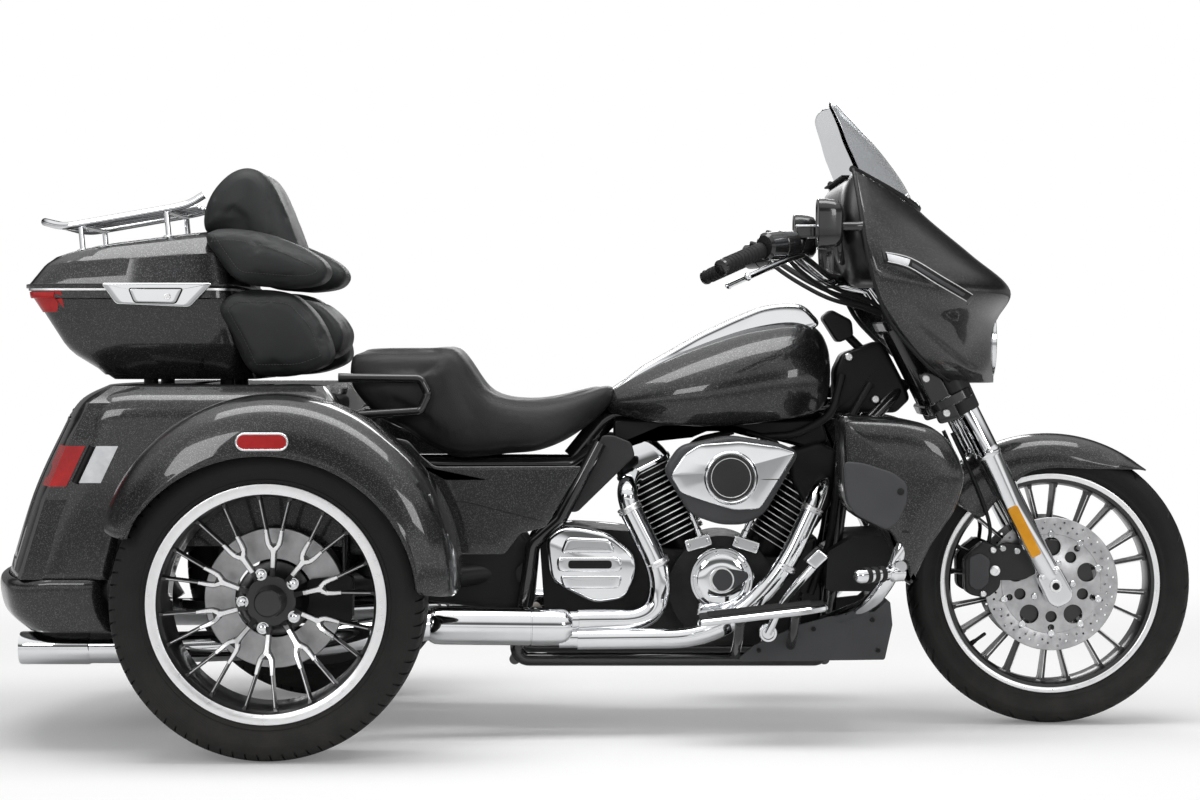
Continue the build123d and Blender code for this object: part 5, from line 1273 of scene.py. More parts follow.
silencers = []
for side in (-1, 1):
    route = mirrored([(-0.36, 0.2605, 0.2457), (-0.376, 0.262, 0.246), (-0.62, 0.372, 0.222),
        (-0.9, muffler_y, 0.212), (tail_x, muffler_y, 0.212)], side)
    silencers.append(bar("tail_pipe", route, 0.033, chrome, bend=0.12, sides=40, steps=9))
    nose, tail = Vector((-0.075, side * 0.234, 0.24)), Vector((-0.37, side * 0.262, 0.246))
    silencers.append(lathe("silencer", nose, tail, [(-0.012, 0.0), (-0.012, 0.03), (0.0, 0.0385),
        (0.01, 0.041), (0.07, 0.042), (0.0755, 0.042), (0.0765, 0.04), (0.0785, 0.04), (0.0795, 0.042),
        (0.27, 0.042), (0.286, 0.041), (0.297, 0.036), (0.3, 0.0)], chrome, 56))
    at = Vector((tail_x, side * muffler_y, 0.212))
    silencers.append(lathe("tip", at, at + Vector((1, 0, 0)), [(0.15, 0.0), (0.15, 0.0335), (0.146, 0.0352),
        (0.004, 0.0352), (0.0, 0.034), (0.0, 0.0325), (0.002, 0.0315), (0.06, 0.0315), (0.06, 0.0)], chrome,
        56))
    silencers.append(lathe("tip_bore", at, at + Vector((1, 0, 0)),
        [(0.055, 0.0), (0.055, 0.0317), (0.0585, 0.0317), (0.0585, 0.0)], tip_steel, 40))
fit(joined("silencers", silencers), "chassis", "chrome", "mufflers")

# ---------------------------------------------------------------- side panels, rear lamps, latch and rack
# Painted covers hide the frame under the seat.  Red lamps in bright bezels sit on the tail, the fenders and
# the tour pack, whose side carries a chrome two-part latch and whose lid carries a tubular chrome rack.
panel_outline = rounded([(-0.543, 0.7), (-0.476, 0.662), (-0.415, 0.651), (-0.389, 0.619), (-0.357, 0.594),
    (-0.038, 0.595), (-0.119, 0.462), (-0.173, 0.449), (-0.206, 0.404), (-0.543, 0.404)], 0.01)
panels = [pillow("side_panel", panel_outline, side * 0.3058, side * 0.2945, 0.0035, charcoal,
    crown=0.0) for side in (-1, 1)]
for side in (-1, 1):
    seam = [(-0.535, side * 0.3062, 0.52), (-0.3, side * 0.3062, 0.52), (-0.12, side * 0.3062, 0.475)]
    panels.append(bar("panel_seam", seam, 0.0009, barrel_black, sides=8, bend=0.03))
fit(joined("side_covers_painted", panels), "chassis", "charcoal_paint", "side_panels")


def lens(name, dark, light, roughness, glow=0.0):
    """A moulded transparent lens with fine prisms behind it, opaque enough to hide the reflector; glow is the
    strength of a painted glow in the lens's own colour, standing in for light caught inside it.
    """
    material = finish(name, dark, light, roughness, cloud=40.0, relief=0.0, coat=0.2, shine=0.3)
    tree = material.node_tree
    shader = tree.nodes["Principled BSDF"]
    place = node(tree, "ShaderNodeMapping", {"Vector": node(tree, "ShaderNodeTexCoord").outputs["Object"],
        "Scale": (190.0, 190.0, 190.0)})
    prisms = node(tree, "ShaderNodeTexChecker", {"Vector": place.outputs[0], "Scale": 1.0})
    bump = node(tree, "ShaderNodeBump", {"Strength": 0.25, "Distance": 0.0008,
        "Height": prisms.outputs["Fac"]})
    tree.links.new(bump.outputs[0], shader.inputs["Normal"])
    # painted light: the lens emits its own colour as a faint glow, standing in for light caught inside it
    if glow:
        tree.links.new(shader.inputs["Base Color"].links[0].from_socket, shader.inputs["Emission Color"])
        shader.inputs["Emission Strength"].default_value = glow
    return material


# the last value of each lens is the strength of its painted glow
red_lens = lens("red_lens", (0.34, 0.008, 0.01), (0.46, 0.014, 0.014), (0.08, 0.16), 0.1)
amber_lens = lens("amber_lens", (0.72, 0.3, 0.01), (0.8, 0.36, 0.016), (0.14, 0.22), 0.08)
clear_lens = lens("clear_lens", (0.62, 0.63, 0.65), (0.78, 0.79, 0.8), (0.06, 0.12), 0.12)
coat_node(red_lens, "rear_lamps")

marker_y, marker_z, marker_half, marker_r = 0.6985, 0.661, 0.0355, 0.0165
trims = []
for side in (-1, 1):
    bezel = []
    for way, steps in ((1, range(13)), (-1, range(12, -1, -1))):
        for a in (-pi / 2 + pi * i / 12 for i in steps):
            bezel.append((rear_axle_x + marker_half * way + marker_r * way * cos(a), side * marker_y,
                marker_z + marker_r * sin(a)))
    trims.append(bar("marker_bezel", bezel + bezel[:1], 0.0026, chrome, bend=0.002, sides=10, steps=2))
    # a clear indicator lens in front of each red tail lamp, and the red lens on the pack's rear corner
    edge_rows = [row for row in through(body_levels, 8) if 0.553 < row[0] < 0.652]
    clear, split = [], []
    for z, corner, bulge, front, half in edge_rows:
        first = -1.113 + 0.47 * (z - 0.56)
        line = [(first + 0.016 + 0.046 * i / 5, side * (half + 0.0035), z) for i in range(6)]
        clear.append(line + [(x, y - side * 0.006, h) for x, y, h in reversed(line)])
        split.append((first + 0.008, side * (half + 0.001), z))
    trims.append(shell("indicator_lens", clear, clear_lens, floor_cap=True, roof_cap=True))
    trims.append(bar("lamp_split", split, 0.008, barrel_black, bend=0.01, sides=10, steps=2))
    corner_rows = [row for row in through(pack_levels, 6) if 0.927 < row[0] < 0.9745]
    wraps = []
    for z, rear, front, half, corner in corner_rows:
        ring = box_ring(z, rear - 0.0035, front, half + 0.0035, corner + 0.0035)
        line = [p for p in ring if p[1] * side > 0.205 and p[0] < -1.166]
        line = [(x, y, h) for x, y, h in (line if side > 0 else reversed(line))]
        middle_x, middle_y = -1.12, side * 0.18
        back = [(x + 0.05 * (middle_x - x), y + 0.05 * (middle_y - y), h) for x, y, h in reversed(line)]
        wraps.append(line + back)
    trims.append(shell("pack_lens", wraps, red_lens, floor_cap=True, roof_cap=True))
fit(joined("lamp_bezels", trims), "chassis", "chrome")

latch_outline = rounded([(-1.077, 0.991), (-0.835, 0.991), (-0.885, 0.938), (-1.044, 0.945)], 0.008)
paddle_outline = rounded([(-1.016, 0.979), (-0.9, 0.979), (-0.915, 0.947), (-1.004, 0.949)], 0.006)
latch = [pillow("latch_plate", latch_outline, -0.3165, -0.3095, 0.0025, chrome),
    pillow("latch_paddle", paddle_outline, -0.3205, -0.316, 0.0015, chrome),
    pillow("latch_foot", rounded([(-1.045, 0.965), (-0.885, 0.965), (-0.905, 0.947), (-1.035, 0.948)],
    0.004), -0.31, -0.298, 0.002, chrome), turned("latch_lock",
    [(-0.316, 0.0), (-0.316, 0.0075), (-0.3225, 0.0072), (-0.323, 0.0055), (-0.3215, 0.005),
    (-0.3215, 0.0)], (-0.932, 0.961), machined, 32)]
paddle_line = [(x, -0.32, z) for x, z in paddle_outline]
latch.append(bar("paddle_gap", paddle_line + paddle_line[:1], 0.0014, barrel_black, bend=0.003, sides=8,
    steps=2))
fit(joined("pack_latch_chrome", latch), "chassis", "chrome", "pack_latch")

rack_bars = []
for side in (-1, 1):
    rack_bars.append(bar("rack_rail", mirrored([(-0.876, 0.15, 1.19), (-0.915, 0.15, 1.166),
        (-1.19, 0.15, 1.118), (-1.24, 0.12, 1.132), (-1.24, 0.0, 1.132)], side), 0.0085, chrome, bend=0.03))
    for x, z in ((-1.15, 1.124), (-0.96, 1.157)):
        rack_bars.append(bar("rack_post", mirrored([(x, 0.15, z - 0.006), (x + 0.006, 0.15, z - 0.07)],
            side), 0.006, chrome))
        rack_bars.append(lathe("rack_foot", (x + 0.005, side * 0.15, roof(x) - 0.004),
            (x + 0.005, side * 0.15, roof(x) + 1), [(0, 0), (0, 0.013), (0.006, 0.013), (0.009, 0.009),
            (0.009, 0)], chrome, 24))
for y in (-0.06, 0.0, 0.06):
    rack_bars.append(bar("rack_slat", [(-1.238, y, 1.131), (-1.19, y, 1.123), (-0.905, y, 1.168)], 0.0068,
        chrome, bend=0.01))
for x, z in ((-1.15, 1.122), (-0.96, 1.154)):
    rack_bars.append(bar("rack_cross", [(x, -0.15, z), (x, 0.15, z)], 0.0065, chrome))
fit(joined("luggage_rack_chrome", rack_bars), "tour_pack_lid", "chrome", "luggage_rack")

# ---------------------------------------------------------------- covers, hoses and wiring round the engine
# Moulded black covers hide the battery, the wiring and the steering head, a cast mount joins the two cylinder
# heads to the backbone, and rubber hoses and plastic looms run between them.
hose = finish("hose_rubber", (0.01, 0.01, 0.01), (0.017, 0.017, 0.017), (0.45, 0.58), grain=1200.0,
    relief=0.15, shine=0.25)
cover_grey = finish("cover_grey", (0.03, 0.03, 0.032), (0.042, 0.042, 0.044), (0.36, 0.46), relief=0.08,
    shine=0.25)
hidden = []
# outline, half width, edge, material
blocks = (("head_cover", [(0.528, 0.704), (0.527, 0.8), (0.545, 0.838), (0.625, 0.866), (0.64, 0.86),
    (0.69, 0.765), (0.7, 0.735), (0.668, 0.704)], 0.045, 0.01, barrel_black),
    ("switch_box", [(0.5, 0.919), (0.521, 0.938), (0.569, 0.913), (0.573, 0.876), (0.537, 0.861)], 0.036,
    0.006, barrel_black), ("head_mount", [(0.03, 0.622), (0.03, 0.69), (0.5, 0.69), (0.515, 0.64),
    (0.47, 0.622), (0.3, 0.668), (0.14, 0.668)], 0.06, 0.008, barrel_black),
    ("coil_cover", [(0.425, 0.56), (0.42, 0.618), (0.49, 0.64), (0.532, 0.62), (0.52, 0.5), (0.48, 0.44),
    (0.458, 0.5)], 0.085, 0.012, satin_black), ("regulator", [(0.392, 0.18), (0.4, 0.29), (0.43, 0.4),
    (0.486, 0.43), (0.498, 0.3), (0.488, 0.18)], 0.1, 0.008, barrel_black),
    ("battery_box", [(-0.5, 0.3), (-0.5, 0.43), (-0.18, 0.445), (-0.14, 0.38), (-0.15, 0.27),
    (-0.2, 0.262)], 0.125, 0.012, satin_black), ("throttle_body",
    [(0.235, 0.52), (0.235, 0.64), (0.33, 0.64), (0.33, 0.52)], 0.05, 0.008, barrel_black))
for name, outline, half, edge, material in blocks:
    hidden.append(pillow(name, rounded(outline, 0.01), -half, half, edge, material))
seat_cover = rounded([(-0.073, 0.485), (-0.05, 0.485), (0.078, 0.61), (0.07, 0.64), (0.03, 0.656),
    (0.005, 0.656)], 0.008)
for side in (-1, 1):
    hidden.append(pillow("frame_cover", seat_cover, side * 0.118, side * 0.131, 0.004, cover_grey))
    hidden.append(bar("hose", mirrored([(0.545, 0.058, 0.79), (0.52, 0.075, 0.7), (0.44, 0.085, 0.655),
        (0.36, 0.07, 0.65)], side), 0.009, hose, bend=0.03))
    hidden.append(bar("loom", mirrored([(0.61, 0.056, 0.77), (0.56, 0.07, 0.69), (0.532, 0.092, 0.56),
        (0.515, 0.1, 0.42), (0.47, 0.112, 0.3)], side), 0.008, hose, bend=0.03))
    hidden.append(bar("plug_lead", mirrored([(0.3, 0.06, 0.66), (0.215, 0.088, 0.64), (0.16, 0.095, 0.56)],
        side), 0.0045, hose, bend=0.03))
    hidden.append(bar("front_lead", mirrored([(0.33, 0.06, 0.662), (0.4, 0.096, 0.64),
        (0.418, 0.098, 0.56)], side), 0.0045, hose, bend=0.02))
    hidden.append(screws("cover_screws", [(0.56, side * 0.052, 0.83), (0.62, side * 0.052, 0.735)], 0.009,
        (0, side, 0), machined))
    ribs = flat_plate("cooling_rib", [(-0.045, -0.0015), (0.045, -0.0015), (0.045, 0.0015),
        (-0.045, 0.0015)], -0.004, 0.004, 0.0005, None)
    hidden.append(repeated(ribs, [(0.442, side * 0.101, 0.195), (0.45, side * 0.101, 0.3)], 0.012,
        barrel_black))
hidden.append(bar("box_bracket", [(0.555, 0.0, 0.885), (0.59, 0.0, 0.85)], 0.01, satin_black))
fit(joined("engine_bay_covers", hidden), "chassis", "satin_black")

# ---------------------------------------------------------------- front wheel, brake discs and tyre
# A black cast 19 inch wheel with ten pairs of slim spokes, bright at rim and spoke edges.  Drilled steel
# discs float on polished carriers at both sides, and a round-shouldered motorcycle tyre is fitted.
front_axle_x, front_axle_z = 1.016, 0.3193
front_centre = (front_axle_x, 0.0, front_axle_z)
front_axle = (front_axle_x, front_axle_z)
spoke_pairs = 10
disc_y = 0.062


def cut_away(made, cutter):
    """Takes the cutter's shape out of an object and removes the cutter."""
    knife = made.modifiers.new("cut", "BOOLEAN")
    knife.operation = "DIFFERENCE"
    knife.solver = "EXACT"
    knife.object = cutter
    bake(made)
    bpy.data.objects.remove(cutter)
    return smoothed(made, 30.0)


barrel = [(-0.047, 0.247), (-0.045, 0.2285), (-0.03, 0.2225), (0.03, 0.2225), (0.045, 0.2285),
    (0.047, 0.247), (0.037, 0.247), (0.036, 0.24), (-0.036, 0.24), (-0.037, 0.247)]
wheel_parts = [turned("barrel", barrel, front_axle, wheel_black, 144),
    turned("hub", [(-0.0595, 0.0), (-0.0595, 0.03), (-0.056, 0.034), (-0.03, 0.034), (-0.022, 0.044),
    (0.022, 0.044), (0.03, 0.034), (0.056, 0.034), (0.0595, 0.03), (0.0595, 0.0)], front_axle, wheel_black,
    64)]
for side in (-1, 1):
    flange = from_middle(side, 0.0, ((0.044, 0.03), (0.044, 0.099), (0.05, 0.098), (0.05, 0.03)))
    wheel_parts.append(turned("flange", flange, front_axle, wheel_black, 96))
    bright_lip = from_middle(side, 0.0, ((0.0488, 0.2475), (0.0492, 0.2455), (0.0486, 0.2385),
        (0.047, 0.236), (0.043, 0.236), (0.043, 0.2475)))
    wheel_parts.append(turned("bright_lip", bright_lip, front_axle, machined, 192))
for way in (-1, 1):
    arm = [(way * 0.0055, 0.04, 0.03, 0.01), (way * 0.007, 0.07, 0.024, 0.008),
        (way * 0.0085, 0.11, 0.0225, 0.0068), (way * 0.019, 0.165, 0.026, 0.0064),
        (way * 0.0283, 0.214, 0.032, 0.007), (way * 0.0303, 0.2255, 0.0345, 0.013)]
    edge = [(x + way * 0.38 * width, r, out + 0.0005, width * 0.2) for x, r, out, width in arm[2:5]]
    for label, rows, depth, material in (("spoke", arm, 0.03, wheel_black),
            ("spoke_edge", edge, 0.0015, machined)):
        for side in (-1, 1):
            wheel_parts.append(run_tree(blade(label, rows, depth, front_centre, side, flare=0.0006),
                round_axle, Count=spoke_pairs, Centre=front_centre, First=radians(-4.0), Finish=material))
valve = radians(231.0)
valve_at = Vector((front_axle_x + 0.223 * sin(valve), -0.012, front_axle_z + 0.223 * cos(valve)))
inward = Vector((-sin(valve), -0.35, -cos(valve)))
wheel_parts.append(lathe("valve", valve_at, valve_at + inward,
    [(0, 0), (0, 0.006), (0.012, 0.005), (0.014, 0.004), (0.04, 0.004), (0.042, 0.003), (0.042, 0)],
    barrel_black, 20))
fit(joined("front_wheel_cast", wheel_parts), "front_wheel", "wheel_black", "front_wheel")

disc_parts = []
for side in (-1, 1):
    rotor = from_middle(side, disc_y, ((-0.0025, 0.113), (0.002, 0.112), (0.0025, 0.113), (0.0025, 0.1485),
        (0.0015, 0.15), (-0.0015, 0.15), (-0.0025, 0.1485)))
    ring = turned("rotor", rotor, front_axle, steel, 160)
    drills = []
    for radius, first in ((0.12, 0.0), (0.1265, 9.0), (0.1335, 3.0), (0.1405, 12.0)):
        at = (front_axle_x, front_axle_z + radius)
        drill = from_middle(side, disc_y, ((-0.008, 0.0), (-0.008, 0.0027), (0.008, 0.0027), (0.008, 0.0)))
        bit = turned("drill", drill, at, steel, 8)
        drills.append(run_tree(bit, round_axle, Count=20, Centre=front_centre, First=radians(first),
            Finish=steel))
    disc_parts.append(cut_away(ring, joined("drills", drills)))
    spider = from_middle(side, disc_y, ((-0.003, 0.03), (0.004, 0.03), (0.004, 0.06), (0.002, 0.064),
        (0.002, 0.1115), (-0.002, 0.1125), (-0.003, 0.06)))
    carrier = turned("carrier", spider, front_axle, steel, 120)
    windows = []
    for radius, size, first in ((0.084, 0.0215, 0.0), (0.074, 0.013, 36.0), (0.0985, 0.0075, 36.0)):
        at = (front_axle_x, front_axle_z + radius)
        window = from_middle(side, disc_y, ((-0.012, 0.0), (-0.012, size), (0.012, size), (0.012, 0.0)))
        bit = turned("window", window, at, machined, 28)
        windows.append(run_tree(bit, round_axle, Count=5, Centre=front_centre, First=radians(first),
            Finish=machined))
    disc_parts.append(cut_away(carrier, joined("windows", windows)))
    button = from_middle(side, disc_y, ((-0.004, 0.0), (-0.004, 0.008), (0.0035, 0.008), (0.0045, 0.007),
        (0.0045, 0.0045), (0.003, 0.004), (0.003, 0.0)))
    bobbin = turned("bobbin", button, (front_axle_x, front_axle_z + 0.1115), chrome, 24)
    disc_parts.append(run_tree(bobbin, round_axle, Count=10, Centre=front_centre, First=0.0, Finish=chrome))
    socket_head = from_middle(side, disc_y, ((-0.002, 0.0), (-0.002, 0.0075), (0.008, 0.0075),
        (0.0095, 0.006), (0.0095, 0.0035), (0.006, 0.0032), (0.006, 0.0)))
    bolt = turned("disc_bolt", socket_head, (front_axle_x, front_axle_z + 0.048), chrome, 20)
    disc_parts.append(run_tree(bolt, round_axle, Count=5, Centre=front_centre, First=radians(18.0),
        Finish=chrome))
fit(joined("front_discs_drilled", disc_parts), "front_wheel", "brake_steel", "front_discs")

front_rubber = rubber("front_rubber", front_axle, 1500.0)
front_contour = [(0.76, 0.0), (0.82, 0.09), (0.83, 0.16), (0.94, 0.34), (1.0, 0.52), (0.985, 0.64),
    (0.91, 0.78), (0.76, 0.89), (0.54, 0.96), (0.28, 0.99), (0.0, 1.0)]
front_slots = ((0.0, 0.15, 0.3, 0.94), (0.52, 0.1, 0.12, 0.62))
tyre("front_tyre_moulded", front_centre, 0.251, 0.3193, 0.065, front_contour, front_slots, 34, 0.13, 0.004,
    ((0.0, 0.003),), front_rubber, "front_wheel", "front_tyre")

# ---------------------------------------------------------------- fork, calipers and front fender
# Raked telescopic fork: chrome sliders with amber side reflectors, black tubes in two black clamps.  Dark
# four-piston calipers grip the discs, and a painted fender with deep sides rides between the sliders.
rake = radians(26.8)
fork_offset, fork_leg_y = 0.05, 0.105
fork_forward = Vector((cos(rake), 0, sin(rake)))
fork_up = Vector((-sin(rake), 0, cos(rake)))
fork_origin = Vector((front_axle_x, 0, front_axle_z)) - fork_forward * fork_offset


def on_fork(forward, y, up):
    """A point by its distances in front of the steering axis, to the left, and up along it."""
    return fork_origin + fork_forward * forward + fork_up * up + Vector((0, y, 0))


def fork_outline(points):
    """A side outline (x, z) out of points given in the fork's own directions."""
    return [(p.x, p.z) for p in (on_fork(forward, 0, up) for forward, up in points)]


caliper_black = finish("caliper_black", (0.02, 0.02, 0.021), (0.03, 0.03, 0.032), (0.34, 0.46), relief=0.12,
    dust_top=0.5, dust_most=0.15, shine=0.25)
slider_profile = [(0.018, 0.0), (0.018, 0.0235), (0.026, 0.0262), (0.2, 0.0268), (0.322, 0.0272),
    (0.325, 0.028), (0.328, 0.03), (0.336, 0.03), (0.339, 0.0284), (0.345, 0.028), (0.446, 0.028),
    (0.449, 0.027), (0.449, 0.0)]
leg_parts, clamp_parts, caliper_parts = [], [], []
foot_outline = rounded([(0.022, 0.04), (0.078, 0.04), (0.08, -0.03), (0.064, -0.046), (0.034, -0.046),
    (0.02, -0.03)], 0.012)
for side in (-1, 1):
    leg_y = side * fork_leg_y
    low, high = on_fork(fork_offset, leg_y, 0.0), on_fork(fork_offset, leg_y, 1.0)
    leg_parts.append(lathe("slider", low, high, slider_profile, chrome, 64))
    leg_parts.append(lathe("fork_tube", low, high, [(0.449, 0.0), (0.449, 0.024), (0.712, 0.024),
        (0.716, 0.0225), (0.718, 0.015), (0.718, 0.0)], gloss_black, 48))
    leg_parts.append(pillow("fork_foot", fork_outline(foot_outline), leg_y - 0.022, leg_y + 0.022, 0.0035,
        chrome))
    end_y = leg_y + side * 0.022
    axle_end = from_middle(side, fork_leg_y + 0.022, ((-0.004, 0.0), (-0.004, 0.014), (0.003, 0.014),
        (0.004, 0.013), (0.004, 0.0085), (-0.003, 0.0075), (-0.003, 0.0)))
    leg_parts.append(turned("axle_end", axle_end, front_axle, machined, 40))
    axle_socket = from_middle(side, fork_leg_y + 0.022, ((-0.0035, 0.0), (-0.0035, 0.0076), (0.003, 0.0076),
        (0.003, 0.0)))
    leg_parts.append(turned("axle_socket", axle_socket, front_axle, barrel_black, 24))
    pinch = [on_fork(fork_offset + 0.017, end_y, 0.03), on_fork(fork_offset - 0.017, end_y, 0.03)]
    leg_parts.append(screws("pinch_screws", pinch, 0.0045, (0, side, 0), machined))
    reflector = rounded([(0.03, 0.08), (0.054, 0.08), (0.054, 0.203), (0.03, 0.203)], 0.006)
    leg_parts.append(pillow("reflector", fork_outline(reflector), side * 0.125, side * 0.1345, 0.0018,
        amber_lens))
    for up in (0.476, 0.688):
        clamp_outline = rounded([(-0.032, -0.143), (0.08, -0.143), (0.08, 0.143), (-0.032, 0.143)], 0.034,
            5)
        if side < 0:
            tilt = Matrix(((fork_forward.x, 0, fork_up.x, fork_origin.x), (0, 1, 0, 0),
                (fork_forward.z, 0, fork_up.z, fork_origin.z), (0, 0, 0, 1)))
            clamp_parts.append(moved(flat_plate("fork_clamp", clamp_outline, up - 0.012, up + 0.012, 0.003,
                gloss_black), tilt))
        if up < 0.5:
            clamp_parts.append(screws("clamp_screws", [on_fork(-0.028, leg_y, up),
                on_fork(0.076, leg_y, up)], 0.005, tuple(fork_forward), machined))
        else:
            cap = [(0, 0), (0, 0.0215), (0.005, 0.0205), (0.006, 0.015), (0.006, 0.0)]
            clamp_parts.append(lathe("fork_cap", on_fork(fork_offset, leg_y, 0.715), high, cap, chrome, 6))
    clamp_parts.append(lathe("fork_cover", low, high, [(0.436, 0.0), (0.436, 0.03), (0.439, 0.0318),
        (0.47, 0.033), (0.572, 0.037), (0.578, 0.0355), (0.578, 0.0)], caliper_black, 56))
    bracket = rounded([(-0.02, 0.44), (0.03, 0.43), (0.03, 0.56), (-0.014, 0.56)], 0.008)
    clamp_parts.append(pillow("cover_bracket", fork_outline(bracket), leg_y + side * 0.018,
        leg_y + side * 0.034, 0.003, gloss_black))
    clamp_parts.append(screws("cover_screws", [on_fork(0.004, leg_y + side * 0.034, 0.456),
        on_fork(-0.002, leg_y + side * 0.034, 0.545)], 0.0085, (0, side, 0), machined))
clamp_parts.append(lathe("stem", on_fork(0, 0, 0.476), on_fork(0, 0, 1.0),
    [(0, 0), (0, 0.02), (0.224, 0.02), (0.226, 0.0155), (0.234, 0.014), (0.234, 0.0)], satin_black, 32))
fit(joined("fork_legs_chrome", leg_parts), "steering", "chrome", "fork_legs")
fit(joined("fork_clamps_black", clamp_parts), "steering", "gloss_black", "fork_clamps")

body_outline = rounded([(0.816, 0.376), (0.832, 0.396), (0.862, 0.418), (0.905, 0.4), (0.896, 0.312),
    (0.868, 0.29), (0.832, 0.296), (0.818, 0.306)], 0.012)
pad_outline = rounded([(0.826, 0.382), (0.852, 0.392), (0.874, 0.378), (0.87, 0.322), (0.846, 0.306),
    (0.826, 0.318)], 0.008)
mount_outline = rounded([(0.88, 0.398), (0.906, 0.416), (0.96, 0.408), (0.985, 0.35), (0.948, 0.33),
    (0.88, 0.33)], 0.01)
for side in (-1, 1):
    for out, back in ((0.098, 0.07), (0.054, 0.0592)):
        caliper_parts.append(pillow("caliper_half", body_outline, side * out, side * back, 0.006,
            caliper_black))
    caliper_parts.append(pillow("caliper_bridge", rounded([(0.816, 0.376), (0.858, 0.417), (0.864, 0.405),
        (0.824, 0.366)], 0.004), side * 0.094, side * 0.056, 0.003, caliper_black))
    caliper_parts.append(pillow("caliper_cover", pad_outline, side * 0.1015, side * 0.097, 0.003,
        satin_grey))
    for x, z, r in ((0.884, 0.352, 0.0115), (0.858, 0.3, 0.007), (0.88, 0.398, 0.007)):
        head = from_middle(side, 0.0, ((0.096, 0.0), (0.096, r), (0.103, r), (0.1045, r * 0.8),
            (0.1045, r * 0.45), (0.102, r * 0.4), (0.102, 0.0)))
        caliper_parts.append(turned("caliper_bolt", head, (x, z), machined, 24))
    caliper_parts.append(pillow("caliper_mount", mount_outline, side * 0.0975, side * 0.083, 0.004,
        caliper_black))
    caliper_parts.append(screws("mount_screws", [(0.902, side * 0.0975, 0.402),
        (0.934, side * 0.0975, 0.396)], 0.0075, (0, side, 0), chrome))
    caliper_parts.append(bar("brake_hose", mirrored([(0.872, 0.078, 0.41), (0.878, 0.085, 0.45),
        (0.846, 0.086, 0.54), (0.79, 0.078, 0.66)], side), 0.0045, satin_black, bend=0.05, sides=12))
fit(joined("front_calipers_cast", caliper_parts), "steering", "engine_black", "front_calipers")

# angle forward of the top, radius of the lower edge
skirt = ((-50.0, 0.275), (-48.5, 0.238), (-45.5, 0.2165), (-36.0, 0.223), (-24.5, 0.235), (-12.0, 0.2555),
    (0.0, 0.26), (12.0, 0.2655), (22.0, 0.279), (30.0, 0.298), (35.0, 0.314), (38.5, 0.328), (40.5, 0.335))
fender_rings = []
for angle, edge in through(skirt, 5):
    a = radians(angle)
    narrow = min(1.0, 0.4 + 0.6 * ((41.5 - angle) / 12.0) ** 0.5) if angle < 41.5 else 0.4
    top = 0.338
    edge = min(edge, top - 0.0016)
    deep = top - edge
    outer = [(0.0, top), (0.022, top - 0.0012), (0.042, top - min(0.006, deep * 0.18)),
        (0.058, top - min(0.015, deep * 0.34)), (0.069, top - min(0.03, deep * 0.52)),
        (0.075, top - min(0.048, deep * 0.68)), (0.0772, top - deep * 0.86), (0.0775, edge),
        (0.0745, edge + 0.0002)]
    inner = [(y - 0.003 if y > 0.004 else y, r - 0.003) for y, r in outer[-3::-1]]
    half = [(y * narrow, r) for y, r in outer + inner]
    around = half + [(-y, r) for y, r in half[-2:0:-1]]
    fender_rings.append([(front_axle_x + r * sin(a), y, front_axle_z + r * cos(a)) for y, r in around])
front_fender = shell("front_fender_shell", fender_rings, charcoal, floor_cap=True, roof_cap=True,
    sharp=70.0)
fit(softened(front_fender), "steering", "charcoal_paint", "front_fender")

# ---------------------------------------------------------------- fairing and headlamp
# One painted shell wraps the bars: a shoulder above, a scooped side below, a rolled lip along its rear edge.
# Each side carries a slim lamp in a black slot, and the round headlamp looks out below the peak.
# height, rear x, front x, half width
nose_levels = ((0.772, 0.788, 0.892, 0.124), (0.815, 0.715, 0.893, 0.23), (0.905, 0.625, 0.895, 0.345),
    (0.98, 0.588, 0.927, 0.398), (1.06, 0.568, 0.838, 0.402), (1.15, 0.557, 0.73, 0.37),
    (1.245, 0.548, 0.64, 0.3))
headlamp_z, headlamp_r = 0.864, 0.086
nose_rows = through(nose_levels, 9)


def nose_level(z):
    """The fairing's rear x, front x and half width at a height."""
    for low, high in zip(nose_rows, nose_rows[1:]):
        if z <= high[0]:
            t = max((z - low[0]) / (high[0] - low[0]), 0.0)
            return tuple(a + (b - a) * t for a, b in zip(low[1:], high[1:]))
    return nose_rows[-1][1:]


def nose_point(rear, front, half, share):
    """A point (x, y) of the arc from side to side: share is 0 at the middle and 1 at the left edge."""
    deep = front - rear
    radius = (half * half + deep * deep) / (2 * deep)
    edge = atan2(half, radius - deep) if radius > deep else pi - atan2(half, deep - radius)
    return front - radius + radius * cos(share * edge), radius * sin(share * edge)


def skin_y(x, z):
    """The half width of the fairing at a side-view point."""
    rear, front, half = nose_level(z)
    deep = front - rear
    radius = (half * half + deep * deep) / (2 * deep)
    return (max(radius ** 2 - (x - front + radius) ** 2, 0.0)) ** 0.5


def smooth(value, low, high):
    """A soft step from 0 at low to 1 at high."""
    t = min(max((value - low) / (high - low), 0.0), 1.0)
    return t * t * (3 - 2 * t)


def scooped(x, y, z):
    """How far the side is pressed in at a point: a hollow below the slot, inside the rear lip."""
    rear = nose_level(z)[0]
    from_lip = smooth(x - rear, 0.03 + 0.35 * max(0.0, 0.93 - z), 0.085 + 0.35 * max(0.0, 0.93 - z))
    below_slot = smooth(1.02 - 0.45 * (x - 0.65) - z, 0.02, 0.11)
    above_edge = smooth(z, 0.776, 0.815)
    aside = smooth(abs(y), 0.1, 0.19)
    crease = smooth(x - rear, 0.0, 0.02) * smooth(0.12 - (x - rear), 0.0, 0.1) * smooth(z, 1.05, 1.16)
    return 0.016 * from_lip * below_slot * above_edge * aside - 0.004 * crease


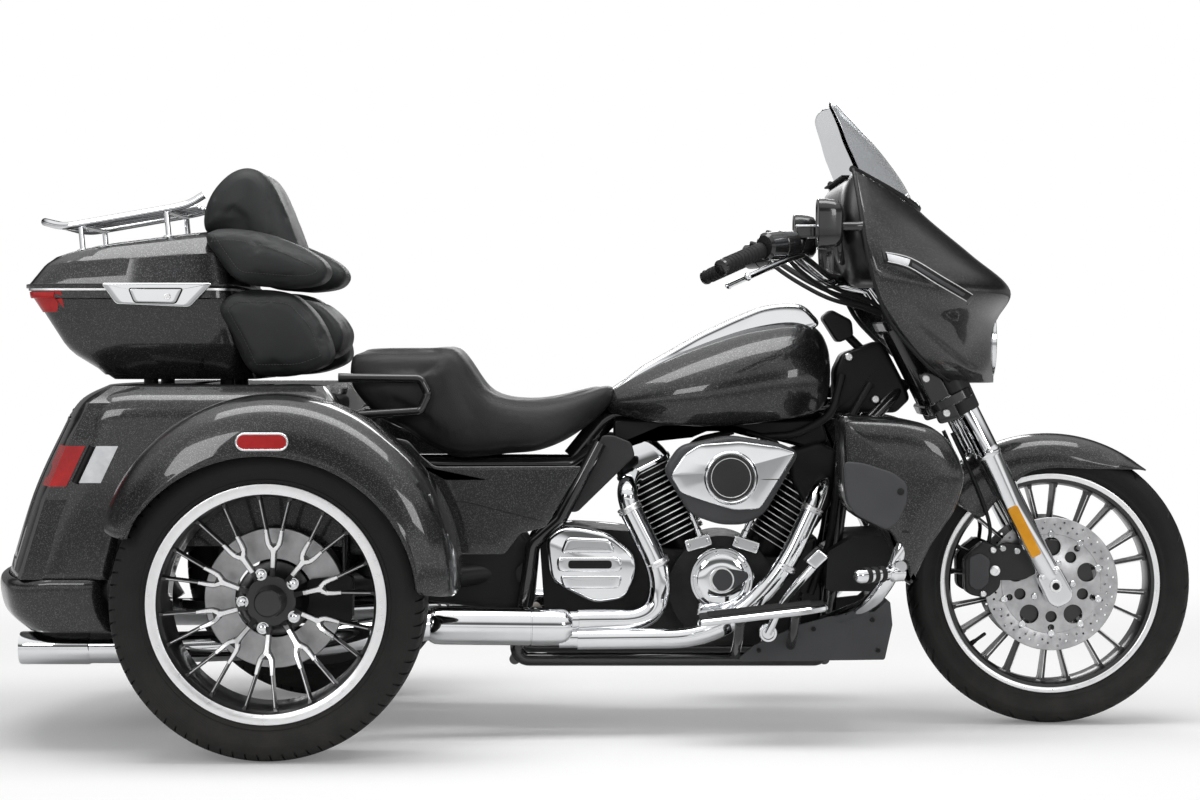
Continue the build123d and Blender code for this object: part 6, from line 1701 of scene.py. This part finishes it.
fairing_rows = []
for z, rear, front, half in nose_rows:
    ring = []
    for i in range(-40, 41):
        x, y = nose_point(rear, front, half, i / 40)
        out = Vector((x - (front - (half * half + (front - rear) ** 2) / (2 * (front - rear))),
            y)).normalized()
        press = scooped(x, y, z)
        ring.append((x - out.x * press, y - out.y * press, z))
    fairing_rows.append(ring)
screen_line = ((0.8, 1.108), (0.722, 1.157), (0.548, 1.236), (0.48, 1.24))


def screen_height(x):
    """Height of the edge that carries the windshield, at x."""
    for (x0, z0), (x1, z1) in zip(screen_line, screen_line[1:]):
        if x >= x1:
            return z0 + (z1 - z0) * (x - x0) / (x1 - x0)
    return screen_line[-1][1]


capped = [[(x, y, min(z, screen_height(x))) for x, y, z in ring] for ring in fairing_rows]


def past_edge(middle):
    """True where a face lies above the windshield's edge or in front of the headlamp."""
    return (middle.z > screen_height(middle.x) - 0.0002 or (hypot(middle.y,
        middle.z - headlamp_z) < headlamp_r and middle.x > 0.75))


outer_skin = shell("fairing_painted", capped, charcoal, 0.0035, wrap=False, open_at=past_edge, sharp=50.0)
lip_line = [ring[-1] for ring in capped]
fairing_parts = [outer_skin]
for side in (-1, 1):
    fairing_parts.append(bar("fairing_lip", [(x - 0.001, side * (y - 0.003), z) for x, y,
        z in lip_line[::3]], 0.0045, satin_black, bend=0.012, sides=14, steps=3))


def slot_ribbon(name, side, upper, lower, lift, thick, material):
    """A slim patch that lies on the fairing's side between two edge lines (x, z)."""
    rows = []
    for (x0, z0), (x1, z1) in zip(through(upper, 8), through(lower, 8)):
        cross = []
        for step in range(7):
            t = step / 6
            x, z = x0 + (x1 - x0) * t, z0 + (z1 - z0) * t
            crown = thick * (1 - (2 * step / 6 - 1) ** 4)
            cross.append((x, side * (skin_y(x, z) - scooped(x, skin_y(x, z), z) + lift + crown), z))
        back = [(x, y - side * (thick + 0.004), z) for x, y, z in reversed(cross)]
        rows.append(cross + back)
    return shell(name, rows, material, floor_cap=True, roof_cap=True, sharp=40.0)


slot_top = [(0.6, 1.061), (0.612, 1.06), (0.666, 1.047), (0.742, 1.006), (0.806, 0.973), (0.816, 0.964)]
slot_low = [(0.606, 1.03), (0.616, 1.029), (0.66, 1.017), (0.722, 0.981), (0.788, 0.947), (0.802, 0.947)]
inner_top = [(0.6085, 1.0545), (0.666, 1.0425), (0.741, 1.001), (0.807, 0.9665)]
inner_low = [(0.6125, 1.035), (0.661, 1.0225), (0.724, 0.9865), (0.793, 0.952)]
lamp_parts = []
for side in (-1, 1):
    fairing_parts.append(slot_ribbon("slot_frame", side, slot_top, slot_low, 0.0004, 0.0012, gloss_black))
    fairing_parts.append(slot_ribbon("slot_bed", side, inner_top, inner_low, 0.0018, 0.0012, barrel_black))
    for label, line in (("slot_edge_low", inner_low), ("slot_edge_top", inner_top)):
        edge = [(x, side * (skin_y(x, z) - scooped(x, skin_y(x, z), z) + 0.003), z) for x,
            z in through(line, 6)]
        fairing_parts.append(bar(label, edge, 0.0013, machined, bend=0.004, sides=8, steps=2))
    glass_top = [(0.6105, 1.0525), (0.64, 1.0465), (0.664, 1.04)]
    glass_low = [(0.614, 1.037), (0.636, 1.0315), (0.658, 1.026)]
    lamp_parts.append(slot_ribbon("slot_lamp", side, glass_top, glass_low, 0.003, 0.0022, clear_lens))
    strip_top = [(0.668, 1.034), (0.732, 0.9975), (0.79, 0.968)]
    strip_low = [(0.666, 1.0255), (0.727, 0.9905), (0.784, 0.962)]
    lamp_parts.append(slot_ribbon("slot_strip", side, strip_top, strip_low, 0.0026, 0.0016, satin_grey))
fit(joined("fairing_shell", fairing_parts), "steering", "charcoal_paint", "fairing")


def clear_plastic(name, dark, light, roughness, clearness, index, cloud=9.0):
    """A see-through moulding with the surface's clouds in its tint; index is its refractive index."""
    material = bpy.data.materials.new(name)
    material.use_nodes = True
    tree = material.node_tree
    shader = tree.nodes["Principled BSDF"]
    surface = node(tree, "ShaderNodeGroup", node_tree=uneven)
    surface.inputs["Cloud"].default_value = cloud
    tint = node(tree, "ShaderNodeMix", {0: surface.outputs["Tone"], 6: (*dark, 1), 7: (*light, 1)},
        data_type="RGBA")
    rough = node(tree, "ShaderNodeMapRange", {0: surface.outputs["Tone"], 3: roughness[0], 4: roughness[1]})
    tree.links.new(tint.outputs[2], shader.inputs["Base Color"])
    tree.links.new(rough.outputs[0], shader.inputs["Roughness"])
    shader.inputs["Transmission Weight"].default_value = clearness
    shader.inputs["IOR"].default_value = index
    return material


def facing_front(name, at, profile, material, sides=64):
    """A profile of (forward, radius) turned about a fore-and-aft line through the point."""
    return lathe(name, at, Vector(at) + Vector((1, 0, 0)), profile, material, sides)


# a clear cover over a ribbed reflector with two projector eyes
glass = clear_plastic("headlamp_glass", (0.93, 0.94, 0.95), (0.98, 0.98, 0.98), (0.01, 0.03), 0.95, 1.3)
lamp_at = (0.8, 0.0, headlamp_z)
lamp_parts += [facing_front("headlamp_can", lamp_at, [(-0.005, 0.0), (-0.005, 0.07), (0.01, 0.0855),
    (0.084, 0.0855), (0.0885, 0.0845), (0.09, 0.082), (0.086, 0.0785), (0.07, 0.0775), (0.02, 0.06),
    (0.016, 0.0)], chrome), facing_front("headlamp_cover", lamp_at,
    [(0.074, 0.0775), (0.084, 0.078), (0.0885, 0.07), (0.0925, 0.05), (0.0945, 0.025), (0.095, 0.0)],
    glass)]
for up in (0.03, -0.03):
    eye = (0.822, 0.0, headlamp_z + up)
    lamp_parts.append(facing_front("projector", eye, [(0.0, 0.0), (0.0, 0.029), (0.03, 0.0285),
        (0.032, 0.0245), (0.03, 0.0235), (0.03, 0.0)], gloss_black, 48))
    lamp_parts.append(facing_front("projector_eye", eye, [(0.029, 0.0235), (0.036, 0.02), (0.041, 0.012),
        (0.0425, 0.0)], clear_lens, 48))
for side in (-1, 1):
    lamp_parts.append(bar("headlamp_stay", [(0.82, side * 0.08, headlamp_z),
        (0.82, side * 0.165, headlamp_z + 0.015)], 0.01, satin_black))
fit(joined("headlamp_unit", lamp_parts), "steering", "lamp_lens", "headlamp")

# ---------------------------------------------------------------- dash and windshield
# The black moulded dash closes the fairing behind: two round gauges and a screen above, a speaker at each
# side.  A bent smoke-grey plastic windshield stands in a black strip along the fairing's top edge.
dash_black = finish("dash_black", (0.006, 0.006, 0.006), (0.01, 0.01, 0.01), (0.28, 0.38), relief=0.05,
    shine=0.3)
grille_black = finish("grille_black", (0.01, 0.01, 0.01), (0.02, 0.02, 0.02), (0.5, 0.6), relief=0.2,
    shine=0.25)
# height, rear x, front x, half width
dash_levels = ((0.985, 0.575, 0.625, 0.2), (0.992, 0.556, 0.626, 0.29), (1.01, 0.54, 0.622, 0.345),
    (1.045, 0.526, 0.612, 0.375), (1.085, 0.519, 0.6, 0.382), (1.125, 0.518, 0.596, 0.374),
    (1.165, 0.521, 0.59, 0.35), (1.2, 0.528, 0.58, 0.318), (1.222, 0.54, 0.57, 0.29),
    (1.232, 0.552, 0.562, 0.262))


def dash_ring(z, rear, front, half):
    """The dash in plan at one height: flat behind, its outer corners rolled forwards."""
    around = [(rear, half * i / 8 * 0.8) for i in range(8)]
    around += corner_curve((rear, half * 0.8), (rear + 0.002, half * 0.985),
        (rear + (front - rear) * 0.45, half), 6)
    around += corner_curve((rear + (front - rear) * 0.5, half), (front, half), (front, half * 0.9), 3)
    around += [(front, half * 0.9 * i / 4) for i in (3, 2, 1, 0)]
    return [(x, y, z) for x, y in around] + [(x, -y, z) for x, y in reversed(around[1:-1])]


dash = shell("dash_body", [dash_ring(*row) for row in through(dash_levels, 4)], dash_black, floor_cap=True,
    roof_cap=True, sharp=50.0)
dash_parts = [dash]


def facing_rear(name, y, z, x, profile, material, sides=56):
    """A profile of (rearward, radius) turned about a fore-and-aft line at y and z, measured back from x."""
    return lathe(name, (x, y, z), (x - 1, y, z), profile, material, sides)


dial_face = finish("dial_face", (0.012, 0.012, 0.013), (0.02, 0.02, 0.021), (0.35, 0.45), relief=0.0)
pale_print = finish("pale_print", (0.62, 0.62, 0.6), (0.72, 0.72, 0.7), (0.45, 0.55), relief=0.0)
dash_x = 0.53
speaker_y, speaker_z = 0.268, 1.092
for side in (-1, 1):
    for y, z, size in ((0.066, 1.128, 0.044), (0.155, 1.138, 0.03)):
        dash_parts += [facing_rear("gauge_ring", side * y, z, dash_x,
            [(0.0, size), (0.0, size + 0.005), (0.0145, size + 0.005), (0.0175, size + 0.003),
            (0.0175, size), (0.01, size - 0.001), (0.0, size)], chrome),
            facing_rear("gauge_face", side * y, z, dash_x, [(0.0, 0.0), (0.0, size), (0.011, size),
            (0.011, 0.0)], dial_face), facing_rear("gauge_boss", side * y, z, 0.519,
            [(0.0, 0.0), (0.0, size * 0.13), (0.004, size * 0.11), (0.004, 0.0)], gloss_black, 24)]
        ticks = []
        for i in range(11):
            angle = radians(-130 + 26 * i)
            spot = Vector((0.5185, side * y + 0.8 * size * sin(angle), z + 0.8 * size * cos(angle)))
            reach = Vector((0, sin(angle), cos(angle))) * size * 0.12
            ticks.append(bar("tick", [tuple(spot), tuple(spot + reach)], size * 0.018, pale_print, sides=6))
        pointer = radians(-118)
        ticks.append(bar("needle", [(0.5168, side * y, z), (0.5168, side * y + 0.72 * size * sin(pointer),
            z + 0.72 * size * cos(pointer))], size * 0.022, red_lens, sides=6))
        dash_parts += ticks
    speaker = [(0.0, 0.0), (0.0, 0.062), (0.006, 0.062), (0.01, 0.058), (0.008, 0.054), (0.005, 0.052),
        (0.004, 0.0)]
    dash_parts.append(facing_rear("speaker_rim", side * speaker_y, speaker_z, dash_x, speaker, grille_black,
        64))
    cells = [(0.5255, side * speaker_y + 0.0085 * i, speaker_z + 0.0085 * j) for i in range(-6,
        7) for j in range(-6, 7) if hypot(i, j) < 6.1]
    dash_parts.append(screws("speaker_cells", cells, 0.003, (-1, 0, 0), grille_black))
screen_rim = rounded([(-0.088, 1.01), (0.088, 1.01), (0.088, 1.078), (-0.088, 1.078)], 0.01)
rows = [[(x, y * s, 1.044 + (z - 1.044) * s) for y, z in screen_rim] for x,
    s in ((0.54, 1.06), (0.5225, 1.06), (0.5195, 1.03), (0.5195, 1.0), (0.521, 0.97))]
dash_parts.append(shell("screen", rows, gloss_black, floor_cap=True, roof_cap=True, sharp=30.0))
vents = flat_plate("vent_rib", [(-0.028, -0.002), (0.02, -0.002), (0.02, 0.002), (-0.028, 0.002)], -0.012,
    0.012, 0.0015, None)
dash_parts.append(repeated(vents, [(0.556, -0.225, 1.226), (0.556, 0.225, 1.226)], 0.018, grille_black))
fit(joined("dash", dash_parts), "steering", "matte_black", "inner_fairing")

smoke = clear_plastic("smoke_plastic", (0.55, 0.56, 0.57), (0.59, 0.6, 0.61), (0.015, 0.04), 1.0, 1.08,
    cloud=6.0)
# middle x and z, edge x and z, half width
screen_rows = ((0.716, 1.162, 0.56, 1.23, 0.262), (0.69, 1.215, 0.545, 1.266, 0.256),
    (0.656, 1.264, 0.531, 1.3, 0.248), (0.62, 1.308, 0.521, 1.333, 0.238),
    (0.585, 1.346, 0.511, 1.361, 0.224), (0.559, 1.374, 0.505, 1.379, 0.204),
    (0.544, 1.392, 0.506, 1.392, 0.172), (0.537, 1.401, 0.512, 1.4, 0.12))


def screen_ring(mid_x, mid_z, edge_x, edge_z, half):
    """One row of the windshield, bent from edge to edge."""
    return [(mid_x + (edge_x - mid_x) * abs(s) ** 1.9, half * s,
        mid_z + (edge_z - mid_z) * abs(s) ** 1.9) for s in (i / 16 for i in range(-16, 17))]


rows = [screen_ring(*row) for row in through(screen_rows, 5)]
fit(shell("windshield_bent", rows, smoke, 0.0026, wrap=False, sharp=60.0), "steering", "smoke_screen",
    "windshield")
strip = [(x + 0.004, y, z + 0.001) for x, y, z in rows[0][::2]]
strip = [(0.545, -0.292, 1.2385)] + strip[1:-1] + [(0.545, 0.292, 1.2385)]
strips = [bar("screen_strip", strip, 0.0075, satin_black, bend=0.02, sides=16, steps=3),
    pillow("screen_clip", rounded([(0.704, 1.18), (0.716, 1.184), (0.727, 1.164), (0.716, 1.158)], 0.004),
    -0.03, 0.03, 0.002, chrome)]
clips = [(rows[0][i][0] + 0.008, rows[0][i][1], rows[0][i][2] + 0.007) for i in (8, 24)]
strips.append(screws("screen_screws", clips, 0.0055, (0.75, 0, 0.66), chrome))
fit(joined("windshield_strip", strips), "steering", "satin_black")

# ---------------------------------------------------------------- handlebar, controls and mirrors
# A black tubular bar on risers, with ribbed rubber grips, black switch housings, levers and a brake fluid
# reservoir.  Black oval mirrors stand inside the fairing's edge.
grip_rubber = finish("grip_rubber", (0.014, 0.014, 0.014), (0.024, 0.024, 0.024), (0.6, 0.72), grain=1500.0,
    relief=0.3, shine=0.25)
mirror_face = finish("mirror_glass", (0.8, 0.82, 0.84), (0.84, 0.86, 0.88), (0.01, 0.02), relief=0.0,
    metallic=1.0)
mirror_y, mirror_z = 0.362, 1.1155
bars, controls, mirrors = [], [], []
bars.append(bar("bar_clamp", [(0.61, -0.042, 0.985), (0.61, 0.042, 0.985)], 0.0125, gloss_black))
for side in (-1, 1):
    bars.append(bar("bar", mirrored([(0.61, 0.03, 0.985), (0.54, 0.11, 1.0), (0.5, 0.185, 1.002),
        (0.445, 0.225, 1.045), (0.4, 0.3, 1.07), (0.345, 0.34, 1.06), (0.255, 0.44, 1.02)], side), 0.0125,
        chrome, bend=0.045, steps=9))
    bars.append(bar("riser", mirrored([(0.64, 0.04, 0.945), (0.608, 0.04, 0.99)], side), 0.015, chrome))
    inner, outer = Vector((0.345, side * 0.34, 1.06)), Vector((0.255, side * 0.44, 1.02))
    reach = (outer - inner).length
    ribs = []
    for i in range(9):
        t = 0.02 + 0.0115 * i
        ribs += [(t, 0.0165), (t + 0.001, 0.0178), (t + 0.0065, 0.0178), (t + 0.0075, 0.0165)]
    bars.append(lathe("grip", inner, outer, [(-0.002, 0.0), (-0.002, 0.0165), (0.0, 0.0178),
        (0.018, 0.0178)] + ribs + [(reach - 0.006, 0.0165), (reach - 0.004, 0.0165), (reach - 0.004, 0.0)],
        grip_rubber, 40))
    bars.append(lathe("grip_cap", inner, outer, [(reach - 0.006, 0.0), (reach - 0.006, 0.0178),
        (reach, 0.0172), (reach + 0.001, 0.015), (reach + 0.001, 0.0)], gloss_black, 40))
    low, high = Vector((0.352, side * 0.345, 1.068)), Vector((0.42, side * 0.285, 1.075))
    span = (high - low).length
    controls.append(lathe("switch_housing", low, high, [(0, 0), (0, 0.024), (0.006, 0.03),
        (span * 0.47, 0.0315), (span * 0.48, 0.03), (span * 0.52, 0.03), (span * 0.53, 0.0315),
        (span - 0.006, 0.03), (span, 0.024), (span, 0)], gloss_black, 40))
    block = rounded([(0.426, 1.088), (0.426, 1.115), (0.478, 1.116), (0.48, 1.09)], 0.007)
    controls.append(pillow("reservoir", block, side * 0.236, side * 0.288, 0.004, gloss_black))
    controls.append(pillow("reservoir_lid", rounded([(0.424, 1.1135), (0.424, 1.1175), (0.48, 1.1175),
        (0.48, 1.1135)], 0.0015), side * 0.238, side * 0.286, 0.0012, chrome))
    controls.append(bar("reservoir_neck", mirrored([(0.43, 0.29, 1.06), (0.44, 0.27, 1.09)], side), 0.01,
        gloss_black))
    lever = bar("lever", mirrored([(0.44, 0.285, 1.052), (0.4, 0.33, 1.04), (0.31, 0.44, 1.0)], side),
        0.0065, chrome, bend=0.03, steps=6)
    knob = (0.312, side * 0.4375, 1.001)
    controls += [lever, lathe("lever_knob", knob, (0.3, side * 0.452, 0.9955),
        [(-0.006, 0.0), (-0.005, 0.006), (0.0, 0.009), (0.006, 0.006), (0.0075, 0.0)], chrome, 20)]
    for dx, dz in ((0.0, 0.02), (0.012, 0.008), (-0.01, 0.004)):
        at = Vector((0.385 + dx, side * 0.318, 1.072 + dz))
        controls.append(lathe("switch", at, at + Vector((-1, 0, 0.25)),
            [(0.0, 0.0), (0.0, 0.0065), (0.026, 0.0065), (0.029, 0.005), (0.029, 0.0)], satin_black, 16))
    face = rounded([(-0.045, -0.054), (0.045, -0.054), (0.045, 0.054), (-0.045, 0.054)], 0.03, 7)
    rings = [[(x, side * mirror_y + y * s, mirror_z + z * s) for y, z in face] for x,
        s in ((0.4665, 0.93), (0.4645, 0.97), (0.4655, 1.0), (0.48, 1.0), (0.498, 0.965), (0.51, 0.88),
        (0.517, 0.7), (0.5195, 0.4))]
    mirrors.append(shell("mirror_shell", rings, gloss_black, floor_cap=True, roof_cap=True, sharp=45.0))
    glass_rows = [[(x, side * mirror_y + y * s, mirror_z + z * s) for y, z in face] for x,
        s in ((0.467, 0.9), (0.4655, 0.9), (0.4652, 0.87))]
    mirrors.append(shell("mirror_glass_pane", glass_rows, mirror_face, floor_cap=True, roof_cap=True))
    mirrors.append(lathe("mirror_stem", (0.512, side * 0.372, 1.11), (0.566, side * 0.38, 1.11),
        [(0, 0), (0, 0.014), (0.006, 0.01), (0.04, 0.01), (0.05, 0.013), (0.05, 0)], gloss_black, 28))
for side in (-1, 1):
    for lift in (0.0, 0.016):
        cable = mirrored([(0.4, 0.262, 1.052 + lift), (0.45, 0.19, 1.01 + lift), (0.53, 0.12, 0.962 + lift),
            (0.6, 0.085, 0.945 + lift), (0.65, 0.062, 0.925)], side)
        bars.append(bar("cable", cable, 0.005, grip_rubber, bend=0.05, sides=14))
fit(joined("handlebar_grips", bars), "steering", "gloss_black", "handlebar")
fit(joined("hand_controls_set", controls), "steering", "gloss_black", "hand_controls")
fit(joined("mirror_pair", mirrors), "steering", "gloss_black", "mirrors")

# ---------------------------------------------------------------- engine guard, lower fairings and radiator
# A chrome tube loops in front of the legs and carries a folding peg.  Painted leg shields hang on it, each
# with a grey compartment door, and a finned radiator with a dark grille stands between them.
rail_y = 0.13
guard_path = [(0.604, 0.06, 0.64), (0.65, 0.2, 0.59), (0.668, 0.34, 0.54), (0.642, 0.392, 0.4),
    (0.59, 0.33, 0.3), (0.5, rail_y, 0.24)]
guard_parts = []
for side in (-1, 1):
    guard_parts.append(bar("guard", mirrored(guard_path, side), 0.016, chrome, bend=0.075, sides=32,
        steps=10))
    guard_parts.append(bar("guard_stay", mirrored([(0.5, rail_y, 0.24), (0.5, rail_y, 0.157)], side), 0.01,
        chrome))
    peg, tip = Vector((0.64, side * 0.392, 0.372)), Vector((0.54, side * 0.452, 0.368))
    reach = (tip - peg).length
    guard_parts.append(lathe("peg", peg, tip, [(-0.002, 0.0), (-0.002, 0.019), (0.02, 0.019),
        (0.024, 0.0135), (0.03, 0.012), (0.036, 0.0155), (reach - 0.012, 0.0155), (reach - 0.004, 0.013),
        (reach, 0.008), (reach, 0.0)], chrome, 40))
    along = (tip - peg).normalized()
    for i in range(3):
        at = peg + along * (0.044 + 0.019 * i)
        guard_parts.append(lathe("peg_ring", at, at + along, [(0, 0), (0, 0.0165), (0.002, 0.0175),
            (0.009, 0.0175), (0.011, 0.0165), (0.011, 0)], grip_rubber, 32))
    guard_parts.append(lathe("peg_pivot", peg + Vector((0, side * -0.022, 0.014)),
        peg + Vector((0, side * 0.022, 0.014)), [(0, 0), (0, 0.012), (0.003, 0.014), (0.041, 0.014),
        (0.044, 0.012), (0.044, 0.0)], chrome, 32))
fit(joined("engine_guard_chrome", guard_parts), "chassis", "chrome", "engine_guard")

lower_outline = rounded([(0.512, 0.706), (0.58, 0.704), (0.646, 0.7), (0.708, 0.686), (0.75, 0.653),
    (0.776, 0.605), (0.783, 0.566), (0.763, 0.502), (0.71, 0.426), (0.664, 0.332), (0.612, 0.454),
    (0.538, 0.493), (0.521, 0.523)], 0.022)
door_outline = rounded([(0.52, 0.61), (0.56, 0.606), (0.625, 0.586), (0.655, 0.562), (0.655, 0.523),
    (0.638, 0.482), (0.612, 0.462), (0.542, 0.496), (0.525, 0.526)], 0.012)
shield_middle = (0.655, 0.575)
# distance from the middle of the vehicle, how far the outline is drawn in
shield_walls = ((0.384, 0.02), (0.384, 0.011), (0.236, 0.007), (0.236, 0.0), (0.3, 0.0), (0.356, 0.001),
    (0.368, 0.003), (0.377, 0.0065))
# share of the last outline, distance from the middle of the vehicle
shield_face = ((0.95, 0.3845), (0.88, 0.3905), (0.78, 0.3955), (0.64, 0.3985), (0.45, 0.3997), (0.22, 0.4))
lower_parts = []
for side in (-1, 1):
    rings = [[(x, side * y, z) for x, z in drawn_in(lower_outline, inset)] for y, inset in shield_walls]
    for share, y in shield_face:
        rings.append([(shield_middle[0] + (x - shield_middle[0]) * share, side * y,
            shield_middle[1] + (z - shield_middle[1]) * share) for x, z in drawn_in(lower_outline, 0.0065)])
    lower_parts.append(shell("leg_shield", rings, charcoal, floor_cap=True, roof_cap=True, sharp=50.0))
    lower_parts.append(pillow("door", door_outline, side * 0.3925, side * 0.402, 0.0045, satin_grey,
        crown=0.0005))
    latch_at = (0.64, 0.545)
    catch = from_middle(side, 0.0, ((0.4, 0.0), (0.4, 0.0075), (0.4035, 0.0075), (0.4042, 0.006),
        (0.4042, 0.0)))
    lower_parts.append(turned("door_catch", catch, latch_at, satin_black, 28))
    lower_parts.append(bar("shield_stay", mirrored([(0.607, 0.074, 0.688), (0.62, 0.238, 0.69)], side),
        0.008, satin_black))
    lower_parts.append(lathe("guard_clamp", (0.655, side * 0.372, 0.468), (0.651, side * 0.38, 0.448),
        [(0, 0), (0, 0.021), (0.003, 0.023), (0.018, 0.023), (0.021, 0.021), (0.021, 0)], satin_black, 32))
fit(joined("leg_shields", lower_parts), "chassis", "charcoal_paint", "lower_fairings")

# louvres repeated up the radiator's front and rear
coat_node(satin_black, "radiator")
louvres = []
for x, lean, top, half in ((0.6465, 0.0, 0.4205, 0.105), (0.5035, 0.002, 0.395, 0.155)):
    slat = flat_plate("louvre", [(-half, -0.0016), (half, -0.0016), (half, 0.0016), (-half, 0.0016)],
        -0.0022, 0.0022, 0.0006, None)
    louvres.append(repeated(slat, [(x, 0, 0.322), (x + lean, 0, top)], 0.0085, barrel_black))
fit(joined("radiator_louvres", louvres), "chassis", "matte_black")

# ---------------------------------------------------------------- chin, floorboards and foot controls
# A grey moulded chin closes the front below.  Chrome-edged floorboards with ribbed rubber sit on brackets,
# with a chrome brake pedal at the right and a shifter at the left.
coat_node(satin_grey, "chin_spoiler")
chin_screws = [(x, y, z) for y in (-0.2055, 0.2055) for x, z in ((0.35, 0.185), (0.47, 0.232), (0.6, 0.252),
    (0.612, 0.185))]
fit(joined("chin_screws", [screws("chin_screws_right", [p for p in chin_screws if p[1] < 0], 0.005,
    (0, -1, 0), satin_black), screws("chin_screws_left", [p for p in chin_screws if p[1] > 0], 0.005,
    (0, 1, 0), satin_black)]), "chassis", "satin_grey")

board_parts, pedal_parts = [], []
board_rear, board_front = Vector((0.207, 0, 0.2665)), Vector((0.488, 0, 0.299))
board_way = (board_front - board_rear).normalized()
board_long = (board_front - board_rear).length
board_tilt = -asin(board_way.z)
for side in (-1, 1):
    lie = Matrix.Translation(board_rear + Vector((0, side * 0.36, 0))) @ Matrix.Rotation(board_tilt, 4, "Y")
    plan = rounded([(0.0, -0.07), (board_long * 0.8, -0.07), (board_long, -0.045), (board_long, 0.045),
        (board_long * 0.8, 0.07), (0.0, 0.07)], 0.022, 6)
    board_parts.append(moved(flat_plate("board_pan", plan, -0.0085, 0.0055, 0.0035, chrome), lie))
    pad = drawn_in(plan, 0.0065)
    board_parts.append(moved(flat_plate("board_pad", pad, 0.004, 0.0085, 0.0015, grip_rubber), lie))
    for i in range(5):
        across = -0.044 + 0.022 * i
        ends = [tuple(lie @ Vector((x, across, 0.0088))) for x in (0.026, board_long - 0.034)]
        board_parts.append(bar("pad_rib", ends, 0.0032, grip_rubber, sides=10))
    for x, z in ((0.3, 0.262), (0.42, 0.28)):
        board_parts.append(bar("board_bracket", mirrored([(x, 0.36, z), (x, 0.3, z - 0.04),
            (x, rail_y + 0.008, 0.168)], side), 0.011, gloss_black, bend=0.03))
    pivot = (0.365, 0.232)
    hub = from_middle(side, 0.0, ((0.2, 0.0), (0.2, 0.018), (0.204, 0.02), (0.294, 0.02), (0.298, 0.0185),
        (0.298, 0.014), (0.2955, 0.0125), (0.2955, 0.0)))
    pedal_parts.append(turned("pedal_hub", hub, pivot, chrome, 48))
    pedal_parts.append(bar("pedal_arm", mirrored([(0.365, 0.292, 0.232), (0.4, 0.32, 0.31),
        (0.478, 0.33, 0.4)], side), 0.009, chrome, bend=0.05))
    pad_shape = rounded([(0.44, 0.392), (0.47, 0.42), (0.492, 0.402), (0.462, 0.374)], 0.007)
    pedal_parts.append(pillow("pedal_pad", pad_shape, side * 0.304, side * 0.356, 0.004, chrome))
    ribs = rounded([(0.4385, 0.3935), (0.4695, 0.4225), (0.4745, 0.4175), (0.4435, 0.3885)], 0.002)
    pedal_parts.append(pillow("pedal_rubber", ribs, side * 0.307, side * 0.353, 0.002, grip_rubber))
    pedal_parts.append(bar("pedal_shaft", mirrored([(0.365, 0.205, 0.232), (0.365, rail_y, 0.18)], side),
        0.009, chrome))
fit(joined("floorboards_chrome", board_parts), "chassis", "chrome", "floorboards")
fit(joined("foot_controls_chrome", pedal_parts), "chassis", "chrome", "foot_controls")
